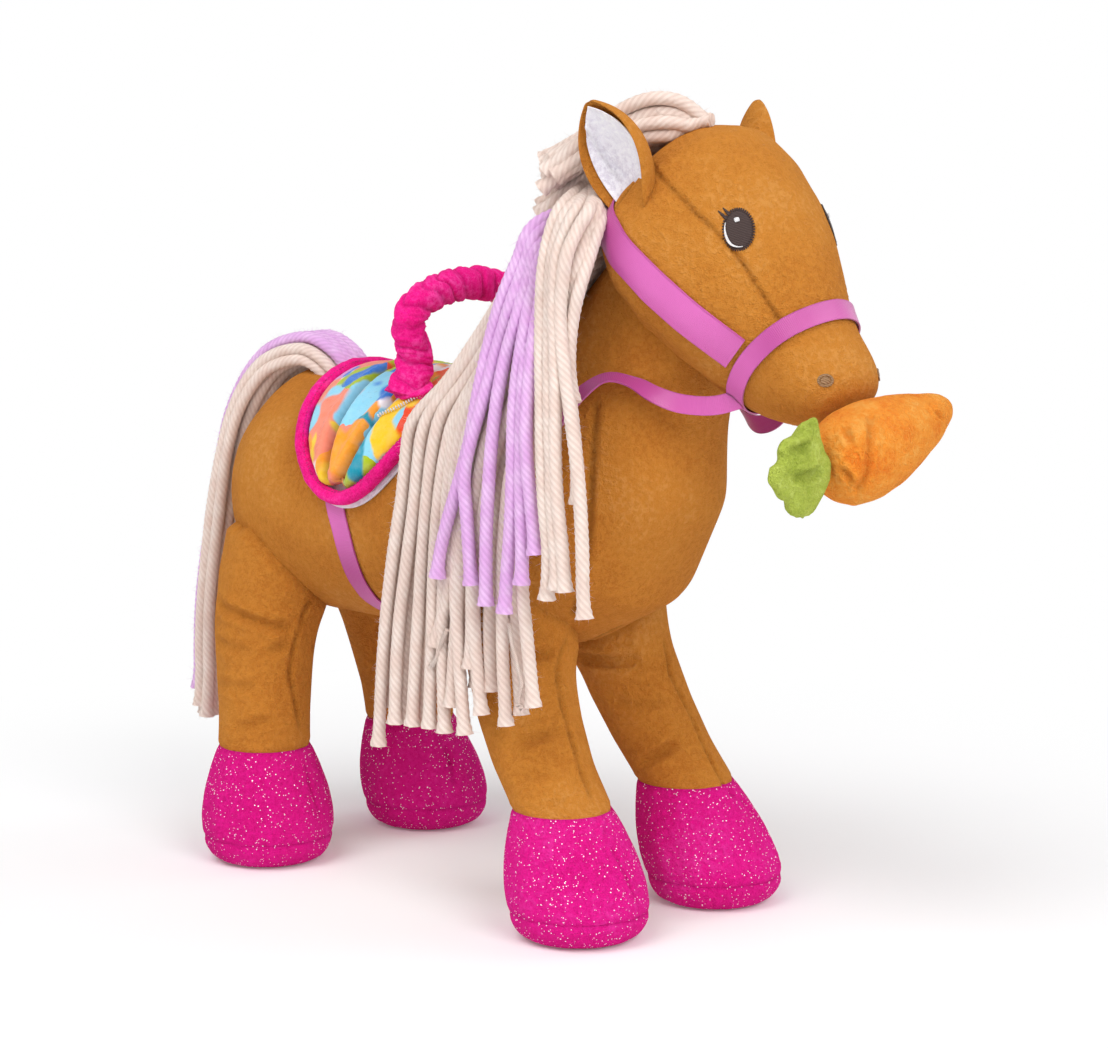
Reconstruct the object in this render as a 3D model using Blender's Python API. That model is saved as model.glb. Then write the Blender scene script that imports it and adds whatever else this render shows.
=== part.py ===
"""Plush horse with yarn mane and tail, ribbon bridle, padded saddle, carrying handle and a carrot.

Metres, +Z up, +X towards the nose, +Y to the horse's left. Every stuffed piece is a sewn skin
round its own filling. The origin lies on the ground, under the middle of the whole toy.
"""

import math

import bmesh
import bpy
from mathutils import Matrix, Vector
from mathutils.bvhtree import BVHTree

# Gaps and cloth thicknesses
CLEAR = 0.0003
RIBBON_CLEAR = 0.0009
SADDLE_CLEAR = 0.0011
PLUSH = 0.0015
SATIN = 0.0008
LAYER_CLEAR = 0.0005
SLACK = 0.0020

# Trunk and neck, one sewn skin that turns upwards at the withers
RUMP_X = -0.146
TRUNK_STRAIGHT = 0.166
TRUNK_DEPTH = 0.106
TRUNK_WIDTH = 0.108
BELLY_HEIGHT = 0.108
WITHERS_RADIUS = 0.013
NECK_LENGTH = 0.083
NECK_LEAN = math.radians(65)
TRUNK_SIDES = 24
# Place along the spine, half width, upper depth, lower depth
TRUNK_SHARES = (
    (0.008, 0.30, 0.30, 0.30),
    (0.029, 0.54, 0.55, 0.55),
    (0.064, 0.75, 0.77, 0.78),
    (0.114, 0.91, 0.93, 0.94),
    (0.182, 0.97, 1.00, 1.00),
    (0.280, 0.98, 1.00, 1.00),
    (0.384, 0.99, 1.00, 0.98),
    (0.487, 1.00, 1.00, 1.00),
    (0.581, 1.00, 1.00, 1.07),
    (0.653, 0.93, 0.99, 1.12),
    (0.731, 0.78, 0.93, 0.97),
    (0.814, 0.66, 0.82, 0.77),
    (0.897, 0.61, 0.67, 0.66),
    (0.960, 0.58, 0.52, 0.62),
    (1.000, 0.55, 0.38, 0.58),
)

# Head, a ball that narrows to the muzzle along an axis pitched down
HEAD_LENGTH = 0.134
HEAD_WIDTH = 0.089
HEAD_HEIGHT = 0.087
HEAD_PITCH = math.radians(42)
HEAD_AHEAD = 0.0231
HEAD_RISE = 0.0009
HEAD_BACK_SHARE = 0.374
HEAD_SIDES = 20
# Place along the head, half width, upper height, lower height, narrowing towards the top
HEAD_SHARES = (
    (0.020, 0.36, 0.48, 0.34, 0.04),
    (0.071, 0.68, 0.74, 0.58, 0.08),
    (0.156, 0.98, 0.95, 0.80, 0.12),
    (0.270, 1.07, 0.98, 0.93, 0.15),
    (0.411, 0.99, 0.93, 0.98, 0.15),
    (0.532, 0.86, 0.83, 0.95, 0.12),
    (0.638, 0.70, 0.68, 0.91, 0.08),
    (0.723, 0.57, 0.53, 0.86, 0.04),
    (0.801, 0.52, 0.43, 0.75, 0.00),
    (0.872, 0.52, 0.38, 0.60, 0.00),
    (0.936, 0.46, 0.33, 0.44, 0.00),
    (0.979, 0.34, 0.25, 0.27, 0.00),
)

# Legs, hooves and soles
LEG_SIDES = 12
LEG_RADIUS = 0.0205
HOOF_RADIUS = 0.0302
HOOF_SEAM_HEIGHT = 0.050
SOLE_SEAM_HEIGHT = 0.012
LEG_TOP_HEIGHT = 0.150
FRONT_HOOF = Vector((0.095, 0.041, 0))
HIND_HOOF = Vector((-0.092, 0.048, 0))
FRONT_REACH = 0.042
HIND_REACH = 0.008
FRONT_TUCK = 0.013
HIND_TUCK = 0.014
# Height between hoof seam and leg top, how far the centre has moved, half length, half width
FRONT_LEG_SHARES = (
    (1.00, 1.00, 1.00, 1.25, 1.10),
    (0.76, 0.90, 0.78, 1.22, 1.08),
    (0.54, 0.75, 0.52, 1.17, 1.05),
    (0.34, 0.55, 0.30, 1.13, 1.03),
    (0.16, 0.30, 0.12, 1.07, 1.01),
    (0.00, 0.00, 0.00, 1.02, 1.02),
)
HIND_LEG_SHARES = (
    (1.00, 0.50, 1.00, 1.02, 0.84),
    (0.76, 0.95, 0.84, 1.27, 1.07),
    (0.54, 0.92, 0.56, 1.22, 1.09),
    (0.34, 0.55, 0.32, 1.12, 1.04),
    (0.16, 0.20, 0.13, 1.04, 1.00),
    (0.00, 0.00, 0.00, 1.02, 1.02),
)
# Radius and height of the hoof's outline, from its seam to the sole's seam
FRONT_LEAN = 0.35
HIND_LEAN = 0.18
HOOF_TUCK = 0.10
HOOF_SHARES = ((0.70, 1.00), (0.82, 0.83), (0.935, 0.62), (0.995, 0.42), (0.985, 0.24))
# Radius and height of the sole's outline, from its seam to the flat underside
SOLE_SHARES = ((0.985, 1.00), (0.93, 0.52), (0.81, 0.13), (0.66, 0.00))

# Ears, each a leaf rolled at its base, with a lining inside it
EAR_HEIGHT = 0.041
EAR_WIDTH = 0.036
EAR_CUP = 0.011
EAR_BACK_THICKNESS = 0.0018
EAR_LINING_THICKNESS = 0.0009
EAR_SINK = 0.009
EAR_SHIFT = 0.0060
EAR_PLACE_SHARE = 0.125
EAR_ANGLE = math.radians(74)
EAR_LEAN_SHARES = (-0.35, 0.16, 0.93)
EAR_TURN = math.radians(86)
# Height up the ear, half width, cup depth
EAR_SHARES = (
    (0.00, 0.80, 1.35),
    (0.20, 0.95, 1.20),
    (0.42, 1.00, 0.95),
    (0.64, 0.86, 0.70),
    (0.84, 0.54, 0.42),
    (1.00, 0.14, 0.16),
)
EAR_LINING_SHARE = 0.80
EAR_COLUMNS = 7

# Embroidered eyes and nostrils
EYE_LENGTH = 0.0165
EYE_WIDTH = 0.0122
EYE_THICKNESS = 0.0010
EYE_PLACE_SHARE = 0.464
EYE_ANGLE = math.radians(45)
NOSTRIL_LENGTH = 0.0052
NOSTRIL_WIDTH = 0.0036
NOSTRIL_PLACE_SHARE = 0.935
NOSTRIL_ANGLE = math.radians(61)
STITCH_SIDES = 12
STITCH_RING_SHARES = (0.2, 0.45, 0.72, 1.0)

# Bridle ribbons
CHEEK_WIDTH = 0.016
NOSEBAND_WIDTH = 0.0085
REIN_WIDTH = 0.0100
GIRTH_WIDTH = 0.0110
NOSEBAND_PLACE_SHARE = 0.735
CHEEK_LEVEL = -0.009
CHEEK_END_WIDTH_SHARE = 0.56
CHEEK_STEPS = 48
NOSEBAND_STEPS = 32
# Right rein from under the noseband, round the jaw and the neck's foot, to the top of the withers.
# Place back from the noseband and height over its start, as shares of the rein's run and drop
REIN_RUN = 0.141
REIN_DROP = 0.034
REIN_STEPS = 42
REIN_START_ANGLE = math.radians(150)
REIN_SHARES = (
    (0.00, 0.00, 0.36),
    (0.05, -0.05, 0.52),
    (0.10, -0.02, 0.57),
    (0.16, 0.06, 0.62),
    (0.24, 0.06, 0.68),
    (0.30, -0.10, 0.78),
    (0.36, -0.36, 0.87),
    (0.45, -0.62, 0.93),
    (0.55, -0.80, 0.96),
    (0.66, -0.80, 0.96),
    (0.75, -0.62, 0.86),
    (0.81, -0.30, 0.60),
    (0.84, -0.12, 0.30),
    (0.845, -0.04, 0.00),
)

# Saddle: lining, quilted pad and rolled piping, laid over the back
SADDLE_X = -0.031
SADDLE_HALF_LENGTH = 0.049
SADDLE_HALF_ANGLE = math.radians(87)
SADDLE_PAD = 0.0062
SADDLE_LINING = 0.0010
PIPING_RADIUS = 0.0036
PIPING_STEPS = 60
PIPING_SIDES = 6
PAD_ROWS = 20
# Place across the pad, and thickness there: two sewn channels leave three padded lobes
PAD_SHARES = (
    (-1.00, 0.30),
    (-0.86, 0.82),
    (-0.66, 0.98),
    (-0.43, 0.80),
    (-0.33, 0.42),
    (-0.23, 0.82),
    (0.00, 1.00),
    (0.23, 0.82),
    (0.33, 0.42),
    (0.43, 0.80),
    (0.66, 0.98),
    (0.86, 0.82),
    (1.00, 0.30),
)
PAD_END_SHARE = 0.55
PAD_END_POWER = 6
PAD_ROW_SHARE = 0.97

# Girth under the belly
GIRTH_LEAN = 0.027
GIRTH_START = 0.0038
GIRTH_STEPS = 30

# Carrying handle over the saddle from side to side, with a core and a sewn foot at each end
HANDLE_X = -0.012
HANDLE_RADIUS = 0.0070
HANDLE_VALLEY_SHARE = 0.84
HANDLE_END_RADIUS = 0.0060
HANDLE_CORE_RADIUS = 0.0038
HANDLE_END_TURN = math.radians(40)
HANDLE_REACH = 0.0345
HANDLE_RISE = 0.037
HANDLE_FOOT_ANGLE = math.radians(31)
HANDLE_GATHERS = 18
HANDLE_SIDES = 9
HANDLE_CORE_STEPS = 16
HANDLE_SWELL_STEPS = 5
FOOT_THICKNESS = 0.0018
FOOT_CLEAR = 0.0010
FOOT_LENGTH = 0.022
FOOT_WIDTH = 0.014
# Place across the handle's reach and rise, between its right and its left end
HANDLE_SHARES = (
    (-0.98, 0.20),
    (-0.96, 0.38),
    (-1.00, 0.55),
    (-0.87, 0.74),
    (-0.59, 0.89),
    (-0.26, 0.98),
    (0.17, 1.00),
    (0.53, 0.95),
    (0.84, 0.77),
    (1.00, 0.55),
    (0.96, 0.38),
    (0.98, 0.20),
)

# Mane: a crest sewn along the neck, and two falls of yarn that hang beside it
CREST_START_SHARE = 0.804
CREST_END_SHARE = 0.22
CREST_END_LEAN = math.radians(55)
CREST_LEFT_ANGLE = math.radians(10)
CREST_RIGHT_ANGLE = math.radians(62)
CREST_END_RIGHT_ANGLE = math.radians(50)
CREST_THICKNESS = 0.0055
CREST_COLUMNS = 7
CREST_ROWS = 8
MANE_THICKNESS = 0.0090
MANE_CLEAR = 0.0018
LILAC_THICKNESS = 0.0052
MANE_TOP_BEHIND = 0.058
MANE_TOP_LENGTH = 0.027
MANE_TOP_HEIGHT = 0.300
MANE_TOP_OUT = 0.038
MANE_HEM_BEHIND = 0.134
MANE_HEM_LENGTH = 0.114
MANE_DROP = 0.228
MANE_ROWS = 11
MANE_EDGE_SHARE = 0.55
# Place along the mane, how soon a strand sweeps to its hem, and its length
MANE_SHARES = (
    (0.00, 3.2, 1.00),
    (0.14, 3.0, 1.00),
    (0.28, 2.6, 0.98),
    (0.42, 2.2, 0.96),
    (0.56, 1.8, 0.92),
    (0.70, 1.5, 0.91),
    (0.82, 1.3, 0.84),
    (0.90, 1.1, 0.74),
    (1.00, 1.0, 0.71),
)
LILAC_SHARES = (
    (0.26, 2.8, 0.66),
    (0.38, 2.4, 0.69),
    (0.50, 2.0, 0.70),
    (0.62, 1.7, 0.68),
    (0.74, 1.4, 0.62),
)

# Poll tuft, from the hairline back over the right side of the poll
TUFT_WIDTH = 0.027
TUFT_THICKNESS = 0.008
TUFT_LIFT = 0.026
TUFT_STEPS = 10
TUFT_COLUMNS = 6
TUFT_EDGE_SHARE = 0.35
# Aim from the head's middle: back, right and up. Lift over the head, as a share of its end's lift
TUFT_SHARES = (
    (0.10, -0.08, 0.47, 0.00),
    (0.23, 0.04, 0.56, 0.14),
    (0.38, 0.19, 0.55, 0.46),
    (0.50, 0.31, 0.48, 0.80),
    (0.62, 0.42, 0.38, 1.00),
)

# Tail, from its dock on the rump out and down
TAIL_ROOT_X = -0.090
TAIL_REACH = 0.078
TAIL_SIDE = 0.019
TAIL_DROP = 0.172
TAIL_THICKNESS = 0.0095
TAIL_WIDTH = 0.026
LILAC_WIDTH = 0.016
TAIL_STEPS = 16
TAIL_SIDES = 10
LILAC_TAIL_SHARE = 0.92
LILAC_TAIL_SKIP_STEPS = 2
TAIL_SHARES = (
    (0.00, 0.00, 0.000),
    (0.25, 0.12, 0.020),
    (0.52, 0.28, -0.030),
    (0.72, 0.45, -0.170),
    (0.85, 0.60, -0.400),
    (0.95, 0.78, -0.700),
    (1.00, 0.90, -1.000),
)
TAIL_WIDTH_SHARES = (0.62, 1.0, 1.0, 0.94, 0.86, 0.78, 0.64)

# Carrot and the two magnets that hold it to the mouth
CARROT_LENGTH = 0.074
CARROT_RADIUS = 0.0188
CARROT_RISE = math.radians(15)
CARROT_SIDES = 14
CARROT_SKIN = 0.0012
CARROT_HOLD_SHARE = 0.47
LEAF_LENGTH = 0.033
LEAF_HALF_WIDTH = 0.019
LEAF_THICKNESS = 0.0064
LEAF_RIM_SHARE = 0.84
LEAF_RISE_SHARE = 0.16
MAGNET_RADIUS = 0.0050
MAGNET_THICKNESS = 0.0020
MAGNET_DEPTH = 0.0050
MAGNET_SIDES = 16
# Place along the carrot from its crown to its tip, radius
CARROT_SHARES = (
    (0.006, 0.20),
    (0.022, 0.50),
    (0.058, 0.74),
    (0.115, 0.91),
    (0.230, 1.00),
    (0.380, 0.97),
    (0.560, 0.84),
    (0.740, 0.65),
    (0.890, 0.45),
    (0.970, 0.28),
)
# Length out from the crown, and width up or down: four rounded lobes
LEAF_SHARES = (
    (0.00, 0.14),
    (0.10, 0.66),
    (0.22, 0.98),
    (0.44, 0.97),
    (0.53, 0.66),
    (0.76, 0.56),
    (0.84, 0.32),
    (0.78, 0.12),
    (0.98, -0.02),
    (1.00, -0.34),
    (0.82, -0.58),
    (0.66, -0.70),
    (0.64, -0.94),
    (0.40, -1.00),
    (0.18, -0.80),
    (0.00, -0.14),
)

CARAMEL = (0.52, 0.22, 0.035, 1)
HOT_PINK = (0.80, 0.01, 0.28, 1)
GLITTER_PINK = (0.72, 0.01, 0.33, 1)
ORCHID = (0.66, 0.13, 0.45, 1)
CREAM = (0.80, 0.68, 0.57, 1)
LILAC = (0.66, 0.38, 0.80, 1)
WHITE = (0.88, 0.87, 0.89, 1)
ORANGE = (0.86, 0.26, 0.03, 1)
LEAF_GREEN = (0.36, 0.50, 0.07, 1)
DARK_BROWN = (0.04, 0.022, 0.018, 1)
TAN = (0.36, 0.20, 0.09, 1)
PRINT = (0.80, 0.42, 0.16, 1)
FIBRE = (0.86, 0.86, 0.84, 1)
STEEL = (0.55, 0.55, 0.57, 1)

UP = Vector((0, 0, 1))
LEFT = Vector((0, 1, 0))
FORWARD = Vector((1, 0, 0))
RIGHT_SIDE = -1
LEFT_SIDE = 1
FAR = 1.0
EMPTY_SIZE = 0.02
PUSH_ROUNDS = 3
PLUSH_ROUGH = 0.9
GLITTER_ROUGH = 0.6
THREAD_ROUGH = 0.5
SATIN_ROUGH = 0.35
STEEL_ROUGH = 0.3
SHARP_ANGLE = math.radians(40)


def clear_scene():
    for old in list(bpy.data.objects):
        bpy.data.objects.remove(old)


def finish(name, colour, roughness, metallic):
    made = bpy.data.materials.new(name)
    made.use_nodes = True
    shader = made.node_tree.nodes["Principled BSDF"]
    shader.inputs["Base Color"].default_value = colour
    shader.inputs["Roughness"].default_value = roughness
    shader.inputs["Metallic"].default_value = metallic
    return made


def add_object(name, mesh_bm, body):
    """Links an object made from a bmesh, and hangs it under the empty of the body it belongs to."""
    mesh = bpy.data.meshes.new(name)
    mesh_bm.to_mesh(mesh)
    mesh_bm.free()
    mesh.shade_smooth()
    mesh.set_sharp_from_angle(angle=SHARP_ANGLE)
    made = bpy.data.objects.new(name, mesh)
    bpy.context.scene.collection.objects.link(made)
    made.parent = body
    made.matrix_parent_inverse = Matrix.Translation(model_place(body)).inverted()
    return made


def add_piece(name, mesh_bm, body, colour, roughness=PLUSH_ROUGH, metallic=0):
    """A piece of the toy, with a finish of its own."""
    made = add_object(name, mesh_bm, body)
    made.data.materials.append(finish(name, colour, roughness, metallic))
    return made


def add_cutter(name, mesh_bm, body):
    """A shape that only cuts other pieces."""
    made = add_object(name, mesh_bm, body)
    made.hide_render = True
    made.display_type = "WIRE"
    return made


def add_body(name, place, parent=None):
    """An empty on the joint that carries a body. Its place is given in the toy's own frame."""
    made = bpy.data.objects.new(name, None)
    made.empty_display_size = EMPTY_SIZE
    bpy.context.scene.collection.objects.link(made)
    made.parent = parent
    made.location = place - model_place(parent)
    return made


def model_place(body):
    """Where an empty lies in the toy's own frame, before the toy is centred."""
    place = Vector()
    while body:
        place += body.location
        body = body.parent
    return place


def cut(piece, cutter):
    """Takes the cutter's shape out of a piece."""
    step = piece.modifiers.new("cut_" + cutter.name, "BOOLEAN")
    step.operation = "DIFFERENCE"
    step.object = cutter


def between(rows, place):
    """A row of a table at a place, read from a smooth curve through the table's rows."""
    last = len(rows) - 1
    at = max(k for k in range(last) if k == 0 or rows[k][0] <= place)
    p0, p1, p2, p3 = (rows[min(max(at + k, 0), last)] for k in (-1, 0, 1, 2))
    t = (place - p1[0]) / (p2[0] - p1[0])
    found = []
    for a, b, c, d in zip(p0, p1, p2, p3):
        bend = (3 * b - a - 3 * c + d) * t**3 + (2 * a - 5 * b + 4 * c - d) * t**2
        found.append((bend + (c - a) * t) / 2 + b)
    return found


def oval(centre, across, up, half_width, upper, lower, sides, narrowing=0.0):
    """A ring of points round a centre, with its own reach above and below it."""
    points = []
    for k in range(sides):
        turn = 2 * math.pi * k / sides
        rise, side = math.cos(turn), math.sin(turn)
        height = (upper if rise > 0 else lower) * rise
        points.append(centre + across * (half_width * side * (1 - narrowing * rise)) + up * height)
    return points


def add_tube(bm, rings, start=None, end=None):
    """Joins rings into a tube and closes it at the poles given. Returns the ring points."""
    made = [[bm.verts.new(p) for p in ring] for ring in rings]
    for low, high in zip(made, made[1:]):
        for k in range(len(low)):
            after = (k + 1) % len(low)
            bm.faces.new((low[k], low[after], high[after], high[k]))
    for pole, ring, turn in ((start, made[0], -1), (end, made[-1], 1)):
        if pole is not None:
            tip = bm.verts.new(pole)
            for k in range(len(ring)):
                after = (k + 1) % len(ring)
                bm.faces.new((ring[k], ring[after], tip)[::turn])
    return made


def close_ring(bm, ring, turn):
    bm.faces.new(ring[::turn])


def face_out(bm):
    bmesh.ops.recalc_face_normals(bm, faces=bm.faces)
    return bm


def solid_tube(rings, start=None, end=None):
    """A closed tube: capped flat at an end that has no pole."""
    bm = bmesh.new()
    made = add_tube(bm, rings, start, end)
    if start is None:
        close_ring(bm, made[0], -1)
    if end is None:
        close_ring(bm, made[-1], 1)
    return face_out(bm)


def skin_tube(outer, inner, outer_poles=(None, None), inner_poles=(None, None)):
    """A cloth tube with an outer and an inner surface, joined by a rim at each open end."""
    bm = bmesh.new()
    shell = add_tube(bm, outer, *outer_poles)
    hollow = add_tube(bm, inner, *inner_poles)
    for end, pole in ((0, outer_poles[0]), (-1, outer_poles[1])):
        if pole is None:
            for k in range(len(shell[end])):
                after = (k + 1) % len(shell[end])
                rim = (shell[end][k], shell[end][after], hollow[end][after], hollow[end][k])
                bm.faces.new(rim)
    return face_out(bm)


def nested_shell(outer_bm, inner_bm):
    """A closed hollow shell: one closed surface inside another, the inner one turned about."""
    inner_mesh = bpy.data.meshes.new("hollow")
    bmesh.ops.reverse_faces(inner_bm, faces=inner_bm.faces)
    inner_bm.to_mesh(inner_mesh)
    inner_bm.free()
    outer_bm.from_mesh(inner_mesh)
    return outer_bm


def surface(*pieces):
    """The surface of each bmesh or object, for rays and for finding the nearest point."""
    trees = []
    for piece in pieces:
        if isinstance(piece, bmesh.types.BMesh):
            trees.append(BVHTree.FromBMesh(piece))
        else:
            copy = bmesh.new()
            copy.from_mesh(piece.data)
            trees.append(BVHTree.FromBMesh(copy))
            copy.free()
    return trees


def first_hit(trees, start, aim):
    """The nearest point, its normal and its distance, where a ray meets one of some surfaces."""
    best = (None, None, FAR * 2)
    for tree in trees:
        point, normal, _, distance = tree.ray_cast(start, aim)
        if point and distance < best[2]:
            best = (point, normal, distance)
    return best


def outermost(trees, centre, aim):
    """Where a ray that comes in from far outside meets the surfaces."""
    return first_hit(trees, centre + aim * FAR, -aim)[0]


def stand_off(point, trees, gap):
    """A point pushed out of each surface until it keeps the gap."""
    for _ in range(PUSH_ROUNDS):
        for tree in trees:
            near, normal, _, _ = tree.find_nearest(point)
            if (point - near).dot(normal) < gap:
                point = near + normal * gap
    return point


def nearest_normal(point, trees):
    """The outward normal of the surface that lies nearest to a point."""
    found = [tree.find_nearest(point) for tree in trees]
    return min(found, key=lambda near: near[3])[1]


# Trunk and neck


def spine_length():
    return TRUNK_STRAIGHT + spine_radius() * NECK_LEAN + NECK_LENGTH


def spine_radius():
    return TRUNK_DEPTH / 2 + WITHERS_RADIUS


def trunk_height():
    """Height of the trunk's centre line over the ground."""
    return BELLY_HEIGHT + TRUNK_DEPTH / 2


def spine_at(length):
    """Centre of the trunk at a length along its spine, and the direction it runs in."""
    start = Vector((RUMP_X, 0, trunk_height()))
    if length <= TRUNK_STRAIGHT:
        return start + Vector((length, 0, 0)), Vector((1, 0, 0))
    pivot = start + Vector((TRUNK_STRAIGHT, 0, spine_radius()))
    turn = min((length - TRUNK_STRAIGHT) / spine_radius(), NECK_LEAN)
    along = Vector((math.cos(turn), 0, math.sin(turn)))
    centre = pivot + Vector((math.sin(turn), 0, -math.cos(turn))) * spine_radius()
    rest = length - TRUNK_STRAIGHT - spine_radius() * turn
    return centre + along * max(rest, 0), along


def trunk_rings(inset):
    """Rings of the trunk's surface, drawn in by an inset all over."""
    rings = []
    reach = spine_length() - 2 * inset
    for place, width, upper, lower in TRUNK_SHARES:
        centre, along = spine_at(inset + place * reach)
        up = LEFT.cross(along) * -1
        half = width * TRUNK_WIDTH / 2 - inset
        rings.append(
            oval(
                centre, LEFT, up, half,
                upper * TRUNK_DEPTH / 2 - inset,
                lower * TRUNK_DEPTH / 2 - inset,
                TRUNK_SIDES,
            )
        )
    return rings


def trunk_pole(inset):
    return spine_at(inset)[0]


def trunk_solid(inset):
    return solid_tube(trunk_rings(inset), start=trunk_pole(inset))


# Head


def head_axes():
    """The head's middle, the way its axis points, and the way that is up across it."""
    neck_end, _ = spine_at(spine_length())
    middle = neck_end + Vector((HEAD_AHEAD, 0, HEAD_RISE))
    along = Vector((math.cos(HEAD_PITCH), 0, -math.sin(HEAD_PITCH)))
    up = Vector((math.sin(HEAD_PITCH), 0, math.cos(HEAD_PITCH)))
    return middle, along, up


def head_point(place, inset=0.0):
    """A point of the head's axis, from its back at 0 to the nose at 1."""
    middle, along, _ = head_axes()
    reach = HEAD_LENGTH - 2 * inset
    return middle + along * (inset - HEAD_BACK_SHARE * HEAD_LENGTH + place * reach)


def head_solid(inset):
    _, _, up = head_axes()
    rings = []
    for place, width, upper, lower, narrowing in HEAD_SHARES:
        rings.append(
            oval(
                head_point(place, inset), LEFT, up,
                width * HEAD_WIDTH / 2 - inset,
                upper * HEAD_HEIGHT / 2 - inset,
                lower * HEAD_HEIGHT / 2 - inset,
                HEAD_SIDES, narrowing,
            )
        )
    return solid_tube(rings, start=head_point(0, inset), end=head_point(1, inset))


def head_surface_point(tree, place, angle):
    """Where a ray from the head's axis meets its skin, with the outward normal there."""
    _, _, up = head_axes()
    aim = up * math.cos(angle) + LEFT * math.sin(angle)
    far = head_point(place) + aim * HEAD_LENGTH
    point, normal, _ = first_hit(tree, far, -aim)
    return point, normal


# Legs


def hoof_centre(side, hoof, lean, height):
    """The middle of a hoof at a height: it leans back and inwards towards the leg."""
    rise = max(height - SOLE_SEAM_HEIGHT, 0)
    return Vector((hoof.x - lean * rise, side * (hoof.y - HOOF_TUCK * rise), height))


def leg_rings(side, hoof, lean, shares, reach, tuck, inset):
    """Rings of a leg from inside the trunk down to the hoof's seam."""
    rings = []
    seam = hoof_centre(side, hoof, lean, HOOF_SEAM_HEIGHT)
    for rise, back, draw_in, length, width in shares:
        height = CLEAR + rise * (LEG_TOP_HEIGHT - HOOF_SEAM_HEIGHT)
        centre = seam + Vector((-back * reach, -side * draw_in * tuck, height))
        rings.append(
            oval(
                centre, LEFT, FORWARD,
                width * LEG_RADIUS - inset,
                length * LEG_RADIUS - inset,
                length * LEG_RADIUS - inset,
                LEG_SIDES,
            )
        )
    return rings


def offset_outline(points, inset):
    """A (radius, height) outline moved inwards by an inset, square to its own run."""
    moved = []
    for k, (radius, height) in enumerate(points):
        before = points[max(k - 1, 0)]
        after = points[min(k + 1, len(points) - 1)]
        run = Vector((after[0] - before[0], after[1] - before[1])).normalized()
        moved.append((radius + run.y * inset, height - run.x * inset))
    return moved


def level_ends(rows, moved):
    """Keeps both ends of a moved outline at the heights that they had."""
    ends = [(moved[end][0], rows[end][1]) for end in (0, -1)]
    return [ends[0], *moved[1:-1], ends[1]]


def hoof_outline(inset):
    rows = [(r * HOOF_RADIUS, h * HOOF_SEAM_HEIGHT) for r, h in HOOF_SHARES]
    return level_ends(rows, offset_outline(rows, inset))


def sole_outline(inset):
    rows = [(r * HOOF_RADIUS, h * SOLE_SEAM_HEIGHT) for r, h in SOLE_SHARES]
    rows[0] = (rows[0][0], SOLE_SEAM_HEIGHT - CLEAR)
    moved = level_ends(rows, offset_outline(rows, inset))
    moved[-1] = (moved[-1][0], inset)
    return moved


def hoof_rings(side, hoof, lean, outline):
    """Round rings at each radius and height of an outline."""
    rings = []
    for radius, height in outline:
        centre = hoof_centre(side, hoof, lean, height)
        rings.append(oval(centre, LEFT, FORWARD, radius, radius, radius, LEG_SIDES))
    return rings


# Ribbons


def smooth_path(points, steps):
    """Evenly counted points on a smooth curve through some points."""
    rows = [(k, *p) for k, p in enumerate(points)]
    last = len(points) - 1
    return [Vector(between(rows, last * k / steps)[1:]) for k in range(steps + 1)]


def run_at(path, at, closed=False):
    """The direction of a path at one of its points."""
    last = len(path) - 1
    before = path[at - 1] if at or closed else path[0]
    after = path[(at + 1) % len(path)] if at < last or closed else path[last]
    return (after - before).normalized()


def strip(sections, closed=False):
    """A closed solid through sections of the same count of points."""
    bm = bmesh.new()
    made = [[bm.verts.new(p) for p in section] for section in sections]
    pairs = list(zip(made, made[1:]))
    if closed:
        pairs.append((made[-1], made[0]))
    for low, high in pairs:
        for k in range(len(low)):
            after = (k + 1) % len(low)
            bm.faces.new((low[k], low[after], high[after], high[k]))
    if not closed:
        close_ring(bm, made[0], -1)
        close_ring(bm, made[-1], 1)
    return face_out(bm)


def ribbon(path, width, tree, closed=False, grown=0.0):
    """A flat satin strip along a path, lying on a surface with a small gap to it."""
    sections = []
    for k, point in enumerate(path):
        run = run_at(path, k, closed)
        centre = stand_off(point, tree, RIBBON_CLEAR)
        normal = nearest_normal(centre, tree)
        across = run.cross(normal).normalized()
        inner = []
        for side in (-1, 0, 1):
            edge = centre + across * (side * (width / 2 + grown))
            inner.append(stand_off(edge, tree, RIBBON_CLEAR))
        face = across.cross(run).normalized()
        under = [p - face * grown for p in inner]
        sections.append(under + [p + face * (SATIN + grown) for p in reversed(inner)])
    return strip(sections, closed)


def plate(under, over):
    """A closed solid between two grids of points that have the same rows and columns."""
    bm = bmesh.new()
    low = [[bm.verts.new(p) for p in row] for row in under]
    high = [[bm.verts.new(p) for p in row] for row in over]
    rows, columns = len(low), len(low[0])
    for r in range(rows - 1):
        for c in range(columns - 1):
            for grid in (low, high):
                bm.faces.new((grid[r][c], grid[r + 1][c], grid[r + 1][c + 1], grid[r][c + 1]))
    edge = [(0, c) for c in range(columns)] + [(r, columns - 1) for r in range(1, rows)]
    edge += [(rows - 1, c) for c in reversed(range(columns - 1))]
    edge += [(r, 0) for r in reversed(range(1, rows - 1))]
    for (r0, c0), (r1, c1) in zip(edge, edge[1:] + edge[:1]):
        bm.faces.new((low[r0][c0], low[r1][c1], high[r1][c1], high[r0][c0]))
    return face_out(bm)


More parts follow.
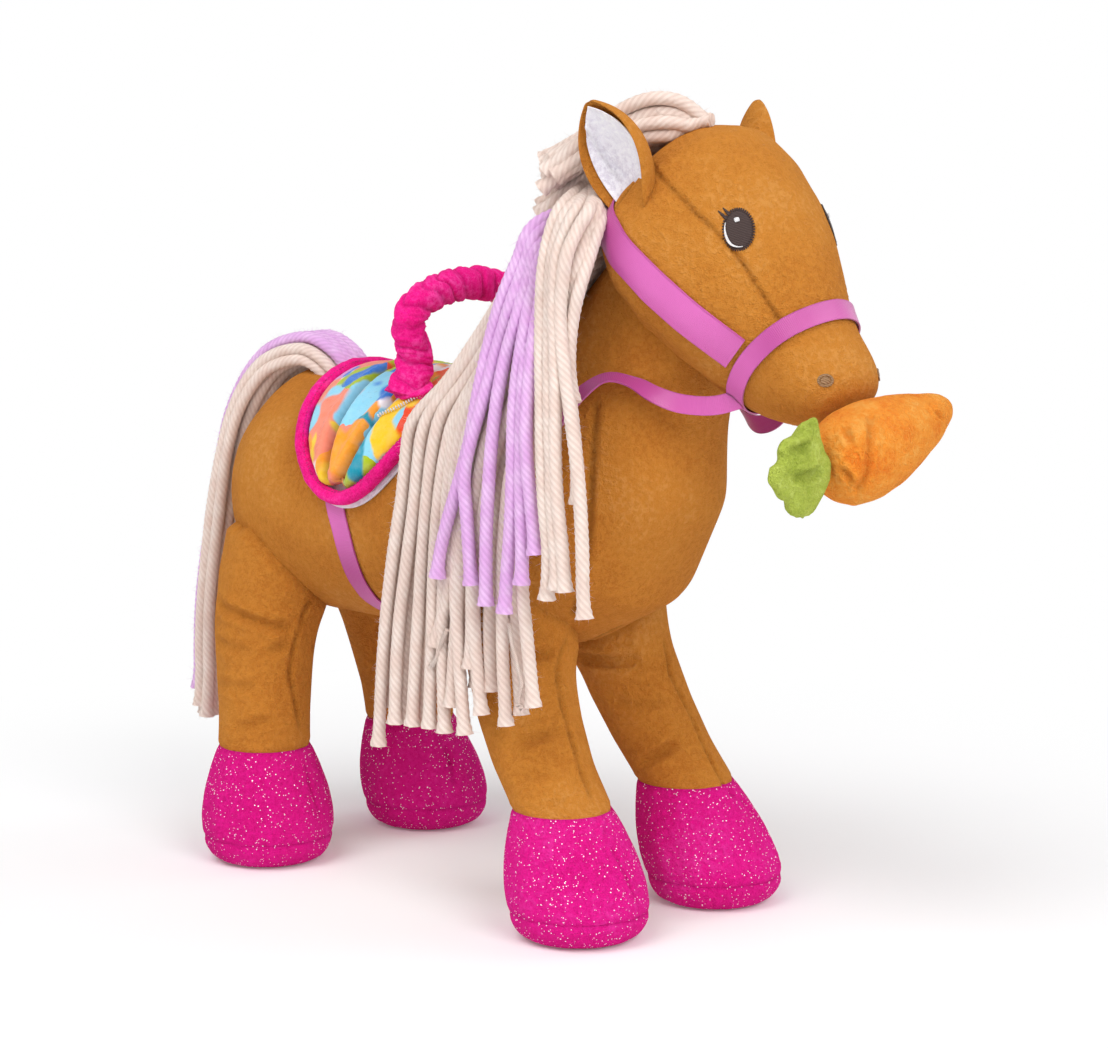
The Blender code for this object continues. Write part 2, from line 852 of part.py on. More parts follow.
def disc_over(tree, centre, normal, along, half_length, half_width, thickness, gap):
    """A thin oval laid on a surface: rings of rays cast along its normal."""
    across = normal.cross(along).normalized()
    along = across.cross(normal)
    under, over = [], []
    for share in STITCH_RING_SHARES:
        ring = []
        for k in range(STITCH_SIDES):
            turn = 2 * math.pi * k / STITCH_SIDES
            offset = along * (half_length * share * math.cos(turn))
            offset += across * (half_width * share * math.sin(turn))
            ring.append(outermost(tree, centre + offset, normal))
        under.append([p + normal * gap for p in ring])
        over.append([p + normal * (gap + thickness) for p in ring])
    return strip([*under, *reversed(over)])


# Trunk, neck and head


def make_trunk(horse):
    body = skin_tube(
        trunk_rings(0), trunk_rings(PLUSH), (trunk_pole(0), None), (trunk_pole(PLUSH), None)
    )
    add_piece("body_skin", body, horse, CARAMEL)
    inset = PLUSH + CLEAR
    add_piece("body_filling", trunk_solid(inset), horse, FIBRE)
    return add_cutter("trunk_clearance", trunk_solid(-CLEAR), horse)


def make_head(horse, trunk_cutter):
    skin = add_piece("head_skin", nested_shell(head_solid(0), head_solid(PLUSH)), horse, CARAMEL)
    inset = PLUSH + 2 * CLEAR
    filling = add_piece("head_filling", head_solid(inset), horse, FIBRE)
    cut(skin, trunk_cutter)
    cut(filling, trunk_cutter)
    return filling


def make_leg(prefix, side, hoof, lean, shares, reach, tuck, horse, trunk_cutter):
    """A leg: its skin, glitter hoof, sole and the one filling inside all three."""
    inset = PLUSH + CLEAR

    def rings(draw_in):
        return leg_rings(side, hoof, lean, shares, reach, tuck, draw_in)

    skin = add_piece(
        prefix + "_leg_skin", skin_tube(rings(0), rings(PLUSH)), horse, CARAMEL
    )
    cut(skin, trunk_cutter)
    outer = hoof_rings(side, hoof, lean, hoof_outline(0))
    inner = hoof_rings(side, hoof, lean, hoof_outline(PLUSH))
    add_piece(prefix + "_hoof", skin_tube(outer, inner), horse, GLITTER_PINK, GLITTER_ROUGH)
    outer = hoof_rings(side, hoof, lean, sole_outline(0))
    inner = hoof_rings(side, hoof, lean, sole_outline(PLUSH))
    poles = [hoof_centre(side, hoof, lean, 0) + UP * lift for lift in (0, PLUSH)]
    sole = skin_tube(outer, inner, (None, poles[0]), (None, poles[1]))
    add_piece(prefix + "_sole", sole, horse, GLITTER_PINK, GLITTER_ROUGH)
    inside = rings(inset) + hoof_rings(side, hoof, lean, filling_outline(inset))
    filling = add_piece(prefix + "_leg_filling", strip(inside), horse, FIBRE)
    cut(filling, trunk_cutter)


def filling_outline(inset):
    """The outline of the filling inside a hoof and its sole, from the top down."""
    return hoof_outline(inset)[1:] + sole_outline(inset)[1:]


# Ears


def ear_grid(head_tree, side, share, lift):
    """Points of an ear's cupped surface, from its base up, shifted towards its opening."""
    place, _ = head_surface_point(head_tree, EAR_PLACE_SHARE, side * EAR_ANGLE)
    lean_x, lean_y, lean_z = EAR_LEAN_SHARES
    rise = Vector((lean_x, side * lean_y, lean_z)).normalized()
    face = Vector((math.cos(EAR_TURN), side * math.sin(EAR_TURN), 0))
    face = (face - rise * face.dot(rise)).normalized()
    across = rise.cross(face)
    grid = []
    for height, width, cup in EAR_SHARES:
        row = []
        for k in range(EAR_COLUMNS):
            turn = math.pi * (k / (EAR_COLUMNS - 1) - 1 / 2)
            point = place + rise * (EAR_HEIGHT * height * share - EAR_SINK)
            point += across * (EAR_WIDTH / 2 * width * share * math.sin(turn))
            point += face * (EAR_SHIFT + lift - EAR_CUP * cup * math.cos(turn))
            row.append(point)
        grid.append(row)
    return grid


def make_ear(prefix, side, horse, head_tree, cutters):
    back = plate(
        ear_grid(head_tree, side, 1, 0), ear_grid(head_tree, side, 1, -EAR_BACK_THICKNESS)
    )
    back = add_piece(prefix + "_ear", back, horse, CARAMEL)
    near = LAYER_CLEAR
    lining = plate(
        ear_grid(head_tree, side, EAR_LINING_SHARE, near),
        ear_grid(head_tree, side, EAR_LINING_SHARE, near + EAR_LINING_THICKNESS),
    )
    lining = add_piece(prefix + "_ear_lining", lining, horse, WHITE)
    for cutter in cutters:
        cut(back, cutter)
        cut(lining, cutter)


# Embroidery


def make_face(horse, head_tree):
    _, along, up = head_axes()
    for prefix, side in (("right", -1), ("left", 1)):
        centre, normal = head_surface_point(head_tree, EYE_PLACE_SHARE, side * EYE_ANGLE)
        eye = disc_over(
            head_tree, centre, normal, UP, EYE_LENGTH / 2, EYE_WIDTH / 2, EYE_THICKNESS, CLEAR
        )
        add_piece(prefix + "_eye", eye, horse, DARK_BROWN, THREAD_ROUGH)
        centre, normal = head_surface_point(
            head_tree, NOSTRIL_PLACE_SHARE, side * NOSTRIL_ANGLE
        )
        nostril = disc_over(
            head_tree, centre, normal, up + along,
            NOSTRIL_LENGTH / 2, NOSTRIL_WIDTH / 2, EYE_THICKNESS, CLEAR,
        )
        add_piece(prefix + "_nostril", nostril, horse, TAN, THREAD_ROUGH)


# Bridle


def cheek_path(tree):
    """Round the back of the head and neck, from one end of the noseband to the other."""
    middle, along, up = head_axes()
    centre = middle + up * CHEEK_LEVEL
    ahead = (NOSEBAND_PLACE_SHARE - HEAD_BACK_SHARE) * HEAD_LENGTH
    ahead -= NOSEBAND_WIDTH / 2 + 2 * SLACK
    end_turn = math.pi - math.atan2(HEAD_WIDTH * CHEEK_END_WIDTH_SHARE / 2, ahead)
    path = []
    for k in range(CHEEK_STEPS + 1):
        turn = end_turn * (2 * k / CHEEK_STEPS - 1)
        aim = LEFT * math.sin(turn) - along * math.cos(turn)
        path.append((turn, aim, (outermost(tree, centre, aim) - centre).length))
    return [centre + aim * taut(path, turn, reach) for turn, aim, reach in path]


def taut(path, turn, reach):
    """The reach at a turn of a band pulled tight round the points of a path."""
    for before, _, near in path:
        for after, _, far in path:
            if before < turn < after < before + math.pi:
                span = near * math.sin(turn - before) + far * math.sin(after - turn)
                reach = max(reach, near * far * math.sin(after - before) / span)
    return reach


def noseband_path(tree):
    _, _, up = head_axes()
    centre = head_point(NOSEBAND_PLACE_SHARE)
    path = []
    for k in range(NOSEBAND_STEPS):
        turn = 2 * math.pi * k / NOSEBAND_STEPS
        path.append(outermost(tree, centre, up * math.cos(turn) + LEFT * math.sin(turn)))
    return path


def rein_path(tree, head_tree):
    """One long rein, from under the right of the noseband over the withers to the left."""
    _, _, up = head_axes()
    aim = up * math.cos(REIN_START_ANGLE) - LEFT * math.sin(REIN_START_ANGLE)
    behind = (NOSEBAND_WIDTH + REIN_WIDTH) / 2 / HEAD_LENGTH
    start = outermost(head_tree, head_point(NOSEBAND_PLACE_SHARE - behind), aim)
    right = []
    for back, rise, out in REIN_SHARES:
        point = start + UP * (rise * REIN_DROP) - FORWARD * (back * REIN_RUN)
        point.y = -out * TRUNK_WIDTH / 2
        right.append(point)
    left = [Vector((p.x, -p.y, p.z)) for p in reversed(right[:-1])]
    loop = smooth_path(right + left, 2 * REIN_STEPS)
    return [stand_off(p, tree, RIBBON_CLEAR) for p in loop]


def make_bridle(horse, skin_tree, head_tree):
    path = cheek_path(skin_tree)
    cheek = ribbon(path, CHEEK_WIDTH, skin_tree)
    add_piece("cheek_ribbon", cheek, horse, ORCHID, SATIN_ROUGH)
    room = ribbon(path, CHEEK_WIDTH, skin_tree, grown=4 * CLEAR)
    cheek_cutter = add_cutter("cheek_clearance", room, horse)
    noseband = ribbon(noseband_path(head_tree), NOSEBAND_WIDTH, head_tree, closed=True)
    add_piece("noseband_ribbon", noseband, horse, ORCHID, SATIN_ROUGH)
    reins = ribbon(rein_path(skin_tree, head_tree), REIN_WIDTH, skin_tree)
    return cheek_cutter, add_piece("reins", reins, horse, ORCHID, SATIN_ROUGH)


# Saddle and girth


def over_back(tree, along, angle, lift):
    """A point over the trunk, lifted off a surface along a ray from the trunk's middle."""
    centre = Vector((SADDLE_X + along, 0, trunk_height()))
    aim = UP * math.cos(angle) + LEFT * math.sin(angle)
    return outermost(tree, centre, aim) + aim * lift


def saddle_grid(tree, shrink, lifts):
    """Rows round the back and columns along it, inside the saddle's egg-shaped outline."""
    grid = []
    reach = SADDLE_HALF_ANGLE - shrink / (TRUNK_WIDTH / 2)
    for r in range(PAD_ROWS + 1):
        turn = math.pi * (r / PAD_ROWS - 1 / 2) * PAD_ROW_SHARE
        half_length = (SADDLE_HALF_LENGTH - shrink) * math.cos(turn)
        ends = 1 - (1 - PAD_END_SHARE) * abs(math.sin(turn)) ** PAD_END_POWER
        row = []
        for place, thickness in PAD_SHARES:
            lift = lifts(thickness * ends)
            row.append(over_back(tree, place * half_length, reach * math.sin(turn), lift))
        grid.append(row)
    return grid


def make_saddle(horse, trunk_tree):
    """The lining, the quilted pad on it and the piping round the pad."""
    top = SADDLE_CLEAR + SADDLE_LINING
    lining = plate(
        saddle_grid(trunk_tree, 0, lambda thickness: SADDLE_CLEAR),
        saddle_grid(trunk_tree, 0, lambda thickness: top),
    )
    add_piece("saddle_lining", lining, horse, WHITE)
    inset = 2 * PIPING_RADIUS + LAYER_CLEAR
    base = top + LAYER_CLEAR
    pad = plate(
        saddle_grid(trunk_tree, inset, lambda thickness: base),
        saddle_grid(trunk_tree, inset, lambda thickness: base + thickness * SADDLE_PAD),
    )
    pad = add_piece("saddle_pad", pad, horse, PRINT)
    shrink = PIPING_RADIUS
    reach = SADDLE_HALF_ANGLE - shrink / (TRUNK_WIDTH / 2)
    path = []
    for k in range(PIPING_STEPS):
        turn = 2 * math.pi * k / PIPING_STEPS
        along = (SADDLE_HALF_LENGTH - shrink) * math.cos(turn)
        lift = base + PIPING_RADIUS
        path.append(over_back(trunk_tree, along, reach * math.sin(turn), lift))
    middle = Vector((SADDLE_X, 0, trunk_height()))
    sections = []
    for k, point in enumerate(path):
        run = run_at(path, k, closed=True)
        out = point - middle
        out.x = 0
        across = run.cross(out).normalized()
        rise = across.cross(run)
        sections.append(
            oval(point, across, rise, PIPING_RADIUS, PIPING_RADIUS, PIPING_RADIUS, PIPING_SIDES)
        )
    piping = add_piece("saddle_piping", strip(sections, closed=True), horse, HOT_PINK)
    return pad, piping


def make_girth(horse, trunk_tree):
    """From one bottom edge of the saddle, forward under the belly, to the other."""
    start = SADDLE_HALF_ANGLE + GIRTH_START / (TRUNK_WIDTH / 2)
    path = []
    for k in range(GIRTH_STEPS + 1):
        share = 2 * k / GIRTH_STEPS - 1
        angle = math.pi + share * (math.pi - start)
        path.append(over_back(trunk_tree, GIRTH_LEAN * (1 - share * share), angle, RIBBON_CLEAR))
    add_piece("girth_ribbon", ribbon(path, GIRTH_WIDTH, trunk_tree), horse, ORCHID, SATIN_ROUGH)


# Carrying handle


def handle_foot_aim(side):
    """Direction out of the back at a foot of the handle: side is -1 on the right, 1 on the left."""
    return UP * math.cos(HANDLE_FOOT_ANGLE) + LEFT * (side * math.sin(HANDLE_FOOT_ANGLE))


def handle_foot_place(pad_tree, side):
    return outermost(pad_tree, Vector((HANDLE_X, 0, trunk_height())), handle_foot_aim(side))


def handle_end(pad_tree, side):
    """Middle of the rounded end of the handle, above its foot."""
    over = FOOT_CLEAR + FOOT_THICKNESS + CLEAR + HANDLE_END_RADIUS
    return handle_foot_place(pad_tree, side) + handle_foot_aim(side) * over


def handle_axis_height(pad_tree):
    """Height of the line through both ends that the handle tips about."""
    return max(handle_end(pad_tree, side).z for side in (RIGHT_SIDE, LEFT_SIDE))


def handle_path(pad_tree, axis_height, steps):
    points = []
    for place, rise in HANDLE_SHARES:
        height = axis_height + rise * HANDLE_RISE
        points.append(Vector((HANDLE_X, place * HANDLE_REACH, height)))
    right, left = (handle_end(pad_tree, side) for side in (RIGHT_SIDE, LEFT_SIDE))
    right.z = left.z = axis_height
    return smooth_path([right, *points, left], steps)


def handle_rings(path, radii, sides):
    rings = []
    for k, point in enumerate(path):
        run = run_at(path, k)
        rings.append(oval(point, FORWARD, run.cross(FORWARD), radii[k], radii[k], radii[k], sides))
    return rings


def make_handle(horse, pad_tree):
    height = handle_axis_height(pad_tree)
    handle = add_body("handle_hinge", Vector((HANDLE_X, 0, height)), horse)
    steps = 2 * HANDLE_GATHERS
    path = handle_path(pad_tree, height, steps)
    radii = []
    for k in range(steps + 1):
        swell = min(1, k / HANDLE_SWELL_STEPS, (steps - k) / HANDLE_SWELL_STEPS)
        full = HANDLE_END_RADIUS + (HANDLE_RADIUS - HANDLE_END_RADIUS) * swell
        radii.append(full * (1 if k % 2 == 0 else HANDLE_VALLEY_SHARE))
    outer = handle_rings(path, radii, HANDLE_SIDES)
    bore = HANDLE_CORE_RADIUS + CLEAR
    core_path = handle_path(pad_tree, height, HANDLE_CORE_STEPS)
    hollow = [bore] * (HANDLE_CORE_STEPS + 1)
    inner = handle_rings(core_path, hollow, HANDLE_SIDES)
    cover = skin_tube([*under_end(outer, 0), *outer, *under_end(outer, -1)], inner)
    add_piece("handle_cover", cover, handle, HOT_PINK)
    tight = [HANDLE_CORE_RADIUS] * (HANDLE_CORE_STEPS + 1)
    core = strip(handle_rings(core_path, tight, HANDLE_SIDES))
    add_piece("handle_core", core, handle, FIBRE)
    for name, side in (("handle_right_foot", RIGHT_SIDE), ("handle_left_foot", LEFT_SIDE)):
        foot = disc_over(
            pad_tree,
            handle_foot_place(pad_tree, side),
            handle_foot_aim(side),
            FORWARD,
            FOOT_LENGTH / 2,
            FOOT_WIDTH / 2,
            FOOT_THICKNESS,
            FOOT_CLEAR,
        )
        add_piece(name, foot, horse, HOT_PINK)


def under_end(rings, end):
    """One smaller ring past an end of the handle, which rounds it off about its hinge line."""
    ring = rings[end]
    centre = sum(ring, Vector()) / len(ring)
    nearer = rings[1 if end == 0 else -2]
    run = (sum(nearer, Vector()) / len(ring) - centre).normalized()
    turn = HANDLE_END_TURN
    ahead = run * (HANDLE_END_RADIUS * math.sin(turn))
    return [[centre + (p - centre) * math.cos(turn) - ahead for p in ring]]


# Mane, poll tuft and tail


def crest_grid(tree, lift):
    """Rows from the withers up to the poll, and columns round each from left to right."""
    foot, _ = spine_at(CREST_START_SHARE * spine_length())
    top = head_point(CREST_END_SHARE)
    grid = []
    for r in range(CREST_ROWS + 1):
        share = r / CREST_ROWS
        centre = foot.lerp(top, share)
        lean = NECK_LEAN + (CREST_END_LEAN - NECK_LEAN) * share
        up = UP * math.cos(lean) - FORWARD * math.sin(lean)
        reach = CREST_RIGHT_ANGLE + (CREST_END_RIGHT_ANGLE - CREST_RIGHT_ANGLE) * share
        row = []
        for c in range(CREST_COLUMNS + 1):
            turn = CREST_LEFT_ANGLE - (CREST_LEFT_ANGLE + reach) * c / CREST_COLUMNS
            aim = up * math.cos(turn) + LEFT * math.sin(turn)
            row.append(outermost(tree, centre, aim) + aim * lift)
        grid.append(row)
    return grid


def fall_grid(tree, shares, gap, top_out):
    """Columns of hanging strands that keep a gap to what lies behind them, and their rows down."""
    columns = []
    spread = MANE_HEM_LENGTH / len(MANE_SHARES) / 2
    head_x = head_axes()[0].x
    for place, sweep, length in shares:
        top_x = head_x - MANE_TOP_BEHIND + MANE_TOP_LENGTH * place
        hem_x = head_x - MANE_HEM_BEHIND + MANE_HEM_LENGTH * place
        out = top_out
        column = []
        for r in range(MANE_ROWS + 1):
            share = r / MANE_ROWS
            x = top_x + (hem_x - top_x) * (1 - (1 - share * length) ** sweep)
            z = MANE_TOP_HEIGHT - MANE_DROP * share * length
            for ahead in (-spread, 0, spread):
                for rise in (-spread, 0, spread):
                    hit = first_hit(tree, Vector((x + ahead, -FAR, z + rise)), LEFT)[0]
                    if hit:
                        out = max(out, gap - hit.y)
            column.append(Vector((x, -out, z)))
        columns.append(column)
    return columns


def smoothed(columns):
    """Each column with its outward bulge eased over its neighbours, never drawn inwards."""
    eased = []
    for column in columns:
        path = []
        for k, point in enumerate(column):
            near = column[max(k - 1, 0)], column[min(k + 1, len(column) - 1)]
            out = min(point.y, (near[0].y + near[1].y) / 2)
            path.append(Vector((point.x, out, point.z)))
        eased.append(path)
    return eased


def shifted(grid, out):
    return [[p - LEFT * out for p in row] for row in grid]


def make_mane(horse, skin_tree, behind, cheek_cutter):
    """The sewn crest, then the cream fall with the lilac one lying over it."""
    crest = plate(
        crest_grid(skin_tree, SLACK), crest_grid(skin_tree, SLACK + CREST_THICKNESS)
    )
    crest = add_piece("mane_crest", crest, horse, CREAM)
    cut(crest, cheek_cutter)
    tree = surface(*behind, crest)
    loose = fall_grid(tree, MANE_SHARES, MANE_CLEAR, MANE_TOP_OUT)
    top_out = max(-column[0].y for column in loose)
    hinge_y = -(top_out + MANE_THICKNESS / 2)
    hinge_x = head_axes()[0].x - MANE_TOP_BEHIND + MANE_TOP_LENGTH / 2
    hinge = Vector((hinge_x, hinge_y, MANE_TOP_HEIGHT))
    mane = add_body("mane_hinge", hinge, horse)
    back = smoothed(fall_grid(tree, MANE_SHARES, MANE_CLEAR, top_out))
    fall = rounded_top(plate(back, shifted(back, MANE_THICKNESS)), hinge_y)
    add_piece("mane_cream", fall, mane, CREAM)
    cream_tree = surface(mane.children[0])
    over = smoothed(fall_grid(cream_tree, LILAC_SHARES, LAYER_CLEAR, top_out))
    lilac = plate(over, shifted(over, LILAC_THICKNESS))
    add_piece("mane_lilac", lilac, mane, LILAC)
    return crest


def rounded_top(bm, hinge_y):
    """Draws the fall's top edge in towards its hinge line, which runs along X."""
    for vertex in bm.verts:
        if vertex.co.z > MANE_TOP_HEIGHT - MANE_THICKNESS / 2:
            vertex.co.y = hinge_y + (vertex.co.y - hinge_y) * MANE_EDGE_SHARE
    return bm


def yarn_tube(path, widths, thickness):
    """A flat lock of yarn along a path, as wide across the horse as told, rounded at both ends."""
    rings = []
    half = thickness / 2
    for k, point in enumerate(path):
        rise = LEFT.cross(run_at(path, k))
        rings.append(oval(point, LEFT, rise, widths[k] / 2, half, half, TAIL_SIDES))
    first, last = run_at(path, 0), run_at(path, len(path) - 1)
    return solid_tube(rings, start=path[0] - first * half, end=path[-1] + last * half)


def tuft_grid(tree, thickness):
    """Points of the tuft's under side at no thickness, and of its upper side at its thickness."""
    middle, _, _ = head_axes()
    last = len(TUFT_SHARES) - 1
    rows = [(k, *row) for k, row in enumerate(TUFT_SHARES)]
    spine = []
    for k in range(TUFT_STEPS + 1):
        _, back, right, up, lift = between(rows, last * k / TUFT_STEPS)
        aim = Vector((-back, -right, up)).normalized()
        spine.append((aim, outermost(tree, middle, aim) + aim * (LAYER_CLEAR + lift * TUFT_LIFT)))
    path = [point for _, point in spine]
    grid = []
    for k, (aim, point) in enumerate(spine):
        across = run_at(path, k).cross(aim).normalized()
        off = (point - outermost(tree, middle, aim)).length
        row = []
        for c in range(TUFT_COLUMNS + 1):
            side = 2 * c / TUFT_COLUMNS - 1
            to = (point + across * (side * TUFT_WIDTH / 2) - middle).normalized()
            full = 1 - (1 - TUFT_EDGE_SHARE) * side * side
            row.append(outermost(tree, middle, to) + to * (off + thickness * full))
        grid.append(row)
    return grid


def make_tuft(horse, tree):
    tuft = plate(tuft_grid(tree, 0), tuft_grid(tree, TUFT_THICKNESS))
    add_piece("poll_tuft", tuft, horse, CREAM)


def tail_path(root, lift):
    points = []
    for back, side, rise in TAIL_SHARES:
        offset = Vector((-back * TAIL_REACH, -side * TAIL_SIDE, rise * TAIL_DROP))
        points.append(root + offset)
    path = smooth_path(points, TAIL_STEPS)
    lifted = []
    for k, point in enumerate(path):
        out = LEFT.cross(run_at(path, k)).normalized()
        lifted.append(point + out * lift)
    return lifted


def tail_widths(width):
    rows = [(k, share) for k, share in enumerate(TAIL_WIDTH_SHARES)]
    last = len(rows) - 1
    return [width * between(rows, last * k / TAIL_STEPS)[1] for k in range(TAIL_STEPS + 1)]


def make_tail(horse, trunk_tree):
    dock = outermost(trunk_tree, Vector((TAIL_ROOT_X, 0, trunk_height())), UP)
    root = dock + UP * (CLEAR + TAIL_THICKNESS / 2)
    tail = add_body("tail_hinge", root, horse)
    cream = yarn_tube(tail_path(root, 0), tail_widths(TAIL_WIDTH), TAIL_THICKNESS)
    add_piece("tail_cream", cream, tail, CREAM)
    lift = (TAIL_THICKNESS + LILAC_THICKNESS) / 2 + LAYER_CLEAR
    part = slice(LILAC_TAIL_SKIP_STEPS, round(TAIL_STEPS * LILAC_TAIL_SHARE) + 1)
    path = tail_path(root, lift)[part]
    lilac = yarn_tube(path, tail_widths(LILAC_WIDTH)[part], LILAC_THICKNESS)
    add_piece("tail_lilac", lilac, tail, LILAC)


# Carrot


def carrot_axes():
    """Along the carrot from crown to tip, across it away from the mouth, and up."""
    _, away, _ = head_axes()
    along = LEFT * math.cos(CARROT_RISE) + UP * math.sin(CARROT_RISE)
    away = (away - along * away.dot(along)).normalized()
    return along, away, away.cross(along)


def carrot_rings(middle, inset, sides):
    along, away, up = carrot_axes()
    rings = []
    for place, radius in CARROT_SHARES:
        ahead = inset + place * (CARROT_LENGTH - 2 * inset) - CARROT_HOLD_SHARE * CARROT_LENGTH
        size = radius * CARROT_RADIUS - inset
        rings.append(oval(middle + along * ahead, away, up, size, size, size, sides))
    return rings


def carrot_tip(middle, inset):
    along, _, _ = carrot_axes()
    return middle + along * ((1 - CARROT_HOLD_SHARE) * CARROT_LENGTH - inset)


def carrot_contact(head_tree):
    """The carrot's middle when it just touches the mouth, the touching point and its normal."""
    _, away, _ = carrot_axes()
    far = head_point(1) + away * CARROT_LENGTH
    touch = (None, None, FAR)
    for ring in carrot_rings(far, -CLEAR, 2 * CARROT_SIDES):
        for point in ring:
            touch = min(touch, first_hit(head_tree, point, -away), key=lambda hit: hit[2])
    mouth, normal, distance = touch
    return far - away * (distance - SLACK / 2), mouth, normal


def disc_at(centre, axis, radius, thickness):
    """A flat round disc that starts at a point and runs along an axis."""
    side = axis.cross(UP).normalized()
    other = side.cross(axis)
    rings = []
    for ahead in (0, thickness):
        rings.append(oval(centre + axis * ahead, side, other, radius, radius, radius, MAGNET_SIDES))
    return strip(rings)


def make_magnet(name, place, axis, body, filling):
    """A disc magnet in a pocket of a filling, under the skin."""
    disc = disc_at(place + axis * MAGNET_DEPTH, axis, MAGNET_RADIUS, MAGNET_THICKNESS)
    add_piece(name, disc, body, STEEL, STEEL_ROUGH, 1)
    depth = MAGNET_DEPTH + MAGNET_THICKNESS + CLEAR
    pocket = disc_at(place, axis, MAGNET_RADIUS + CLEAR, depth)
    cut(filling, add_cutter(name + "_pocket", pocket, body))


def make_carrot(horse, head_tree, head_filling):
    middle, mouth, normal = carrot_contact(head_tree)
    slide = add_body("carrot_magnet_slide", mouth, horse)
    carrot = add_body("carrot_hinge", mouth, slide)
    skin = skin_tube(
        carrot_rings(middle, 0, CARROT_SIDES), carrot_rings(middle, CARROT_SKIN, CARROT_SIDES),
        (None, carrot_tip(middle, 0)), (None, carrot_tip(middle, CARROT_SKIN)),
    )
    add_piece("carrot_skin", skin, carrot, ORANGE)
    inset = CARROT_SKIN + CLEAR
    filling = solid_tube(
        carrot_rings(middle, inset, CARROT_SIDES), end=carrot_tip(middle, inset)
    )
    filling = add_piece("carrot_filling", filling, carrot, FIBRE)
    make_magnet("carrot_magnet", mouth, normal, slide, filling)
    make_magnet("mouth_magnet", mouth, -normal, horse, head_filling)
    add_piece("carrot_leaves", leaves(middle), carrot, LEAF_GREEN)


def leaves(middle):
    """A flat stuffed leaf that stands upright across the horse, thinner at its rim."""
    along, _, _ = carrot_axes()
    crown = middle + along * (CARROT_SHARES[0][0] - CARROT_HOLD_SHARE) * CARROT_LENGTH
    crown -= along * (SLACK / 2)
    centre_length = sum(length for length, _ in LEAF_SHARES) / len(LEAF_SHARES)
    sections = []
    for scale, lift in ((LEAF_RIM_SHARE, -1), (1, 0), (LEAF_RIM_SHARE, 1)):
        ring = []
        for length, width in LEAF_SHARES:
            inward = 1 if length == 0 else scale
            out = (centre_length + (length - centre_length) * inward) * LEAF_LENGTH
            point = crown - LEFT * out
            point += UP * (out * LEAF_RISE_SHARE + width * scale * LEAF_HALF_WIDTH)
            ring.append(point + FORWARD * (lift * LEAF_THICKNESS / 2))
        sections.append(ring)
    return strip(sections)


# The whole toy


def centre_on_ground(horse):
    """Moves the toy so that the middle of its outline on the ground is the origin."""
    lows, highs = [FAR] * 2, [-FAR] * 2
    for piece in bpy.data.objects:
        if piece.type == "MESH" and not piece.hide_render:
            for vertex in piece.data.vertices:
                for axis in range(2):
                    lows[axis] = min(lows[axis], vertex.co[axis])
                    highs[axis] = max(highs[axis], vertex.co[axis])
    horse.location = [-(low + high) / 2 for low, high in zip(lows, highs)] + [0]


def make_horse():
    horse = add_body("horse", Vector())
    trunk_cutter = make_trunk(horse)
    head_filling = make_head(horse, trunk_cutter)
    legs = (
        ("front", FRONT_HOOF, FRONT_LEAN, FRONT_LEG_SHARES, FRONT_REACH, FRONT_TUCK),
        ("hind", HIND_HOOF, HIND_LEAN, HIND_LEG_SHARES, HIND_REACH, HIND_TUCK),
    )
    for end, *shape in legs:
        for prefix, side in (("right", -1), ("left", 1)):
            make_leg(f"{end}_{prefix}", side, *shape, horse, trunk_cutter)
    trunk_tree = surface(trunk_solid(0))
    head_tree = surface(head_solid(0))
    leg_skins = [o for o in horse.children if o.name.endswith("_leg_skin")]
    skin_tree = surface(trunk_solid(0), head_solid(0))
    head_cutter = add_cutter("head_clearance", head_solid(-CLEAR), horse)
    make_face(horse, head_tree)
    cheek_cutter, reins = make_bridle(horse, skin_tree, head_tree)
    for prefix, side in (("right", -1), ("left", 1)):
        make_ear(prefix, side, horse, head_tree, (head_cutter, cheek_cutter))
    pad, piping = make_saddle(horse, trunk_tree)
    make_girth(horse, trunk_tree)
    make_handle(horse, surface(pad))
    solids = (trunk_solid(0), head_solid(0), pad, piping, cheek_cutter, reins, *leg_skins)
    crest = make_mane(horse, skin_tree, solids, cheek_cutter)
    make_tuft(horse, surface(trunk_solid(0), head_solid(0), crest))
    make_tail(horse, trunk_tree)
    make_carrot(horse, head_tree, head_filling)
    centre_on_ground(horse)


clear_scene()
make_horse()
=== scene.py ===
"""Looks of the plush horse: its soft forms, yarn, ribbons, saddle, handle and carrot."""

import logging
import math
from dataclasses import dataclass, field
from enum import Enum
from typing import Callable, Iterable, Sequence

import bmesh
import bpy
import numpy as np
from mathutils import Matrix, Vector, noise
from mathutils.bvhtree import BVHTree
from mathutils.kdtree import KDTree


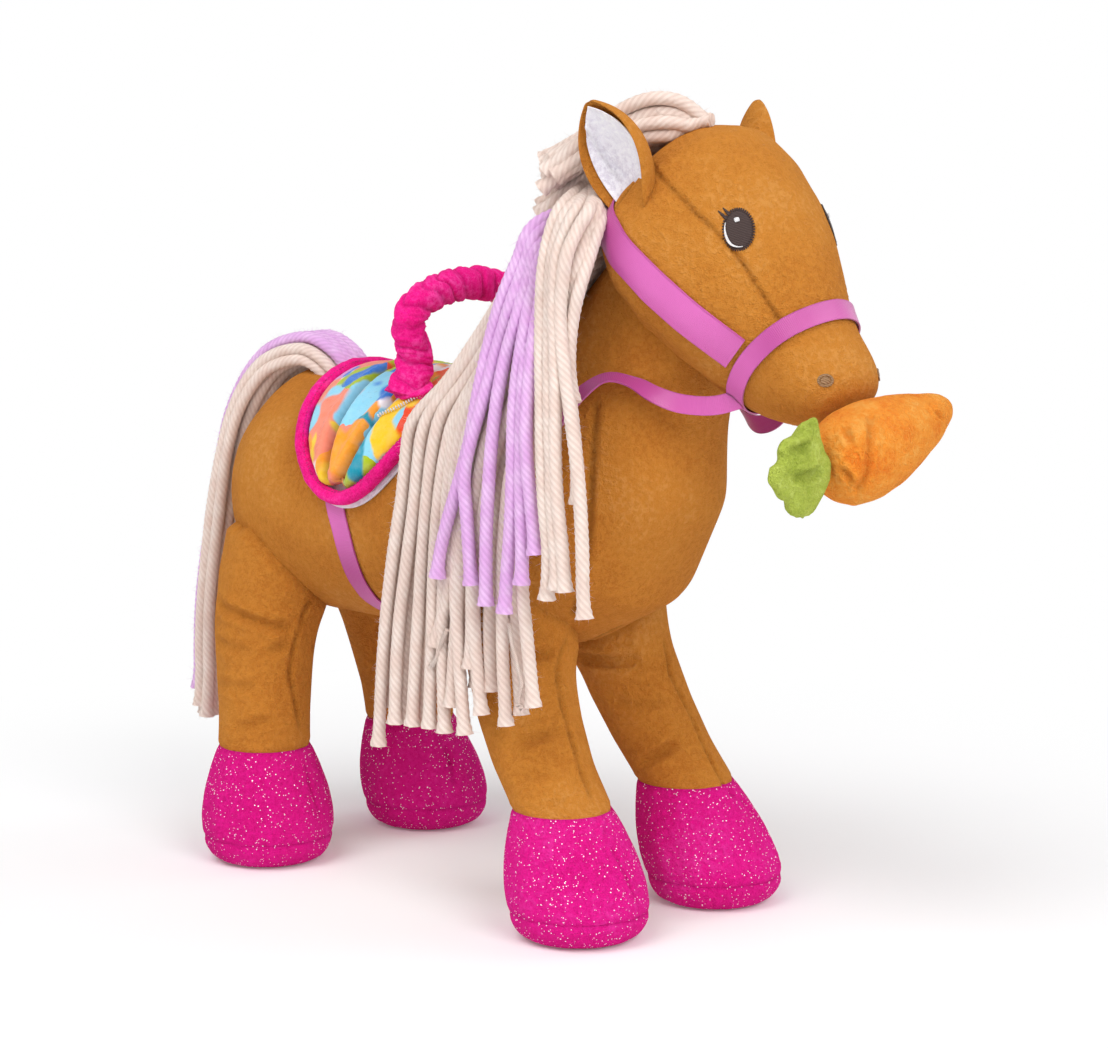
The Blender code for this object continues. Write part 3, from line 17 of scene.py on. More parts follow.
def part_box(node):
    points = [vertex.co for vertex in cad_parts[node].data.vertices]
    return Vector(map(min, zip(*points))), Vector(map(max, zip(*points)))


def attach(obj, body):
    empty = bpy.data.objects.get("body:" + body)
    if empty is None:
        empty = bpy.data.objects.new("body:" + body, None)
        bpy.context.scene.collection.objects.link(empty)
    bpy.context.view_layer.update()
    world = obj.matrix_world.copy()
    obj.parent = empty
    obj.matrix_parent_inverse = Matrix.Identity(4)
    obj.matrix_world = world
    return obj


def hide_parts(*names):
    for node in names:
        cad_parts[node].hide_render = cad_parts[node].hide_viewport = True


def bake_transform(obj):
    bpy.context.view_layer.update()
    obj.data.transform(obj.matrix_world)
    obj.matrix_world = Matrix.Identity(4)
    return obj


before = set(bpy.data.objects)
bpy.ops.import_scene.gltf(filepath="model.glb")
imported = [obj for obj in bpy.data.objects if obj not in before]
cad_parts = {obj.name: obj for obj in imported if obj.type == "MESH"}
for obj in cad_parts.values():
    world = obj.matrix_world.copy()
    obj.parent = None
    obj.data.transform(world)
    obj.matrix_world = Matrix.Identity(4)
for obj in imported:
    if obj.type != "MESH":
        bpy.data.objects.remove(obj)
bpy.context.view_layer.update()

Colour = tuple[float, float, float, float]
Pixels = Sequence[tuple[float, float]]
Millimetres = Sequence[tuple[float, float, float]]

log = logging.getLogger("plush_horse")

MM = 0.001
UP = Vector((0, 0, 1))
LEFT = Vector((0, 1, 0))
FORWARD = Vector((1, 0, 0))
FAR = 1.0
RUMP_X = -0.146
TOY_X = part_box("body_skin")[0].x - RUMP_X
SEED = 7


class Side(Enum):
    """The horse's own sides, as the sign of Y."""

    RIGHT = -1
    LEFT = 1

    @property
    def word(self) -> str:
        """The side's name as the frame's nodes spell it."""
        return self.name.lower()


class Body(Enum):
    """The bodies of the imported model."""

    HORSE = "horse"
    HANDLE = "handle"
    MANE = "mane"
    TAIL = "tail"
    CARROT = "carrot"


def toy(x: float, y: float, z: float) -> Vector:
    """A point given in millimetres in the toy's own frame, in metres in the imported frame."""
    return Vector((x * MM + TOY_X, y * MM, z * MM))


def paint(red: int, green: int, blue: int) -> Colour:
    """A colour of 0 to 255 per channel, as the shader wants it.

    Args:
        red: Its red.
        green: Its green.
        blue: Its blue.

    Returns:
        The linear colour, opaque.
    """

    def linear(level: int) -> float:
        """A level as a linear share."""
        share = level / 255
        return share / 12.92 if share <= 0.04045 else ((share + 0.055) / 1.055) ** 2.4

    return linear(red), linear(green), linear(blue), 1.0


def smooth_path(points: Sequence[Vector], steps: int, closed: bool = False) -> list[Vector]:
    """A curve through points, with even steps along it.

    Args:
        points: The points that the curve passes.
        steps: The number of steps from its start to its end.
        closed: Whether the curve returns to its first point.

    Returns:
        steps + 1 points, or steps points where the curve is closed.
    """
    count = len(points)
    spans = count if closed else count - 1
    fine: list[Vector] = []
    for span in range(spans):
        if closed:
            a, b, c, d = (points[(span + k) % count] for k in (-1, 0, 1, 2))
        else:
            a, b, c, d = (points[min(max(span + k, 0), count - 1)] for k in (-1, 0, 1, 2))
        for step in range(12):
            t = step / 12
            bend = (3 * b - a - 3 * c + d) * t**3 + (2 * a - 5 * b + 4 * c - d) * t**2
            fine.append((bend + (c - a) * t) / 2 + b)
    fine.append(points[0] if closed else points[-1])
    lengths = [0.0]
    for before, after in zip(fine, fine[1:]):
        lengths.append(lengths[-1] + (after - before).length)
    found: list[Vector] = []
    at = 0
    for step in range(steps + (0 if closed else 1)):
        goal = lengths[-1] * step / steps
        while at < len(fine) - 2 and lengths[at + 1] < goal:
            at += 1
        span_length = max(lengths[at + 1] - lengths[at], 1e-9)
        found.append(fine[at].lerp(fine[at + 1], (goal - lengths[at]) / span_length))
    return found


def path_length(points: Sequence[Vector]) -> float:
    """The length of a line through points."""
    return sum((b - a).length for a, b in zip(points, points[1:]))


def run_at(points: Sequence[Vector], at: int, closed: bool = False) -> Vector:
    """The direction of a path at one of its points.

    Args:
        points: The path.
        at: Which of its points.
        closed: Whether it joins up.

    Returns:
        The direction, one long.
    """
    count = len(points)
    if closed:
        return (points[(at + 1) % count] - points[at - 1]).normalized()
    return (points[min(at + 1, count - 1)] - points[max(at - 1, 0)]).normalized()


class Surface:
    """The outside of one or more objects, for laying other pieces on."""

    def __init__(self, *objects: bpy.types.Object) -> None:
        """Reads the objects' meshes as they are now."""
        points: list[Vector] = []
        faces: list[list[int]] = []
        for thing in objects:
            start = len(points)
            points += [thing.matrix_world @ v.co for v in thing.data.vertices]
            faces += [[start + k for k in p.vertices] for p in thing.data.polygons]
        self.tree = BVHTree.FromPolygons(points, faces)

    def outermost(self, centre: Vector, aim: Vector) -> Vector:
        """The point of the surface that lies farthest from a centre, in a direction.

        Args:
            centre: A point inside the object.
            aim: The direction out of it.

        Returns:
            The point, or the centre where the direction misses the surface.
        """
        aim = aim.normalized()
        hit = self.tree.ray_cast(centre + aim * FAR, -aim)[0]
        return hit if hit else centre.copy()

    def drop(self, start: Vector, aim: Vector) -> Vector | None:
        """Where a ray from a start first meets the surface, or None."""
        return self.tree.ray_cast(start, aim.normalized())[0]

    def nearest(self, point: Vector) -> tuple[Vector, Vector, float]:
        """The nearest point of the surface, its outward normal and its distance."""
        spot, normal, _, distance = self.tree.find_nearest(point)
        return spot, normal, distance

    def lift(self, point: Vector, gap: float) -> Vector:
        """A point moved so that it is at least a gap outside the surface.

        Args:
            point: The point.
            gap: The least gap, in metres.

        Returns:
            The point, moved where it needs to be.
        """
        spot, normal, _ = self.nearest(point)
        height = (point - spot).dot(normal)
        return point if height >= gap else spot + normal * gap


@dataclass(frozen=True)
class PhotoCamera:
    """The camera at the viewing angle of the photograph."""

    azimuth: float = math.radians(44.8)
    elevation: float = math.radians(8.2)
    place: tuple[float, float, float] = (917.57, -883.85, 338.39)
    focal_pixels: float = 2995
    frame_size: tuple[int, int] = (1108, 1048)
    sensor: float = 36.0

    @property
    def back(self) -> Vector:
        """The direction from the scene to the camera."""
        flat = math.cos(self.elevation)
        return Vector(
            (math.sin(self.azimuth) * flat, -math.cos(self.azimuth) * flat, math.sin(self.elevation))
        )

    def build(self) -> bpy.types.Object:
        """Makes the camera and gives it to the scene."""
        data = bpy.data.cameras.new("photo_camera")
        data.sensor_width = self.sensor
        data.lens = self.focal_pixels / self.frame_size[0] * self.sensor
        data.clip_end = 20
        camera = bpy.data.objects.new("photo_camera", data)
        camera.location = toy(*self.place)
        camera.rotation_euler = (-self.back).to_track_quat("-Z", "Y").to_euler()
        bpy.context.scene.collection.objects.link(camera)
        bpy.context.scene.camera = camera
        return camera

    def ray(self, across: float, down: float) -> Vector:
        """The direction of sight through a pixel of the photograph's frame.

        Args:
            across: Pixels from the left.
            down: Pixels from the top.

        Returns:
            The direction of sight.
        """
        right = Vector((math.cos(self.azimuth), math.sin(self.azimuth), 0))
        above = self.back.cross(right)
        width, height = self.frame_size
        aim = right * ((across - width / 2) / self.focal_pixels)
        aim += above * ((height / 2 - down) / self.focal_pixels)
        return (aim - self.back).normalized()

    def on(self, surface: Surface, pixels: Pixels) -> list[Vector]:
        """The points of a surface that show at pixels.

        Args:
            surface: What the line is seen on.
            pixels: Places in the photograph's frame.

        Returns:
            One point for each pixel that shows the surface.
        """
        start = toy(*self.place)
        hits = [surface.drop(start, self.ray(*pixel)) for pixel in pixels]
        return [hit for hit in hits if hit]


CAMERA = PhotoCamera()


# Trees of nodes


class Sketch:
    """Adds and joins the nodes of one tree."""

    def __init__(self, tree: bpy.types.NodeTree) -> None:
        """Takes the tree to work on."""
        self.tree = tree

    def add(self, kind: str, **settings: object) -> bpy.types.Node:
        """Adds a node with its settings.

        Args:
            kind: The node's type.
            settings: The node's properties.

        Returns:
            The node.
        """
        made = self.tree.nodes.new(kind)
        for key, value in settings.items():
            setattr(made, key, value)
        return made

    def feed(self, node: bpy.types.Node, **inputs: object) -> bpy.types.Node:
        """Joins sockets or gives values to a node's inputs, with _ for a space in their names.

        Args:
            node: The node.
            inputs: What each input gets.

        Returns:
            The node.
        """
        for key, value in inputs.items():
            self.give(node.inputs[key.replace("_", " ")], value)
        return node

    def give(self, socket: bpy.types.NodeSocket, value: object) -> None:
        """Joins a socket to an output, or sets its value.

        Args:
            socket: The input.
            value: An output, or a plain value.
        """
        if isinstance(value, bpy.types.NodeSocket):
            self.tree.links.new(value, socket)
        else:
            socket.default_value = value

    def math(self, operation: str, *values: object) -> bpy.types.NodeSocket:
        """The result of a sum on one to three values.

        Args:
            operation: The sum's name.
            values: The values.

        Returns:
            The result.
        """
        made = self.add("ShaderNodeMath", operation=operation)
        for socket, value in zip(made.inputs, values):
            self.give(socket, value)
        return made.outputs[0]

    def vector(self, operation: str, *values: object) -> bpy.types.Node:
        """A node that works on vectors.

        Args:
            operation: The sum's name.
            values: The values.

        Returns:
            The node.
        """
        made = self.add("ShaderNodeVectorMath", operation=operation)
        for socket, value in zip(made.inputs, values):
            self.give(socket, value)
        return made

    def mix(
        self, share: object, low: object, high: object, blend: str = "MIX"
    ) -> bpy.types.NodeSocket:
        """A colour between two others.

        Args:
            share: How much of the second colour.
            low: The first colour.
            high: The second colour.
            blend: The way they blend.

        Returns:
            The colour.
        """
        made = self.add("ShaderNodeMix", data_type="RGBA", blend_type=blend)
        for at, value in ((0, share), (6, low), (7, high)):
            self.give(made.inputs[at], value)
        return made.outputs[2]

    def fade(self, value: object, low: float, high: float) -> bpy.types.NodeSocket:
        """A value eased from 0 at low to 1 at high.

        Args:
            value: The value.
            low: Where it starts.
            high: Where it ends.

        Returns:
            The eased value.
        """
        made = self.add("ShaderNodeMapRange", interpolation_type="SMOOTHSTEP")
        self.feed(made, Value=value, From_Min=low, From_Max=high)
        return made.outputs[0]

    def noise(
        self, place: object, scale: float, detail: float = 2.0, rough: float = 0.55
    ) -> bpy.types.NodeSocket:
        """The value of a cloudy pattern.

        Args:
            place: The place that it reads.
            scale: Its fineness.
            detail: Its levels.
            rough: The strength of its finer levels.

        Returns:
            The value.
        """
        made = self.add("ShaderNodeTexNoise")
        self.feed(made, Vector=place, Scale=scale, Detail=detail, Roughness=rough)
        return made.outputs[0]

    def attribute(self, name: str) -> bpy.types.NodeSocket:
        """A number kept on the mesh."""
        return self.add("ShaderNodeAttribute", attribute_name=name).outputs["Fac"]

    def bump(
        self, height: object, depth: float, under: bpy.types.NodeSocket | None = None
    ) -> bpy.types.NodeSocket:
        """A bumped normal, laid over another one where that is given.

        Args:
            height: The height.
            depth: How deep it counts, in metres.
            under: A normal that lies under it.

        Returns:
            The normal.
        """
        made = self.add("ShaderNodeBump")
        self.feed(made, Height=height, Distance=depth, Strength=1.0)
        if under is not None:
            self.feed(made, Normal=under)
        return made.outputs[0]


def blank_material(name: str) -> tuple[bpy.types.Material, Sketch, bpy.types.Node]:
    """A new material, its tree and its shader.

    Args:
        name: The material's name.

    Returns:
        The material, its tree and its shader.
    """
    made = bpy.data.materials.new(name)
    made.use_nodes = True
    return made, Sketch(made.node_tree), made.node_tree.nodes["Principled BSDF"]


@dataclass(frozen=True)
class PlushFinish:
    """Short-pile plush, brushed into lighter and deeper patches, with painted shade in its creases, seams and
    joints.
    """

    name: str
    deep: Colour
    colour: Colour
    light: Colour
    patch_scale: float = 24.0
    pile_scale: float = 420.0
    nap_scale: float = 1500.0
    nap_depth: float = 0.0013
    sheen: float = 0.38
    crease_shade: float = 0.62

    def material(self) -> bpy.types.Material:
        """Builds the finish."""
        made, sketch, shader = blank_material(self.name)
        place = sketch.add("ShaderNodeTexCoord").outputs["Object"]
        patch = sketch.fade(sketch.noise(place, self.patch_scale, 2, 0.5), 0.30, 0.72)
        pile = sketch.fade(sketch.noise(place, self.pile_scale, 3, 0.65), 0.32, 0.70)
        nap = sketch.noise(place, self.nap_scale, 2, 0.75)
        tone = sketch.math("MULTIPLY_ADD", pile, 0.45, sketch.math("MULTIPLY", patch, 0.55))
        colour = sketch.mix(sketch.fade(tone, 0.0, 0.55), self.deep, self.colour)
        colour = sketch.mix(sketch.fade(tone, 0.5, 1.0), colour, self.light)
        speck = sketch.fade(nap, 0.35, 0.75)
        colour = sketch.mix(sketch.math("MULTIPLY", speck, 0.38), colour, self.light)
        # Painted shade: the crease attribute darkens grooves, folds and joints towards a darkened deep
        # colour.
        crease = sketch.attribute("crease")
        shade = sketch.math("MULTIPLY", crease, self.crease_shade)
        dark = tuple(level * 0.36 for level in self.deep[:3]) + (1.0,)
        colour = sketch.mix(shade, colour, dark)
        height = sketch.math("MULTIPLY_ADD", pile, 0.5, nap)
        normal = sketch.bump(height, self.nap_depth)
        sketch.feed(shader, Base_Color=colour, Roughness=0.95, Normal=normal)
        sketch.feed(shader, Specular_IOR_Level=0.12, Sheen_Weight=self.sheen)
        sketch.feed(shader, Sheen_Roughness=0.42, Sheen_Tint=self.light)
        return made


@dataclass(frozen=True)
class SatinFinish:
    """Woven satin ribbon, glossy along its length, with a corded edge on both sides."""

    name: str
    deep: Colour
    colour: Colour
    light: Colour

    def material(self) -> bpy.types.Material:
        """Builds the finish from the ribbon's own map: U across it, V metres along it."""
        made, sketch, shader = blank_material(self.name)
        layout = sketch.add("ShaderNodeUVMap", uv_map="ribbon").outputs[0]
        split = sketch.add("ShaderNodeSeparateXYZ")
        sketch.feed(split, Vector=layout)
        across, along = split.outputs[0], split.outputs[1]
        place = sketch.add("ShaderNodeTexCoord").outputs["Object"]
        sway = sketch.noise(place, 17, 1, 0.5)
        threads = sketch.math("SINE", sketch.math("MULTIPLY", along, 9000.0))
        edge = sketch.math("ABSOLUTE", sketch.math("SUBTRACT", across, 0.5))
        rim = sketch.fade(edge, 0.455, 0.485)
        colour = sketch.mix(sketch.fade(sway, 0.35, 0.65), self.deep, self.colour)
        # Painted sheen: the shine attribute lightens the ribbon towards its light colour; no piece of this
        # script stores it.
        painted_sheen = sketch.attribute("shine")
        colour = sketch.mix(painted_sheen, colour, self.light)
        colour = sketch.mix(sketch.math("MULTIPLY", rim, 0.45), colour, self.deep)
        height = sketch.math("MULTIPLY_ADD", rim, 3.0, threads)
        normal = sketch.bump(height, 0.00004)
        sketch.feed(shader, Base_Color=colour, Roughness=0.36, Normal=normal)
        sketch.feed(shader, Specular_IOR_Level=0.55, Sheen_Weight=0.25, Sheen_Roughness=0.3)
        return made


@dataclass(frozen=True)
class YarnFinish:
    """Plied yarn, with painted shade between its plies, and fine fibres along the twist."""

    name: str
    deep: Colour
    colour: Colour
    light: Colour

    def material(self) -> bpy.types.Material:
        """Builds the finish from the strand's ply attribute."""
        made, sketch, shader = blank_material(self.name)
        place = sketch.add("ShaderNodeTexCoord").outputs["Object"]
        ply = sketch.fade(sketch.attribute("ply"), -0.6, 0.5)
        cloud = sketch.fade(sketch.noise(place, 130, 3, 0.6), 0.35, 0.68)
        fibre = sketch.noise(place, 2300, 3, 0.75)
        colour = sketch.mix(cloud, self.colour, self.light)
        # Painted shade in the grooves between the plies.
        groove = sketch.math("MULTIPLY", sketch.math("SUBTRACT", 1.0, ply), 0.5)
        colour = sketch.mix(groove, colour, self.deep)
        colour = sketch.mix(sketch.math("MULTIPLY", fibre, 0.30), colour, self.light)
        normal = sketch.bump(fibre, 0.0005)
        sketch.feed(shader, Base_Color=colour, Roughness=0.9, Normal=normal)
        sketch.feed(shader, Specular_IOR_Level=0.15, Sheen_Weight=0.5, Sheen_Roughness=0.5)
        sketch.feed(shader, Sheen_Tint=self.light)
        return made


@dataclass(frozen=True)
class ThreadFinish:
    """Embroidery thread: close parallel ridges with a soft gloss, and a painted highlight on their tops."""

    name: str
    colour: Colour
    light: Colour
    lean: float = 0.0

    def material(self) -> bpy.types.Material:
        """Builds the finish with its ridges turned by the lean."""
        made, sketch, shader = blank_material(self.name)
        place = sketch.add("ShaderNodeTexCoord").outputs["Object"]
        turned = sketch.add("ShaderNodeMapping")
        sketch.feed(turned, Vector=place, Rotation=(self.lean, 0.35, 0.2))
        ridges = sketch.add("ShaderNodeTexWave", wave_type="BANDS", bands_direction="Z")
        sketch.feed(ridges, Vector=turned.outputs[0], Scale=480.0, Distortion=1.2, Detail=1.0)
        height = ridges.outputs["Fac"]
        # Painted highlight: the ridges' tops are lighter and their hollows darker.
        colour = sketch.mix(sketch.math("MULTIPLY", height, 0.6), self.colour, self.light)
        normal = sketch.bump(height, 0.00025)
        sketch.feed(shader, Base_Color=colour, Roughness=0.55, Normal=normal)
        sketch.feed(shader, Specular_IOR_Level=0.35)
        return made


@dataclass(frozen=True)
class GlitterFinish:
    """A small bright foil dot."""

    name: str
    colour: Colour

    def material(self) -> bpy.types.Material:
        """Builds the finish, with a painted glint that whitens some dots."""
        made, sketch, shader = blank_material(self.name)
        place = sketch.add("ShaderNodeTexCoord").outputs["Object"]
        # Painted glint: some dots are mixed towards white.
        painted_glint = sketch.fade(sketch.noise(place, 260, 1, 0.5), 0.35, 0.65)
        sketch.feed(shader, Base_Color=sketch.mix(painted_glint, self.colour, paint(255, 250, 252)))
        sketch.feed(shader, Roughness=0.28, Metallic=0.35, Specular_IOR_Level=0.8)
        return made


CARAMEL = PlushFinish(
    "caramel_plush", paint(194, 116, 38), paint(210, 134, 50), paint(222, 152, 74)
)
HOOF_PINK = PlushFinish(
    "hoof_plush", paint(220, 6, 124), paint(238, 16, 142), paint(246, 50, 164), crease_shade=0.3
)
HOT_PINK = PlushFinish(
    "pink_velvet", paint(214, 0, 106), paint(240, 8, 132), paint(255, 80, 174),
    nap_depth=0.0003, sheen=0.7, crease_shade=0.55,
)
WHITE = PlushFinish(
    "white_plush", paint(214, 208, 222), paint(240, 238, 246), paint(255, 255, 255),
    nap_depth=0.0004, crease_shade=0.35,
)
CARROT_ORANGE = PlushFinish(
    "carrot_plush", paint(240, 118, 28), paint(252, 152, 52), paint(255, 178, 86),
    patch_scale=60, crease_shade=0.5,
)
LEAF_GREEN = PlushFinish(
    "leaf_plush", paint(142, 158, 54), paint(166, 180, 72), paint(188, 202, 100),
    patch_scale=90, nap_scale=1000, nap_depth=0.0010,
)
ORCHID = SatinFinish(
    "orchid_satin", paint(176, 64, 140), paint(220, 104, 186), paint(242, 150, 214)
)
CREAM_YARN = YarnFinish(
    "cream_yarn", paint(202, 168, 152), paint(244, 220, 208), paint(252, 236, 226)
)
LILAC_YARN = YarnFinish(
    "lilac_yarn", paint(190, 126, 194), paint(234, 178, 236), paint(246, 206, 248)
)
EYE_THREAD = ThreadFinish("eye_thread", paint(52, 38, 36), paint(92, 72, 68))
WHITE_THREAD = ThreadFinish("white_thread", paint(232, 228, 230), paint(255, 255, 255))
TAN_THREAD = ThreadFinish("tan_thread", paint(140, 104, 72), paint(188, 152, 112), lean=0.8)
PINK_THREAD = ThreadFinish("pink_thread", paint(190, 6, 104), paint(232, 40, 150))
GLITTER = GlitterFinish("glitter_dots", paint(246, 205, 232))


# Meshes


def add_object(name: str, mesh: bpy.types.Mesh) -> bpy.types.Object:
    """Links a new object with a mesh.

    Args:
        name: The object's name.
        mesh: Its mesh.

    Returns:
        The object.
    """
    made = bpy.data.objects.new(name, mesh)
    bpy.context.scene.collection.objects.link(made)
    return made


def add_mesh(
    name: str, points: Iterable[Vector], faces: Iterable[Sequence[int]], smooth: bool = True
) -> bpy.types.Object:
    """Links a new object made of points and faces.

    Args:
        name: The object's name.
        points: Its points.
        faces: Its faces, as places among the points.
        smooth: Whether it is shaded smooth.

    Returns:
        The object.
    """
    mesh = bpy.data.meshes.new(name)
    mesh.from_pydata([tuple(p) for p in points], [], [tuple(f) for f in faces])
    mesh.validate()
    if smooth:
        mesh.shade_smooth()
    return add_object(name, mesh)


def read_points(thing: bpy.types.Object) -> np.ndarray:
    """The places of an object's vertices.

    Args:
        thing: The object.

    Returns:
        A row for each vertex.
    """
    found = np.zeros(len(thing.data.vertices) * 3, np.float32)
    thing.data.vertices.foreach_get("co", found)
    return found.reshape(-1, 3).astype(float)


def write_points(thing: bpy.types.Object, points: np.ndarray) -> None:
    """Moves an object's vertices."""
    thing.data.vertices.foreach_set("co", points.astype(np.float32).ravel())
    thing.data.update()


def read_normals(thing: bpy.types.Object) -> np.ndarray:
    """The outward directions at an object's vertices.

    Args:
        thing: The object.

    Returns:
        A row for each vertex.
    """
    found = np.zeros(len(thing.data.vertices) * 3, np.float32)
    thing.data.vertex_normals.foreach_get("vector", found)
    return found.reshape(-1, 3).astype(float)


def keep_number(thing: bpy.types.Object, name: str, values: np.ndarray) -> None:
    """Keeps a number for each vertex on the mesh."""
    store = thing.data.attributes.get(name) or thing.data.attributes.new(name, "FLOAT", "POINT")
    store.data.foreach_set("value", values.astype(np.float32))


def kept_number(thing: bpy.types.Object, name: str) -> np.ndarray:
    """A number kept for each vertex, or zeros.

    Args:
        thing: The object.
        name: The number's name.

    Returns:
        The numbers.
    """
    found = np.zeros(len(thing.data.vertices), np.float32)
    store = thing.data.attributes.get(name)
    if store:
        store.data.foreach_get("value", found)
    return found.astype(float)


def baked(thing: bpy.types.Object) -> bpy.types.Object:
    """Turns an object's modifiers into its plain mesh.

    Args:
        thing: The object.

    Returns:
        The same object.
    """
    bpy.context.view_layer.update()
    graph = bpy.context.evaluated_depsgraph_get()
    mesh = bpy.data.meshes.new_from_object(thing.evaluated_get(graph))
    thing.modifiers.clear()
    old = thing.data
    thing.data = mesh
    bpy.data.meshes.remove(old)
    mesh.name = thing.name
    return thing


def cleaned(thing: bpy.types.Object, reach: float = 1e-5) -> bpy.types.Object:
    """Merges an object's doubles and turns its faces outwards.

    Args:
        thing: The object.
        reach: How near doubles lie, in metres.

    Returns:
        The same object.
    """
    bm = bmesh.new()
    bm.from_mesh(thing.data)
    bmesh.ops.remove_doubles(bm, verts=bm.verts, dist=reach)
    bmesh.ops.recalc_face_normals(bm, faces=bm.faces)
    bm.to_mesh(thing.data)
    bm.free()
    thing.data.shade_smooth()
    return thing


def tube(
    name: str, rings: Sequence[Sequence[Vector]], closed: bool = False
) -> bpy.types.Object:
    """A closed solid through rings of points, with a flat fan at both ends.

    Args:
        name: The object's name.
        rings: Rings with as many points each.
        closed: Whether the last ring joins the first.

    Returns:
        The object.
    """
    sides = len(rings[0])
    points = [p for ring in rings for p in ring]
    faces = []
    count = len(rings)
    for r in range(count if closed else count - 1):
        low, high = r * sides, (r + 1) % count * sides
        for k in range(sides):
            after = (k + 1) % sides
            faces.append((low + k, low + after, high + after, high + k))
    if not closed:
        for ring, start in ((rings[0], 0), (rings[-1], (count - 1) * sides)):
            points.append(sum(ring, Vector()) / sides)
            tip = len(points) - 1
            faces += [(start + k, start + (k + 1) % sides, tip) for k in range(sides)]
    return cleaned(add_mesh(name, points, faces))


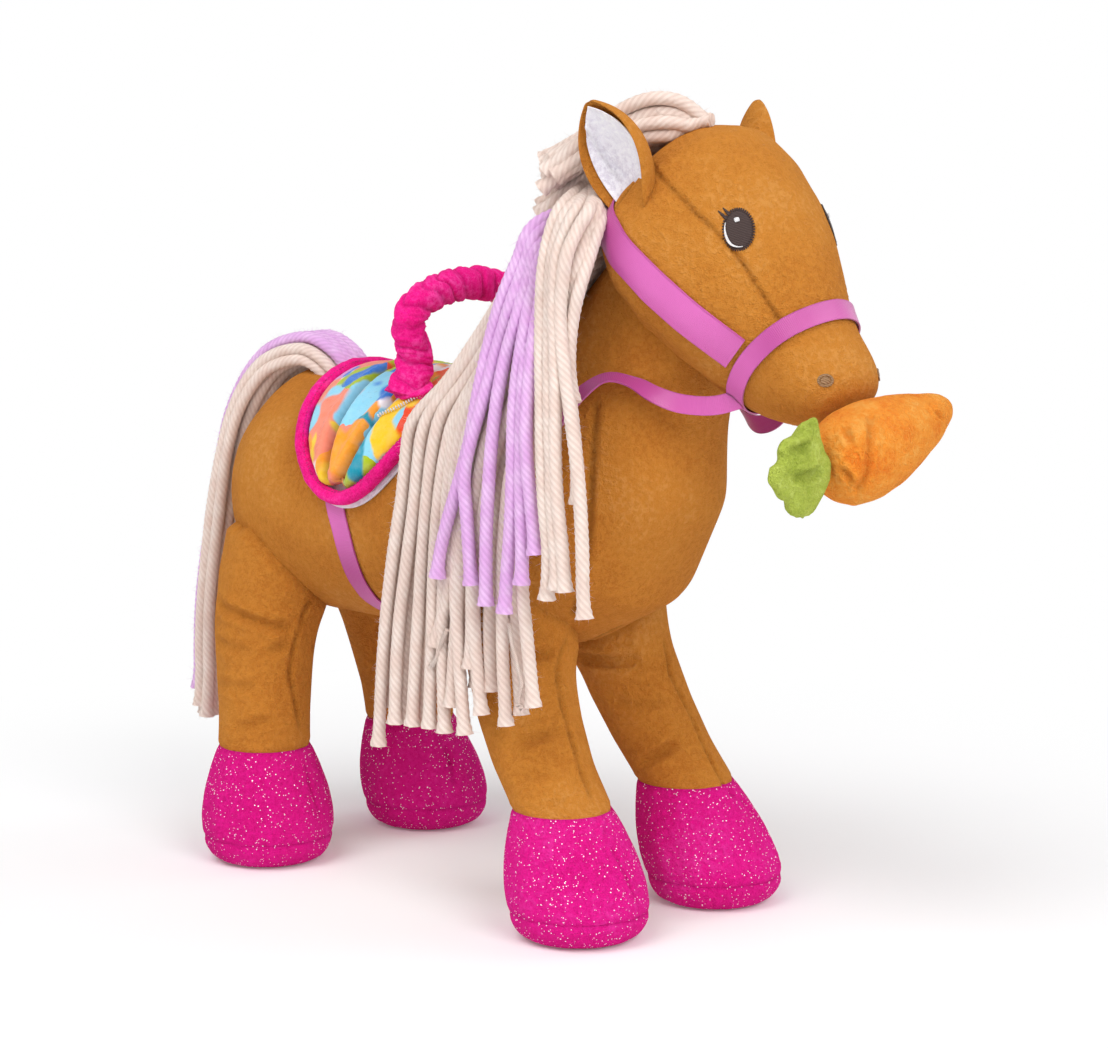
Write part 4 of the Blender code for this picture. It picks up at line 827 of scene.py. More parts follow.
@dataclass
class SoftForm:
    """A stuffed form, remade from the solids of the frame that it stands for.

    Attributes:
        name: The piece's name.
        nodes: The nodes of the frame that it replaces.
        finish: Its finish.
        voxel: The size of the cells that it is remade with.
        relax: The rounds of smoothing.
        levels: The levels of subdivision after that.
        body: The body that it rides on.
    """

    name: str
    nodes: tuple[str, ...]
    finish: PlushFinish
    voxel: float = 0.0025
    relax: int = 8
    levels: int = 1
    body: Body = Body.HORSE
    shape: bpy.types.Object = field(init=False)

    def build(self, source: bpy.types.Object | None = None) -> "SoftForm":
        """Remakes the form as one smooth closed skin, from a source or from its nodes.

        Args:
            source: What to remake, where it isn't the form's nodes.

        Returns:
            The form.
        """
        bm = bmesh.new()
        for node in () if source else self.nodes:
            bm.from_mesh(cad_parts[node].data)
        if source:
            bm.from_mesh(source.data)
            bpy.data.objects.remove(source)
        bmesh.ops.remove_doubles(bm, verts=bm.verts, dist=1e-5)
        mesh = bpy.data.meshes.new(self.name)
        bm.to_mesh(mesh)
        bm.free()
        self.shape = add_object(self.name, mesh)
        remesh = self.shape.modifiers.new("remesh", "REMESH")
        remesh.mode = "VOXEL"
        remesh.voxel_size = self.voxel
        baked(self.shape)
        self.keep_largest()
        self.relaxed(self.relax)
        return self

    def keep_largest(self) -> None:
        """Drops what the remeshing left inside the skin."""
        bm = bmesh.new()
        bm.from_mesh(self.shape.data)
        left = set(bm.verts)
        parts: list[set[bmesh.types.BMVert]] = []
        while left:
            seed = left.pop()
            part, edge = {seed}, [seed]
            while edge:
                for link in edge.pop().link_edges:
                    for vert in link.verts:
                        if vert in left:
                            left.remove(vert)
                            part.add(vert)
                            edge.append(vert)
            parts.append(part)
        largest = max(parts, key=len)
        extra = [v for part in parts if part is not largest for v in part]
        bmesh.ops.delete(bm, geom=extra, context="VERTS")
        bm.to_mesh(self.shape.data)
        bm.free()

    def relaxed(self, rounds: int) -> None:
        """Smooths the skin, and gives back the fullness that the smoothing takes.

        Args:
            rounds: How many times.
        """
        before, normals = read_points(self.shape), read_normals(self.shape)
        smooth = self.shape.modifiers.new("smooth", "SMOOTH")
        smooth.factor = 0.5
        smooth.iterations = rounds
        baked(self.shape)
        after = read_points(self.shape)
        loss = float(((before - after) * normals).sum(axis=1).mean())
        write_points(self.shape, after + read_normals(self.shape) * loss)

    def refined(self) -> "SoftForm":
        """Subdivides the skin."""
        if self.levels:
            finer = self.shape.modifiers.new("finer", "SUBSURF")
            finer.levels = finer.render_levels = self.levels
            baked(self.shape)
        self.shape.data.shade_smooth()
        return self

    def plumped(self, pressure: float, cap: float, still: Surface | None = None) -> "SoftForm":
        """Blows the skin up as cloth over its filling.

        Args:
            pressure: The pressure inside.
            cap: How far a point may move, in metres.
            still: A surface whose neighbourhood stays where it is.

        Returns:
            The form.
        """
        before = read_points(self.shape)
        cloth = self.shape.modifiers.new("cloth", "CLOTH")
        settings = cloth.settings
        settings.quality = 5
        settings.mass = 0.3
        settings.tension_stiffness = settings.compression_stiffness = 12
        settings.bending_stiffness = 0.4
        settings.use_pressure = True
        settings.uniform_pressure_force = pressure
        settings.effector_weights.gravity = 0
        cloth.collision_settings.use_collision = False
        scene = bpy.context.scene
        for step in range(1, 21):
            scene.frame_set(step)
        baked(self.shape)
        scene.frame_set(1)
        moved = read_points(self.shape) - before
        length = np.linalg.norm(moved, axis=1, keepdims=True)
        moved *= np.minimum(1, cap / np.maximum(length, 1e-9))
        if still:
            free = [min(1.0, still.nearest(Vector(p))[2] / 0.004) for p in before]
            moved *= np.array(free)[:, None]
        write_points(self.shape, before + moved)
        return self

    def press(
        self,
        line: Sequence[Vector],
        width: float,
        depth: float,
        pucker: float = 0.0,
        swell: float = 0.25,
        pitch: float = 0.006,
        shade: float = 1.0,
    ) -> "SoftForm":
        """Presses a seam or a crease into the skin, paints shade into its groove, and lets it swell beside
        it.

        Args:
            line: Points along the seam, near the skin.
            width: Half the width of the groove.
            depth: How deep it goes.
            pucker: How much the depth changes along it, as a share.
            swell: The height of the rolls beside it, as a share of the depth.
            pitch: The length of one pucker.
            shade: How much painted shade the groove gets, from 0 to 1.

        Returns:
            The form.
        """
        if len(line) < 2:
            return self
        steps = max(4, int(path_length(line) / (width * 0.4)))
        fine = smooth_path(line, steps)
        tree = KDTree(len(fine))
        for k, point in enumerate(fine):
            tree.insert(point, k)
        tree.balance()
        points, normals = read_points(self.shape), read_normals(self.shape)
        crease = kept_number(self.shape, "crease")
        reach = width * 4
        low = np.min([tuple(p) for p in fine], axis=0) - reach
        high = np.max([tuple(p) for p in fine], axis=0) + reach
        near = np.where(((points > low) & (points < high)).all(axis=1))[0]
        spacing = path_length(fine) / steps
        for at in near:
            _, k, distance = tree.find(points[at])
            if distance > reach:
                continue
            end = min(k, steps - k) * spacing
            fade = min(1.0, end / (width * 2) + 0.15)
            wave = math.sin(k * spacing / pitch * 2 * math.pi + 3 * math.sin(k * 0.37))
            groove = math.exp(-((distance / width) ** 2))
            rim = math.exp(-(((distance - width * 1.9) / (width * 0.9)) ** 2))
            push = (rim * swell * (1 + pucker * wave) - groove * (1 + pucker * wave)) * depth
            points[at] += normals[at] * (push * fade)
            # Painted shade in the groove, kept as the crease attribute.
            crease[at] = max(crease[at], groove * fade * shade)
        write_points(self.shape, points)
        keep_number(self.shape, "crease", crease)
        return self

    def ruffled(self, size: float, height: float) -> "SoftForm":
        """Gives the skin soft uneven lumps.

        Args:
            size: The size of a lump.
            height: Its height.

        Returns:
            The form.
        """
        points, normals = read_points(self.shape), read_normals(self.shape)
        rise = [noise.noise(Vector(p) / size) for p in points]
        write_points(self.shape, points + normals * (np.array(rise)[:, None] * height))
        return self

    def sunk(self, carrier: Surface, reach: float, depth: float) -> "SoftForm":
        """Draws the part of the skin that lies near a carrier into it, as a sewn joint does, and paints shade
        along the joint.

        Args:
            carrier: What it is sewn to.
            reach: How near the skin has to lie.
            depth: How far it sinks.

        Returns:
            The form.
        """
        points = read_points(self.shape)
        crease = kept_number(self.shape, "crease")
        for at, point in enumerate(points):
            spot, normal, distance = carrier.nearest(Vector(point))
            inside = (Vector(point) - spot).dot(normal) < 0
            if distance < reach or inside:
                pull = depth if inside else depth * (1 - distance / reach)
                points[at] = Vector(point) - normal * pull
                # Painted shade along the joint, kept as the crease attribute.
                crease[at] = max(crease[at], 0.8 * (1 - min(distance, reach) / reach))
        write_points(self.shape, points)
        keep_number(self.shape, "crease", crease)
        return self

    def cropped(self, low: float, high: float) -> "SoftForm":
        """Keeps the part between two heights, and closes it with flat ends.

        Args:
            low: The lower height.
            high: The upper height.

        Returns:
            The form.
        """
        bm = bmesh.new()
        bm.from_mesh(self.shape.data)
        for height, up in ((low, -1), (high, 1)):
            cut = bmesh.ops.bisect_plane(
                bm,
                geom=[*bm.verts, *bm.edges, *bm.faces],
                plane_co=(0, 0, height),
                plane_no=(0, 0, up),
                clear_outer=True,
            )
            rim = [e for e in cut["geom_cut"] if isinstance(e, bmesh.types.BMEdge)]
            if rim:
                bmesh.ops.holes_fill(bm, edges=rim, sides=0)
        bmesh.ops.recalc_face_normals(bm, faces=bm.faces)
        bm.to_mesh(self.shape.data)
        bm.free()
        return self

    def dressed(self, fill: float = 0.8) -> bpy.types.Object:
        """Gives the form its finish, its body and the nodes that it stands for.

        Args:
            fill: How full it is stuffed, from 0 to 1; not used.

        Returns:
            Its object.
        """
        if not self.shape.data.attributes.get("crease"):
            keep_number(self.shape, "crease", np.zeros(len(self.shape.data.vertices)))
        self.shape.data.materials.clear()
        self.shape.data.materials.append(MATERIALS.of(self.finish))
        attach(self.shape, self.body.value)
        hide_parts(*self.nodes)
        log.info("%s: %d faces", self.name, len(self.shape.data.polygons))
        return self.shape


class MaterialShelf:
    """Keeps one material for each finish."""

    def __init__(self) -> None:
        """Starts empty."""
        self.made: dict[str, bpy.types.Material] = {}

    def of(self, finish: object) -> bpy.types.Material:
        """The material of a finish, built when it is first asked for.

        Args:
            finish: The finish.

        Returns:
            Its material.
        """
        if finish.name not in self.made:
            self.made[finish.name] = finish.material()
        return self.made[finish.name]


MATERIALS = MaterialShelf()


def dress(
    thing: bpy.types.Object,
    finish: object,
    body: Body = Body.HORSE,
    nodes: Sequence[str] = (),
) -> bpy.types.Object:
    """Gives a piece its finish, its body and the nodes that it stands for.

    Args:
        thing: The piece.
        finish: Its finish.
        body: The body that it rides on.
        nodes: The nodes that it stands for.

    Returns:
        The piece.
    """
    thing.data.materials.clear()
    thing.data.materials.append(MATERIALS.of(finish))
    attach(thing, body.value)
    if nodes:
        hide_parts(*nodes)
    log.info("%s: %d faces", thing.name, len(thing.data.polygons))
    return thing


# Body, head, legs and hooves


@dataclass
class Trunk:
    """The body and neck, sewn as one cover."""

    neck_seam: Pixels = ((597, 400), (594, 440), (591, 490), (588, 540), (580, 590), (573, 617))
    chest_seam: Pixels = ((708, 520), (703, 560), (696, 595), (687, 616), (672, 632), (664, 645))
    rump_x: float = -108
    rump_rise: float = 0.0062
    form: SoftForm = field(init=False)

    def raised(self) -> None:
        """Fills the rump out under the tail."""
        points = read_points(self.form.shape)
        middle = toy(self.rump_x, 0, 0)
        share = np.exp(-(((points[:, 0] - middle.x) / 0.018) ** 2) - (points[:, 1] / 0.032) ** 2)
        share *= np.clip((points[:, 2] - 0.17) / 0.03, 0, 1) * self.rump_rise
        points += share[:, None] * np.array((-0.35, 0, 0.94))
        write_points(self.form.shape, points)

    def build(self) -> Surface:
        """Builds the cover and gives its surface."""
        self.form = SoftForm(
            "plush_body", ("body_skin", "body_filling"), CARAMEL, voxel=0.003, relax=10
        ).build()
        self.raised()
        self.form.refined().ruffled(0.045, 0.0012)
        skin = Surface(self.form.shape)
        for pixels, depth in ((self.neck_seam, 0.0011), (self.chest_seam, 0.0013)):
            line = CAMERA.on(skin, pixels)
            self.form.press(line, 0.0016, depth, pucker=0.5)
            self.form.press([Vector((p.x, -p.y, p.z)) for p in line], 0.0016, depth, pucker=0.5)
        belly = [skin.outermost(toy(x, 0, 160), -UP) for x in range(-120, 81, 10)]
        self.form.press(belly, 0.0016, 0.0012, pucker=0.5)
        back = [skin.outermost(toy(x, 0, 160), UP) for x in range(-138, 31, 8)]
        self.form.press(back, 0.0016, 0.0010, pucker=0.5)
        return Surface(self.form.shape)


@dataclass
class Head:
    """The stuffed head, with a forehead panel between two seams."""

    panel_seam: Pixels = (
        (640, 172), (649, 165), (660, 176), (673, 189), (685, 201), (696, 213), (714, 229),
        (726, 243), (738, 257), (748, 271), (756, 284), (764, 296), (771, 307), (779, 319), (784, 326),
    )
    ear_seam: Pixels = ((616, 206), (624, 196), (633, 184), (641, 174), (649, 166))
    form: SoftForm = field(init=False)

    def build(self, trunk: Surface) -> Surface:
        """Builds the head on the neck and gives its surface.

        Args:
            trunk: The body's surface.

        Returns:
            The head's surface.
        """
        self.form = SoftForm(
            "plush_head", ("head_skin", "head_filling"), CARAMEL, voxel=0.0022, relax=9
        ).build().plumped(3.0, 0.0010)
        self.form.refined().sunk(trunk, 0.004, 0.004).ruffled(0.030, 0.0007)
        skin = Surface(self.form.shape)
        for pixels in (self.panel_seam, self.ear_seam):
            line = CAMERA.on(skin, pixels)
            self.form.press(line, 0.0010, 0.0011, pucker=0.6, pitch=0.004, shade=0.7)
            mirrored = [Vector((p.x, -p.y, p.z)) for p in line]
            self.form.press(mirrored, 0.0010, 0.0011, pucker=0.6, pitch=0.004, shade=0.7)
        chin = [skin.outermost(toy(x, 0, 262 - (x - 120) * 0.5), -UP) for x in range(118, 190, 6)]
        self.form.press(chin, 0.0012, 0.0010, pucker=0.5, pitch=0.005)
        return Surface(self.form.shape)


@dataclass
class Leg:
    """One leg with its glitter hoof and sole.

    Attributes:
        end: front or hind.
        side: The horse's own side.
        seam: The seam down the leg and hoof, in the photograph's frame.
        folds: Creases, each with its depth in metres.
        mirrored: Whether the lines are seen on the other leg of the pair.
    """

    end: str
    side: Side
    seam: Pixels
    folds: Sequence[tuple[Pixels, float]]
    mirrored: bool = False
    hoof_top: float = 0.0502
    sole_top: float = 0.0118
    glitter_density: float = 150000.0
    flare_reach: float = 0.024
    flare_rise: float = 0.0042

    @property
    def prefix(self) -> str:
        """The start of the leg's node names."""
        return f"{self.end}_{self.side.word}"

    def build(self, trunk: Surface) -> list[bpy.types.Object]:
        """Builds the leg under the body, and gives its pieces.

        Args:
            trunk: The body's surface.

        Returns:
            The leg, the hoof and the sole.
        """
        leg_nodes = (f"{self.prefix}_leg_skin", f"{self.prefix}_leg_filling")
        hoof_nodes = (f"{self.prefix}_hoof", f"{self.prefix}_sole")
        whole = SoftForm(f"plush_{self.prefix}_leg", leg_nodes, CARAMEL, voxel=0.0022, relax=7)
        whole.nodes = leg_nodes + hoof_nodes
        whole.build()
        self.widened(whole, trunk)
        whole.refined()
        hoof = self.copied(whole, f"{self.prefix}_glitter_hoof", hoof_nodes[:1])
        sole = self.copied(whole, f"{self.prefix}_glitter_sole", hoof_nodes[1:])
        whole.nodes = leg_nodes
        whole.cropped(self.hoof_top - 0.004, FAR).sunk(trunk, 0.005, 0.006)
        self.marked(whole)
        self.taper(whole)
        hoof.cropped(self.sole_top, self.hoof_top)
        sole.cropped(-FAR, self.sole_top)
        self.rolled(hoof, sole)
        self.marked(hoof)
        pieces = [whole.dressed(), hoof.dressed(), sole.dressed()]
        glitter = GlitterDots(f"{self.prefix}_glitter_dots", self.glitter_density)
        pieces.append(glitter.build(hoof.shape, sole.shape, hoof_nodes[0]))
        return pieces

    def copied(self, whole: SoftForm, name: str, nodes: tuple[str, ...]) -> SoftForm:
        """A copy of the whole leg, to crop another piece from.

        Args:
            whole: The whole leg.
            name: The new piece's name.
            nodes: The nodes that it stands for.

        Returns:
            The copy.
        """
        made = SoftForm(name, nodes, HOOF_PINK)
        made.shape = add_object(name, whole.shape.data.copy())
        return made

    def lines(self, form: SoftForm, pixels: Pixels) -> list[Vector]:
        """A line of the photograph on this leg, or carried over from the leg across.

        Args:
            form: The leg's form.
            pixels: The line's places in the photograph.

        Returns:
            Points on the leg.
        """
        if self.mirrored:
            turned = add_object("turned", form.shape.data.copy())
            points = read_points(turned)
            points[:, 1] *= -1
            write_points(turned, points)
            turned.data.flip_normals()
            found = [Vector((p.x, -p.y, p.z)) for p in CAMERA.on(Surface(turned), pixels)]
            bpy.data.objects.remove(turned)
            return found
        return CAMERA.on(Surface(form.shape), pixels)

    def marked(self, form: SoftForm) -> None:
        """Presses the seam and the creases in.

        Args:
            form: The leg's form.
        """
        form.press(self.lines(form, self.seam), 0.0011, 0.0012, pucker=0.5, pitch=0.005, shade=0.5)
        for pixels, depth in self.folds:
            form.press(
                self.lines(form, pixels), 0.0022, depth * 1.5, pucker=0.2, swell=0.5, pitch=0.02, shade=0.2
            )

    def widened(self, leg: SoftForm, trunk: Surface) -> None:
        """Opens the leg out where it meets the body, so that the plush runs on.

        Args:
            leg: The leg's form.
            trunk: The body's surface.
        """
        points, normals = read_points(leg.shape), read_normals(leg.shape)
        for at, point in enumerate(points):
            if point[2] < self.hoof_top + self.flare_reach:
                continue
            place = Vector(point)
            spot, normal, _ = trunk.nearest(place)
            away = max(0.0, (place - spot).dot(normal))
            share = max(0.0, 1 - away / self.flare_reach) ** 2
            points[at] += normals[at] * (share * self.flare_rise)
        write_points(leg.shape, points)

    def taper(self, leg: SoftForm) -> None:
        """Draws the leg's lower end in, so that it goes into the hoof.

        Args:
            leg: The leg's form.
        """
        points = read_points(leg.shape)
        low = points[:, 2] < self.hoof_top + 0.004
        middle = points[low][:, :2].mean(axis=0)
        depth = np.clip((self.hoof_top + 0.002 - points[:, 2]) / 0.004, 0, 1) * 0.10
        points[:, :2] += (middle - points[:, :2]) * depth[:, None]
        write_points(leg.shape, points)

    def rolled(self, hoof: SoftForm, sole: SoftForm) -> None:
        """Rolls the edges of hoof and sole towards their seams, with painted shade along the seams.

        Args:
            hoof: The hoof's form.
            sole: The sole's form.
        """
        for form in (hoof, sole):
            points = read_points(form.shape)
            crease = kept_number(form.shape, "crease")
            middle = points[:, :2].mean(axis=0)
            for height, width, depth in ((self.sole_top, 0.0016, 0.022), (self.hoof_top, 0.0016, 0.03)):
                share = np.exp(-(((points[:, 2] - height) / width) ** 2))
                points[:, :2] += (middle - points[:, :2]) * (share * depth)[:, None]
                # Painted shade where the edge rolls in, kept as the crease attribute.
                crease = np.maximum(crease, share**3 * 0.6)
            write_points(form.shape, points)
            keep_number(form.shape, "crease", crease)


@dataclass
class GlitterDots:
    """Foil dots scattered over a hoof."""

    name: str
    density: float
    size: float = 0.0002

    def tree(self) -> bpy.types.NodeTree:
        """The tree that scatters flat closed dots over a surface."""
        group = bpy.data.node_groups.new(self.name, "GeometryNodeTree")
        face = group.interface
        face.new_socket("Geometry", in_out="INPUT", socket_type="NodeSocketGeometry")
        face.new_socket("Density", in_out="INPUT", socket_type="NodeSocketFloat")
        face.new_socket("Size", in_out="INPUT", socket_type="NodeSocketFloat")
        face.new_socket("Finish", in_out="INPUT", socket_type="NodeSocketMaterial")
        face.new_socket("Geometry", in_out="OUTPUT", socket_type="NodeSocketGeometry")
        sketch = Sketch(group)
        given = sketch.add("NodeGroupInput").outputs
        scatter = sketch.add("GeometryNodeDistributePointsOnFaces", distribute_method="RANDOM")
        sketch.feed(scatter, Mesh=given["Geometry"], Density=given["Density"], Seed=SEED)
        ball = sketch.add("GeometryNodeMeshUVSphere")
        sketch.feed(ball, Segments=6, Rings=3, Radius=given["Size"])
        flat = sketch.add("GeometryNodeTransform")
        sketch.feed(flat, Geometry=ball.outputs["Mesh"], Scale=(1.0, 1.0, 0.45))
        grown = sketch.add("FunctionNodeRandomValue", data_type="FLOAT")
        sketch.give(grown.inputs[2], 0.5)
        sketch.give(grown.inputs[3], 1.7)
        sketch.feed(grown, Seed=SEED + 1)
        place = sketch.add("GeometryNodeInstanceOnPoints")
        sketch.feed(place, Points=scatter.outputs["Points"], Instance=flat.outputs[0])
        sketch.feed(place, Rotation=scatter.outputs["Rotation"], Scale=grown.outputs[1])
        real = sketch.add("GeometryNodeRealizeInstances")
        sketch.feed(real, Geometry=place.outputs[0])
        finish = sketch.add("GeometryNodeSetMaterial")
        sketch.feed(finish, Geometry=real.outputs[0], Material=given["Finish"])
        sketch.feed(sketch.add("NodeGroupOutput"), Geometry=finish.outputs[0])
        return group

    def build(self, hoof: bpy.types.Object, sole: bpy.types.Object, slot: str) -> bpy.types.Object:
        """Scatters the dots over a hoof and its sole.

        Args:
            hoof: The hoof.
            sole: Its sole.
            slot: The node whose slot the dots would take; not used.

        Returns:
            The dots, as one object.
        """
        bm = bmesh.new()
        for thing in (hoof, sole):
            bm.from_mesh(thing.data)
        hidden = [f for f in bm.faces if abs(f.normal.z) > 0.97]
        bmesh.ops.delete(bm, geom=hidden, context="FACES")
        mesh = bpy.data.meshes.new(self.name)
        bm.to_mesh(mesh)
        bm.free()
        made = add_object(self.name, mesh)
        values = {"Density": self.density, "Size": self.size, "Finish": MATERIALS.of(GLITTER)}
        grow(made, self.tree(), values)
        return dress(made, GLITTER)


def grow(
    thing: bpy.types.Object, tree: bpy.types.NodeTree, values: dict[str, object]
) -> bpy.types.Object:
    """Runs a geometry tree on an object and keeps the plain mesh that it makes.

    Args:
        thing: The object whose mesh the tree starts from.
        tree: The tree.
        values: The tree's named inputs.

    Returns:
        The object, with its new mesh.
    """
    step = thing.modifiers.new("grow", "NODES")
    step.node_group = tree
    for item in tree.interface.items_tree:
        if item.in_out == "INPUT" and item.name in values:
            step[item.identifier] = values[item.name]
    return baked(thing)


LEG_LINES = {
    "front_right": (
        ((573, 617), (562, 650), (558, 683), (566, 720), (578, 760), (592, 800), (606, 832),
         (617, 856), (628, 880), (637, 900), (642, 916)),
        (
            (((484, 652), (510, 655), (535, 655), (554, 651)), 0.0018),
            (((487, 748), (515, 743), (540, 736), (559, 729)), 0.0012),
            (((492, 776), (520, 778), (548, 776)), 0.0009),
            (((505, 800), (540, 806), (570, 802)), 0.0005),
        ),
    ),
    "front_left": (
        ((664, 640), (668, 660), (671, 676), (680, 694), (689, 712), (697, 730), (709, 756),
         (721, 779), (731, 793), (748, 806), (764, 822), (776, 842), (781, 868)),
        (
            (((574, 652), (600, 658), (640, 656), (676, 651)), 0.0018),
            (((578, 660), (610, 665), (650, 664), (680, 660)), 0.0010),
            (((624, 770), (640, 763), (660, 753), (677, 741)), 0.0017),
            (((612, 700), (640, 704), (668, 700)), 0.0006),
        ),
    ),
    "hind_right": (
        ((318, 592), (307, 607), (299, 630), (292, 655), (290, 675), (295, 700), (300, 730),
         (306, 765), (312, 790), (320, 815), (326, 840)),
        (
            (((219, 604), (245, 618), (270, 626), (292, 628)), 0.0016),
            (((216, 640), (232, 648), (250, 652)), 0.0008),
            (((218, 684), (238, 687), (256, 686)), 0.0009),
            (((232, 727), (250, 726), (274, 720)), 0.0009),
            (((262, 655), (276, 650), (288, 642)), 0.0010),
        ),
    ),
}


# Ears and face


@dataclass
class Ear:
    """A cupped plush ear with a white lining.

    Attributes:
        side: The horse's own side.
        turn: How far its opening looks round from straight ahead, in radians.
        rise: The way it stands, for the left ear.
        shift: How far it stands back, outwards and up from the solid.
        height: Its height.
        width: Its width.
        cup: The depth of its cup.
        shares: Its height, width and depth from foot to tip, as shares.
        thick: The thickness of the plush back.
        lining_share: The lining's size, as a share of the ear's.
        lining_lift: The lining's clearance from the ear.
        lining_thick: The lining's thickness.
        folds: The folds of the near ear's lining, in the photograph.
    """

    side: Side
    turn: float
    rise: tuple[float, float, float] = (-0.35, 0.16, 0.93)
    shift: tuple[float, float, float] = (-0.0032, 0.0052, 0.0)
    height: float = 0.048
    width: float = 0.035
    cup: float = 0.0105
    shares: Sequence[tuple[float, float, float]] = (
        (0.00, 0.36, 0.55), (0.16, 0.64, 0.90), (0.36, 0.92, 1.06), (0.55, 1.00, 1.00),
        (0.74, 0.84, 0.74), (0.90, 0.48, 0.40), (1.00, 0.10, 0.12),
    )
    thick: float = 0.0036
    lining_share: float = 0.93
    lining_lift: float = 0.0004
    lining_thick: float = 0.0012
    rows: int = 22
    columns: int = 18
    folds: Sequence[Pixels] = (
        ((586, 126), (593, 137), (600, 150), (611, 166), (623, 181)),
        ((576, 142), (586, 146), (596, 151)),
    )

    def plate(self, name: str, share: float, front: float, thick: float) -> bpy.types.Object:
        """A cupped plate of the ear's shape.

        Args:
            name: The object's name.
            share: Its size, as a share of the ear's.
            front: How far its front lies before the ear's own.
            thick: Its thickness.

        Returns:
            The object.
        """
        points = read_points(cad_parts[f"{self.side.word}_ear"])
        apex = Vector(points[points[:, 2] > points[:, 2].max() - 0.0008].mean(axis=0))
        sign = self.side.value
        back, out, up = self.shift
        rise = Vector((self.rise[0], self.rise[1] * sign, self.rise[2])).normalized()
        face = Vector((math.cos(self.turn), sign * math.sin(self.turn), 0))
        face = (face - rise * face.dot(rise)).normalized()
        across = rise.cross(face)
        foot = apex + Vector((back, out * sign, up)) - rise * self.height
        rings = []
        for high, wide, deep in smooth_path([Vector(row) for row in self.shares], self.rows):
            half, depth = self.width / 2 * wide, self.cup * deep
            thin = min(1.0, (1.04 - high) / 0.2) ** 0.5
            fore, rear = [], []
            for k in range(self.columns + 1):
                turn = math.asin(share * math.sin(math.pi * (k / self.columns - 0.5)))
                inward = (face * (half * math.cos(turn)) - across * (depth * math.sin(turn))).normalized()
                spot = foot + rise * (self.height * high * share + self.height * (1 - share) * 0.5 * high)
                spot += across * (half * math.sin(turn)) - face * (depth * math.cos(turn))
                edge = 0.4 + 0.6 * math.cos(math.pi * (k / self.columns - 0.5))
                fore.append(spot + inward * (front + thick * 0.25 * edge * thin))
                rear.append(spot + inward * (front - thick * 0.75 * edge * thin))
            rings.append(fore + rear[::-1])
        pile = Pile()
        pile.tube(rings)
        made = add_mesh(name, pile.points, pile.faces)
        bm = bmesh.new()
        bm.from_mesh(made.data)
        bmesh.ops.recalc_face_normals(bm, faces=bm.faces)
        bm.to_mesh(made.data)
        bm.free()
        return made

    def build(self, head: Surface) -> None:
        """Builds the ear on the head.

        Args:
            head: The head's surface.
        """
        name = f"{self.side.word}_ear"
        ear = SoftForm(f"plush_{name}", (name,), CARAMEL)
        ear.shape = self.plate(f"plush_{name}", 1.0, 0.0, self.thick)
        ear.refined().sunk(head, 0.002, 0.002)
        ear.dressed(0.5)
        lining = SoftForm(f"{name}_lining_plush", (f"{name}_lining",), WHITE)
        front = self.lining_lift + self.thick * 0.25 + self.lining_thick * 0.75
        lining.shape = self.plate(f"{name}_lining_plush", self.lining_share, front, self.lining_thick)
        lining.refined()
        if self.side is Side.RIGHT:
            skin = Surface(lining.shape)
            for pixels in self.folds:
                lining.press(CAMERA.on(skin, pixels), 0.0009, 0.0010, swell=0.6, shade=0.5)
        lining.dressed(0.4)


class Pile:
    """Collects closed forms into one mesh."""

    def __init__(self) -> None:
        """Starts empty."""
        self.points: list[Vector] = []
        self.faces: list[Sequence[int]] = []

    def tube(self, rings: Sequence[Sequence[Vector]], closed: bool = False) -> None:
        """Adds a solid through rings of points.

        Args:
            rings: Rings with as many points each.
            closed: Whether the last ring joins the first.
        """
        base, sides, count = len(self.points), len(rings[0]), len(rings)
        self.points += [p for ring in rings for p in ring]
        for r in range(count if closed else count - 1):
            low, high = base + r * sides, base + (r + 1) % count * sides
            for k in range(sides):
                after = (k + 1) % sides
                self.faces.append((low + k, low + after, high + after, high + k))
        if not closed:
            for ring, first in ((rings[0], base), (rings[-1], base + (count - 1) * sides)):
                self.points.append(sum(ring, Vector()) / sides)
                tip = len(self.points) - 1
                self.faces += [(first + k, first + (k + 1) % sides, tip) for k in range(sides)]

    def bead(
        self, path: Sequence[Vector], radii: Sequence[float], out: Vector, flat: float = 0.5
    ) -> None:
        """Adds a rounded stroke along a path.

        Args:
            path: Its centre line.
            radii: Half its width at each point.
            out: The direction in which it is flattened.
            flat: Its height as a share of its width.
        """
        rings = []
        for k, point in enumerate(path):
            across = run_at(path, k).cross(out).normalized()
            rings.append(
                [
                    point
                    + across * (math.cos(turn) * radii[k])
                    + out * (math.sin(turn) * radii[k] * flat)
                    for turn in (math.tau * step / 8 for step in range(8))
                ]
            )
        self.tube(rings)

    def made(self, name: str) -> bpy.types.Object:
        """Makes the object."""
        return cleaned(add_mesh(name, self.points, self.faces), 1e-7)


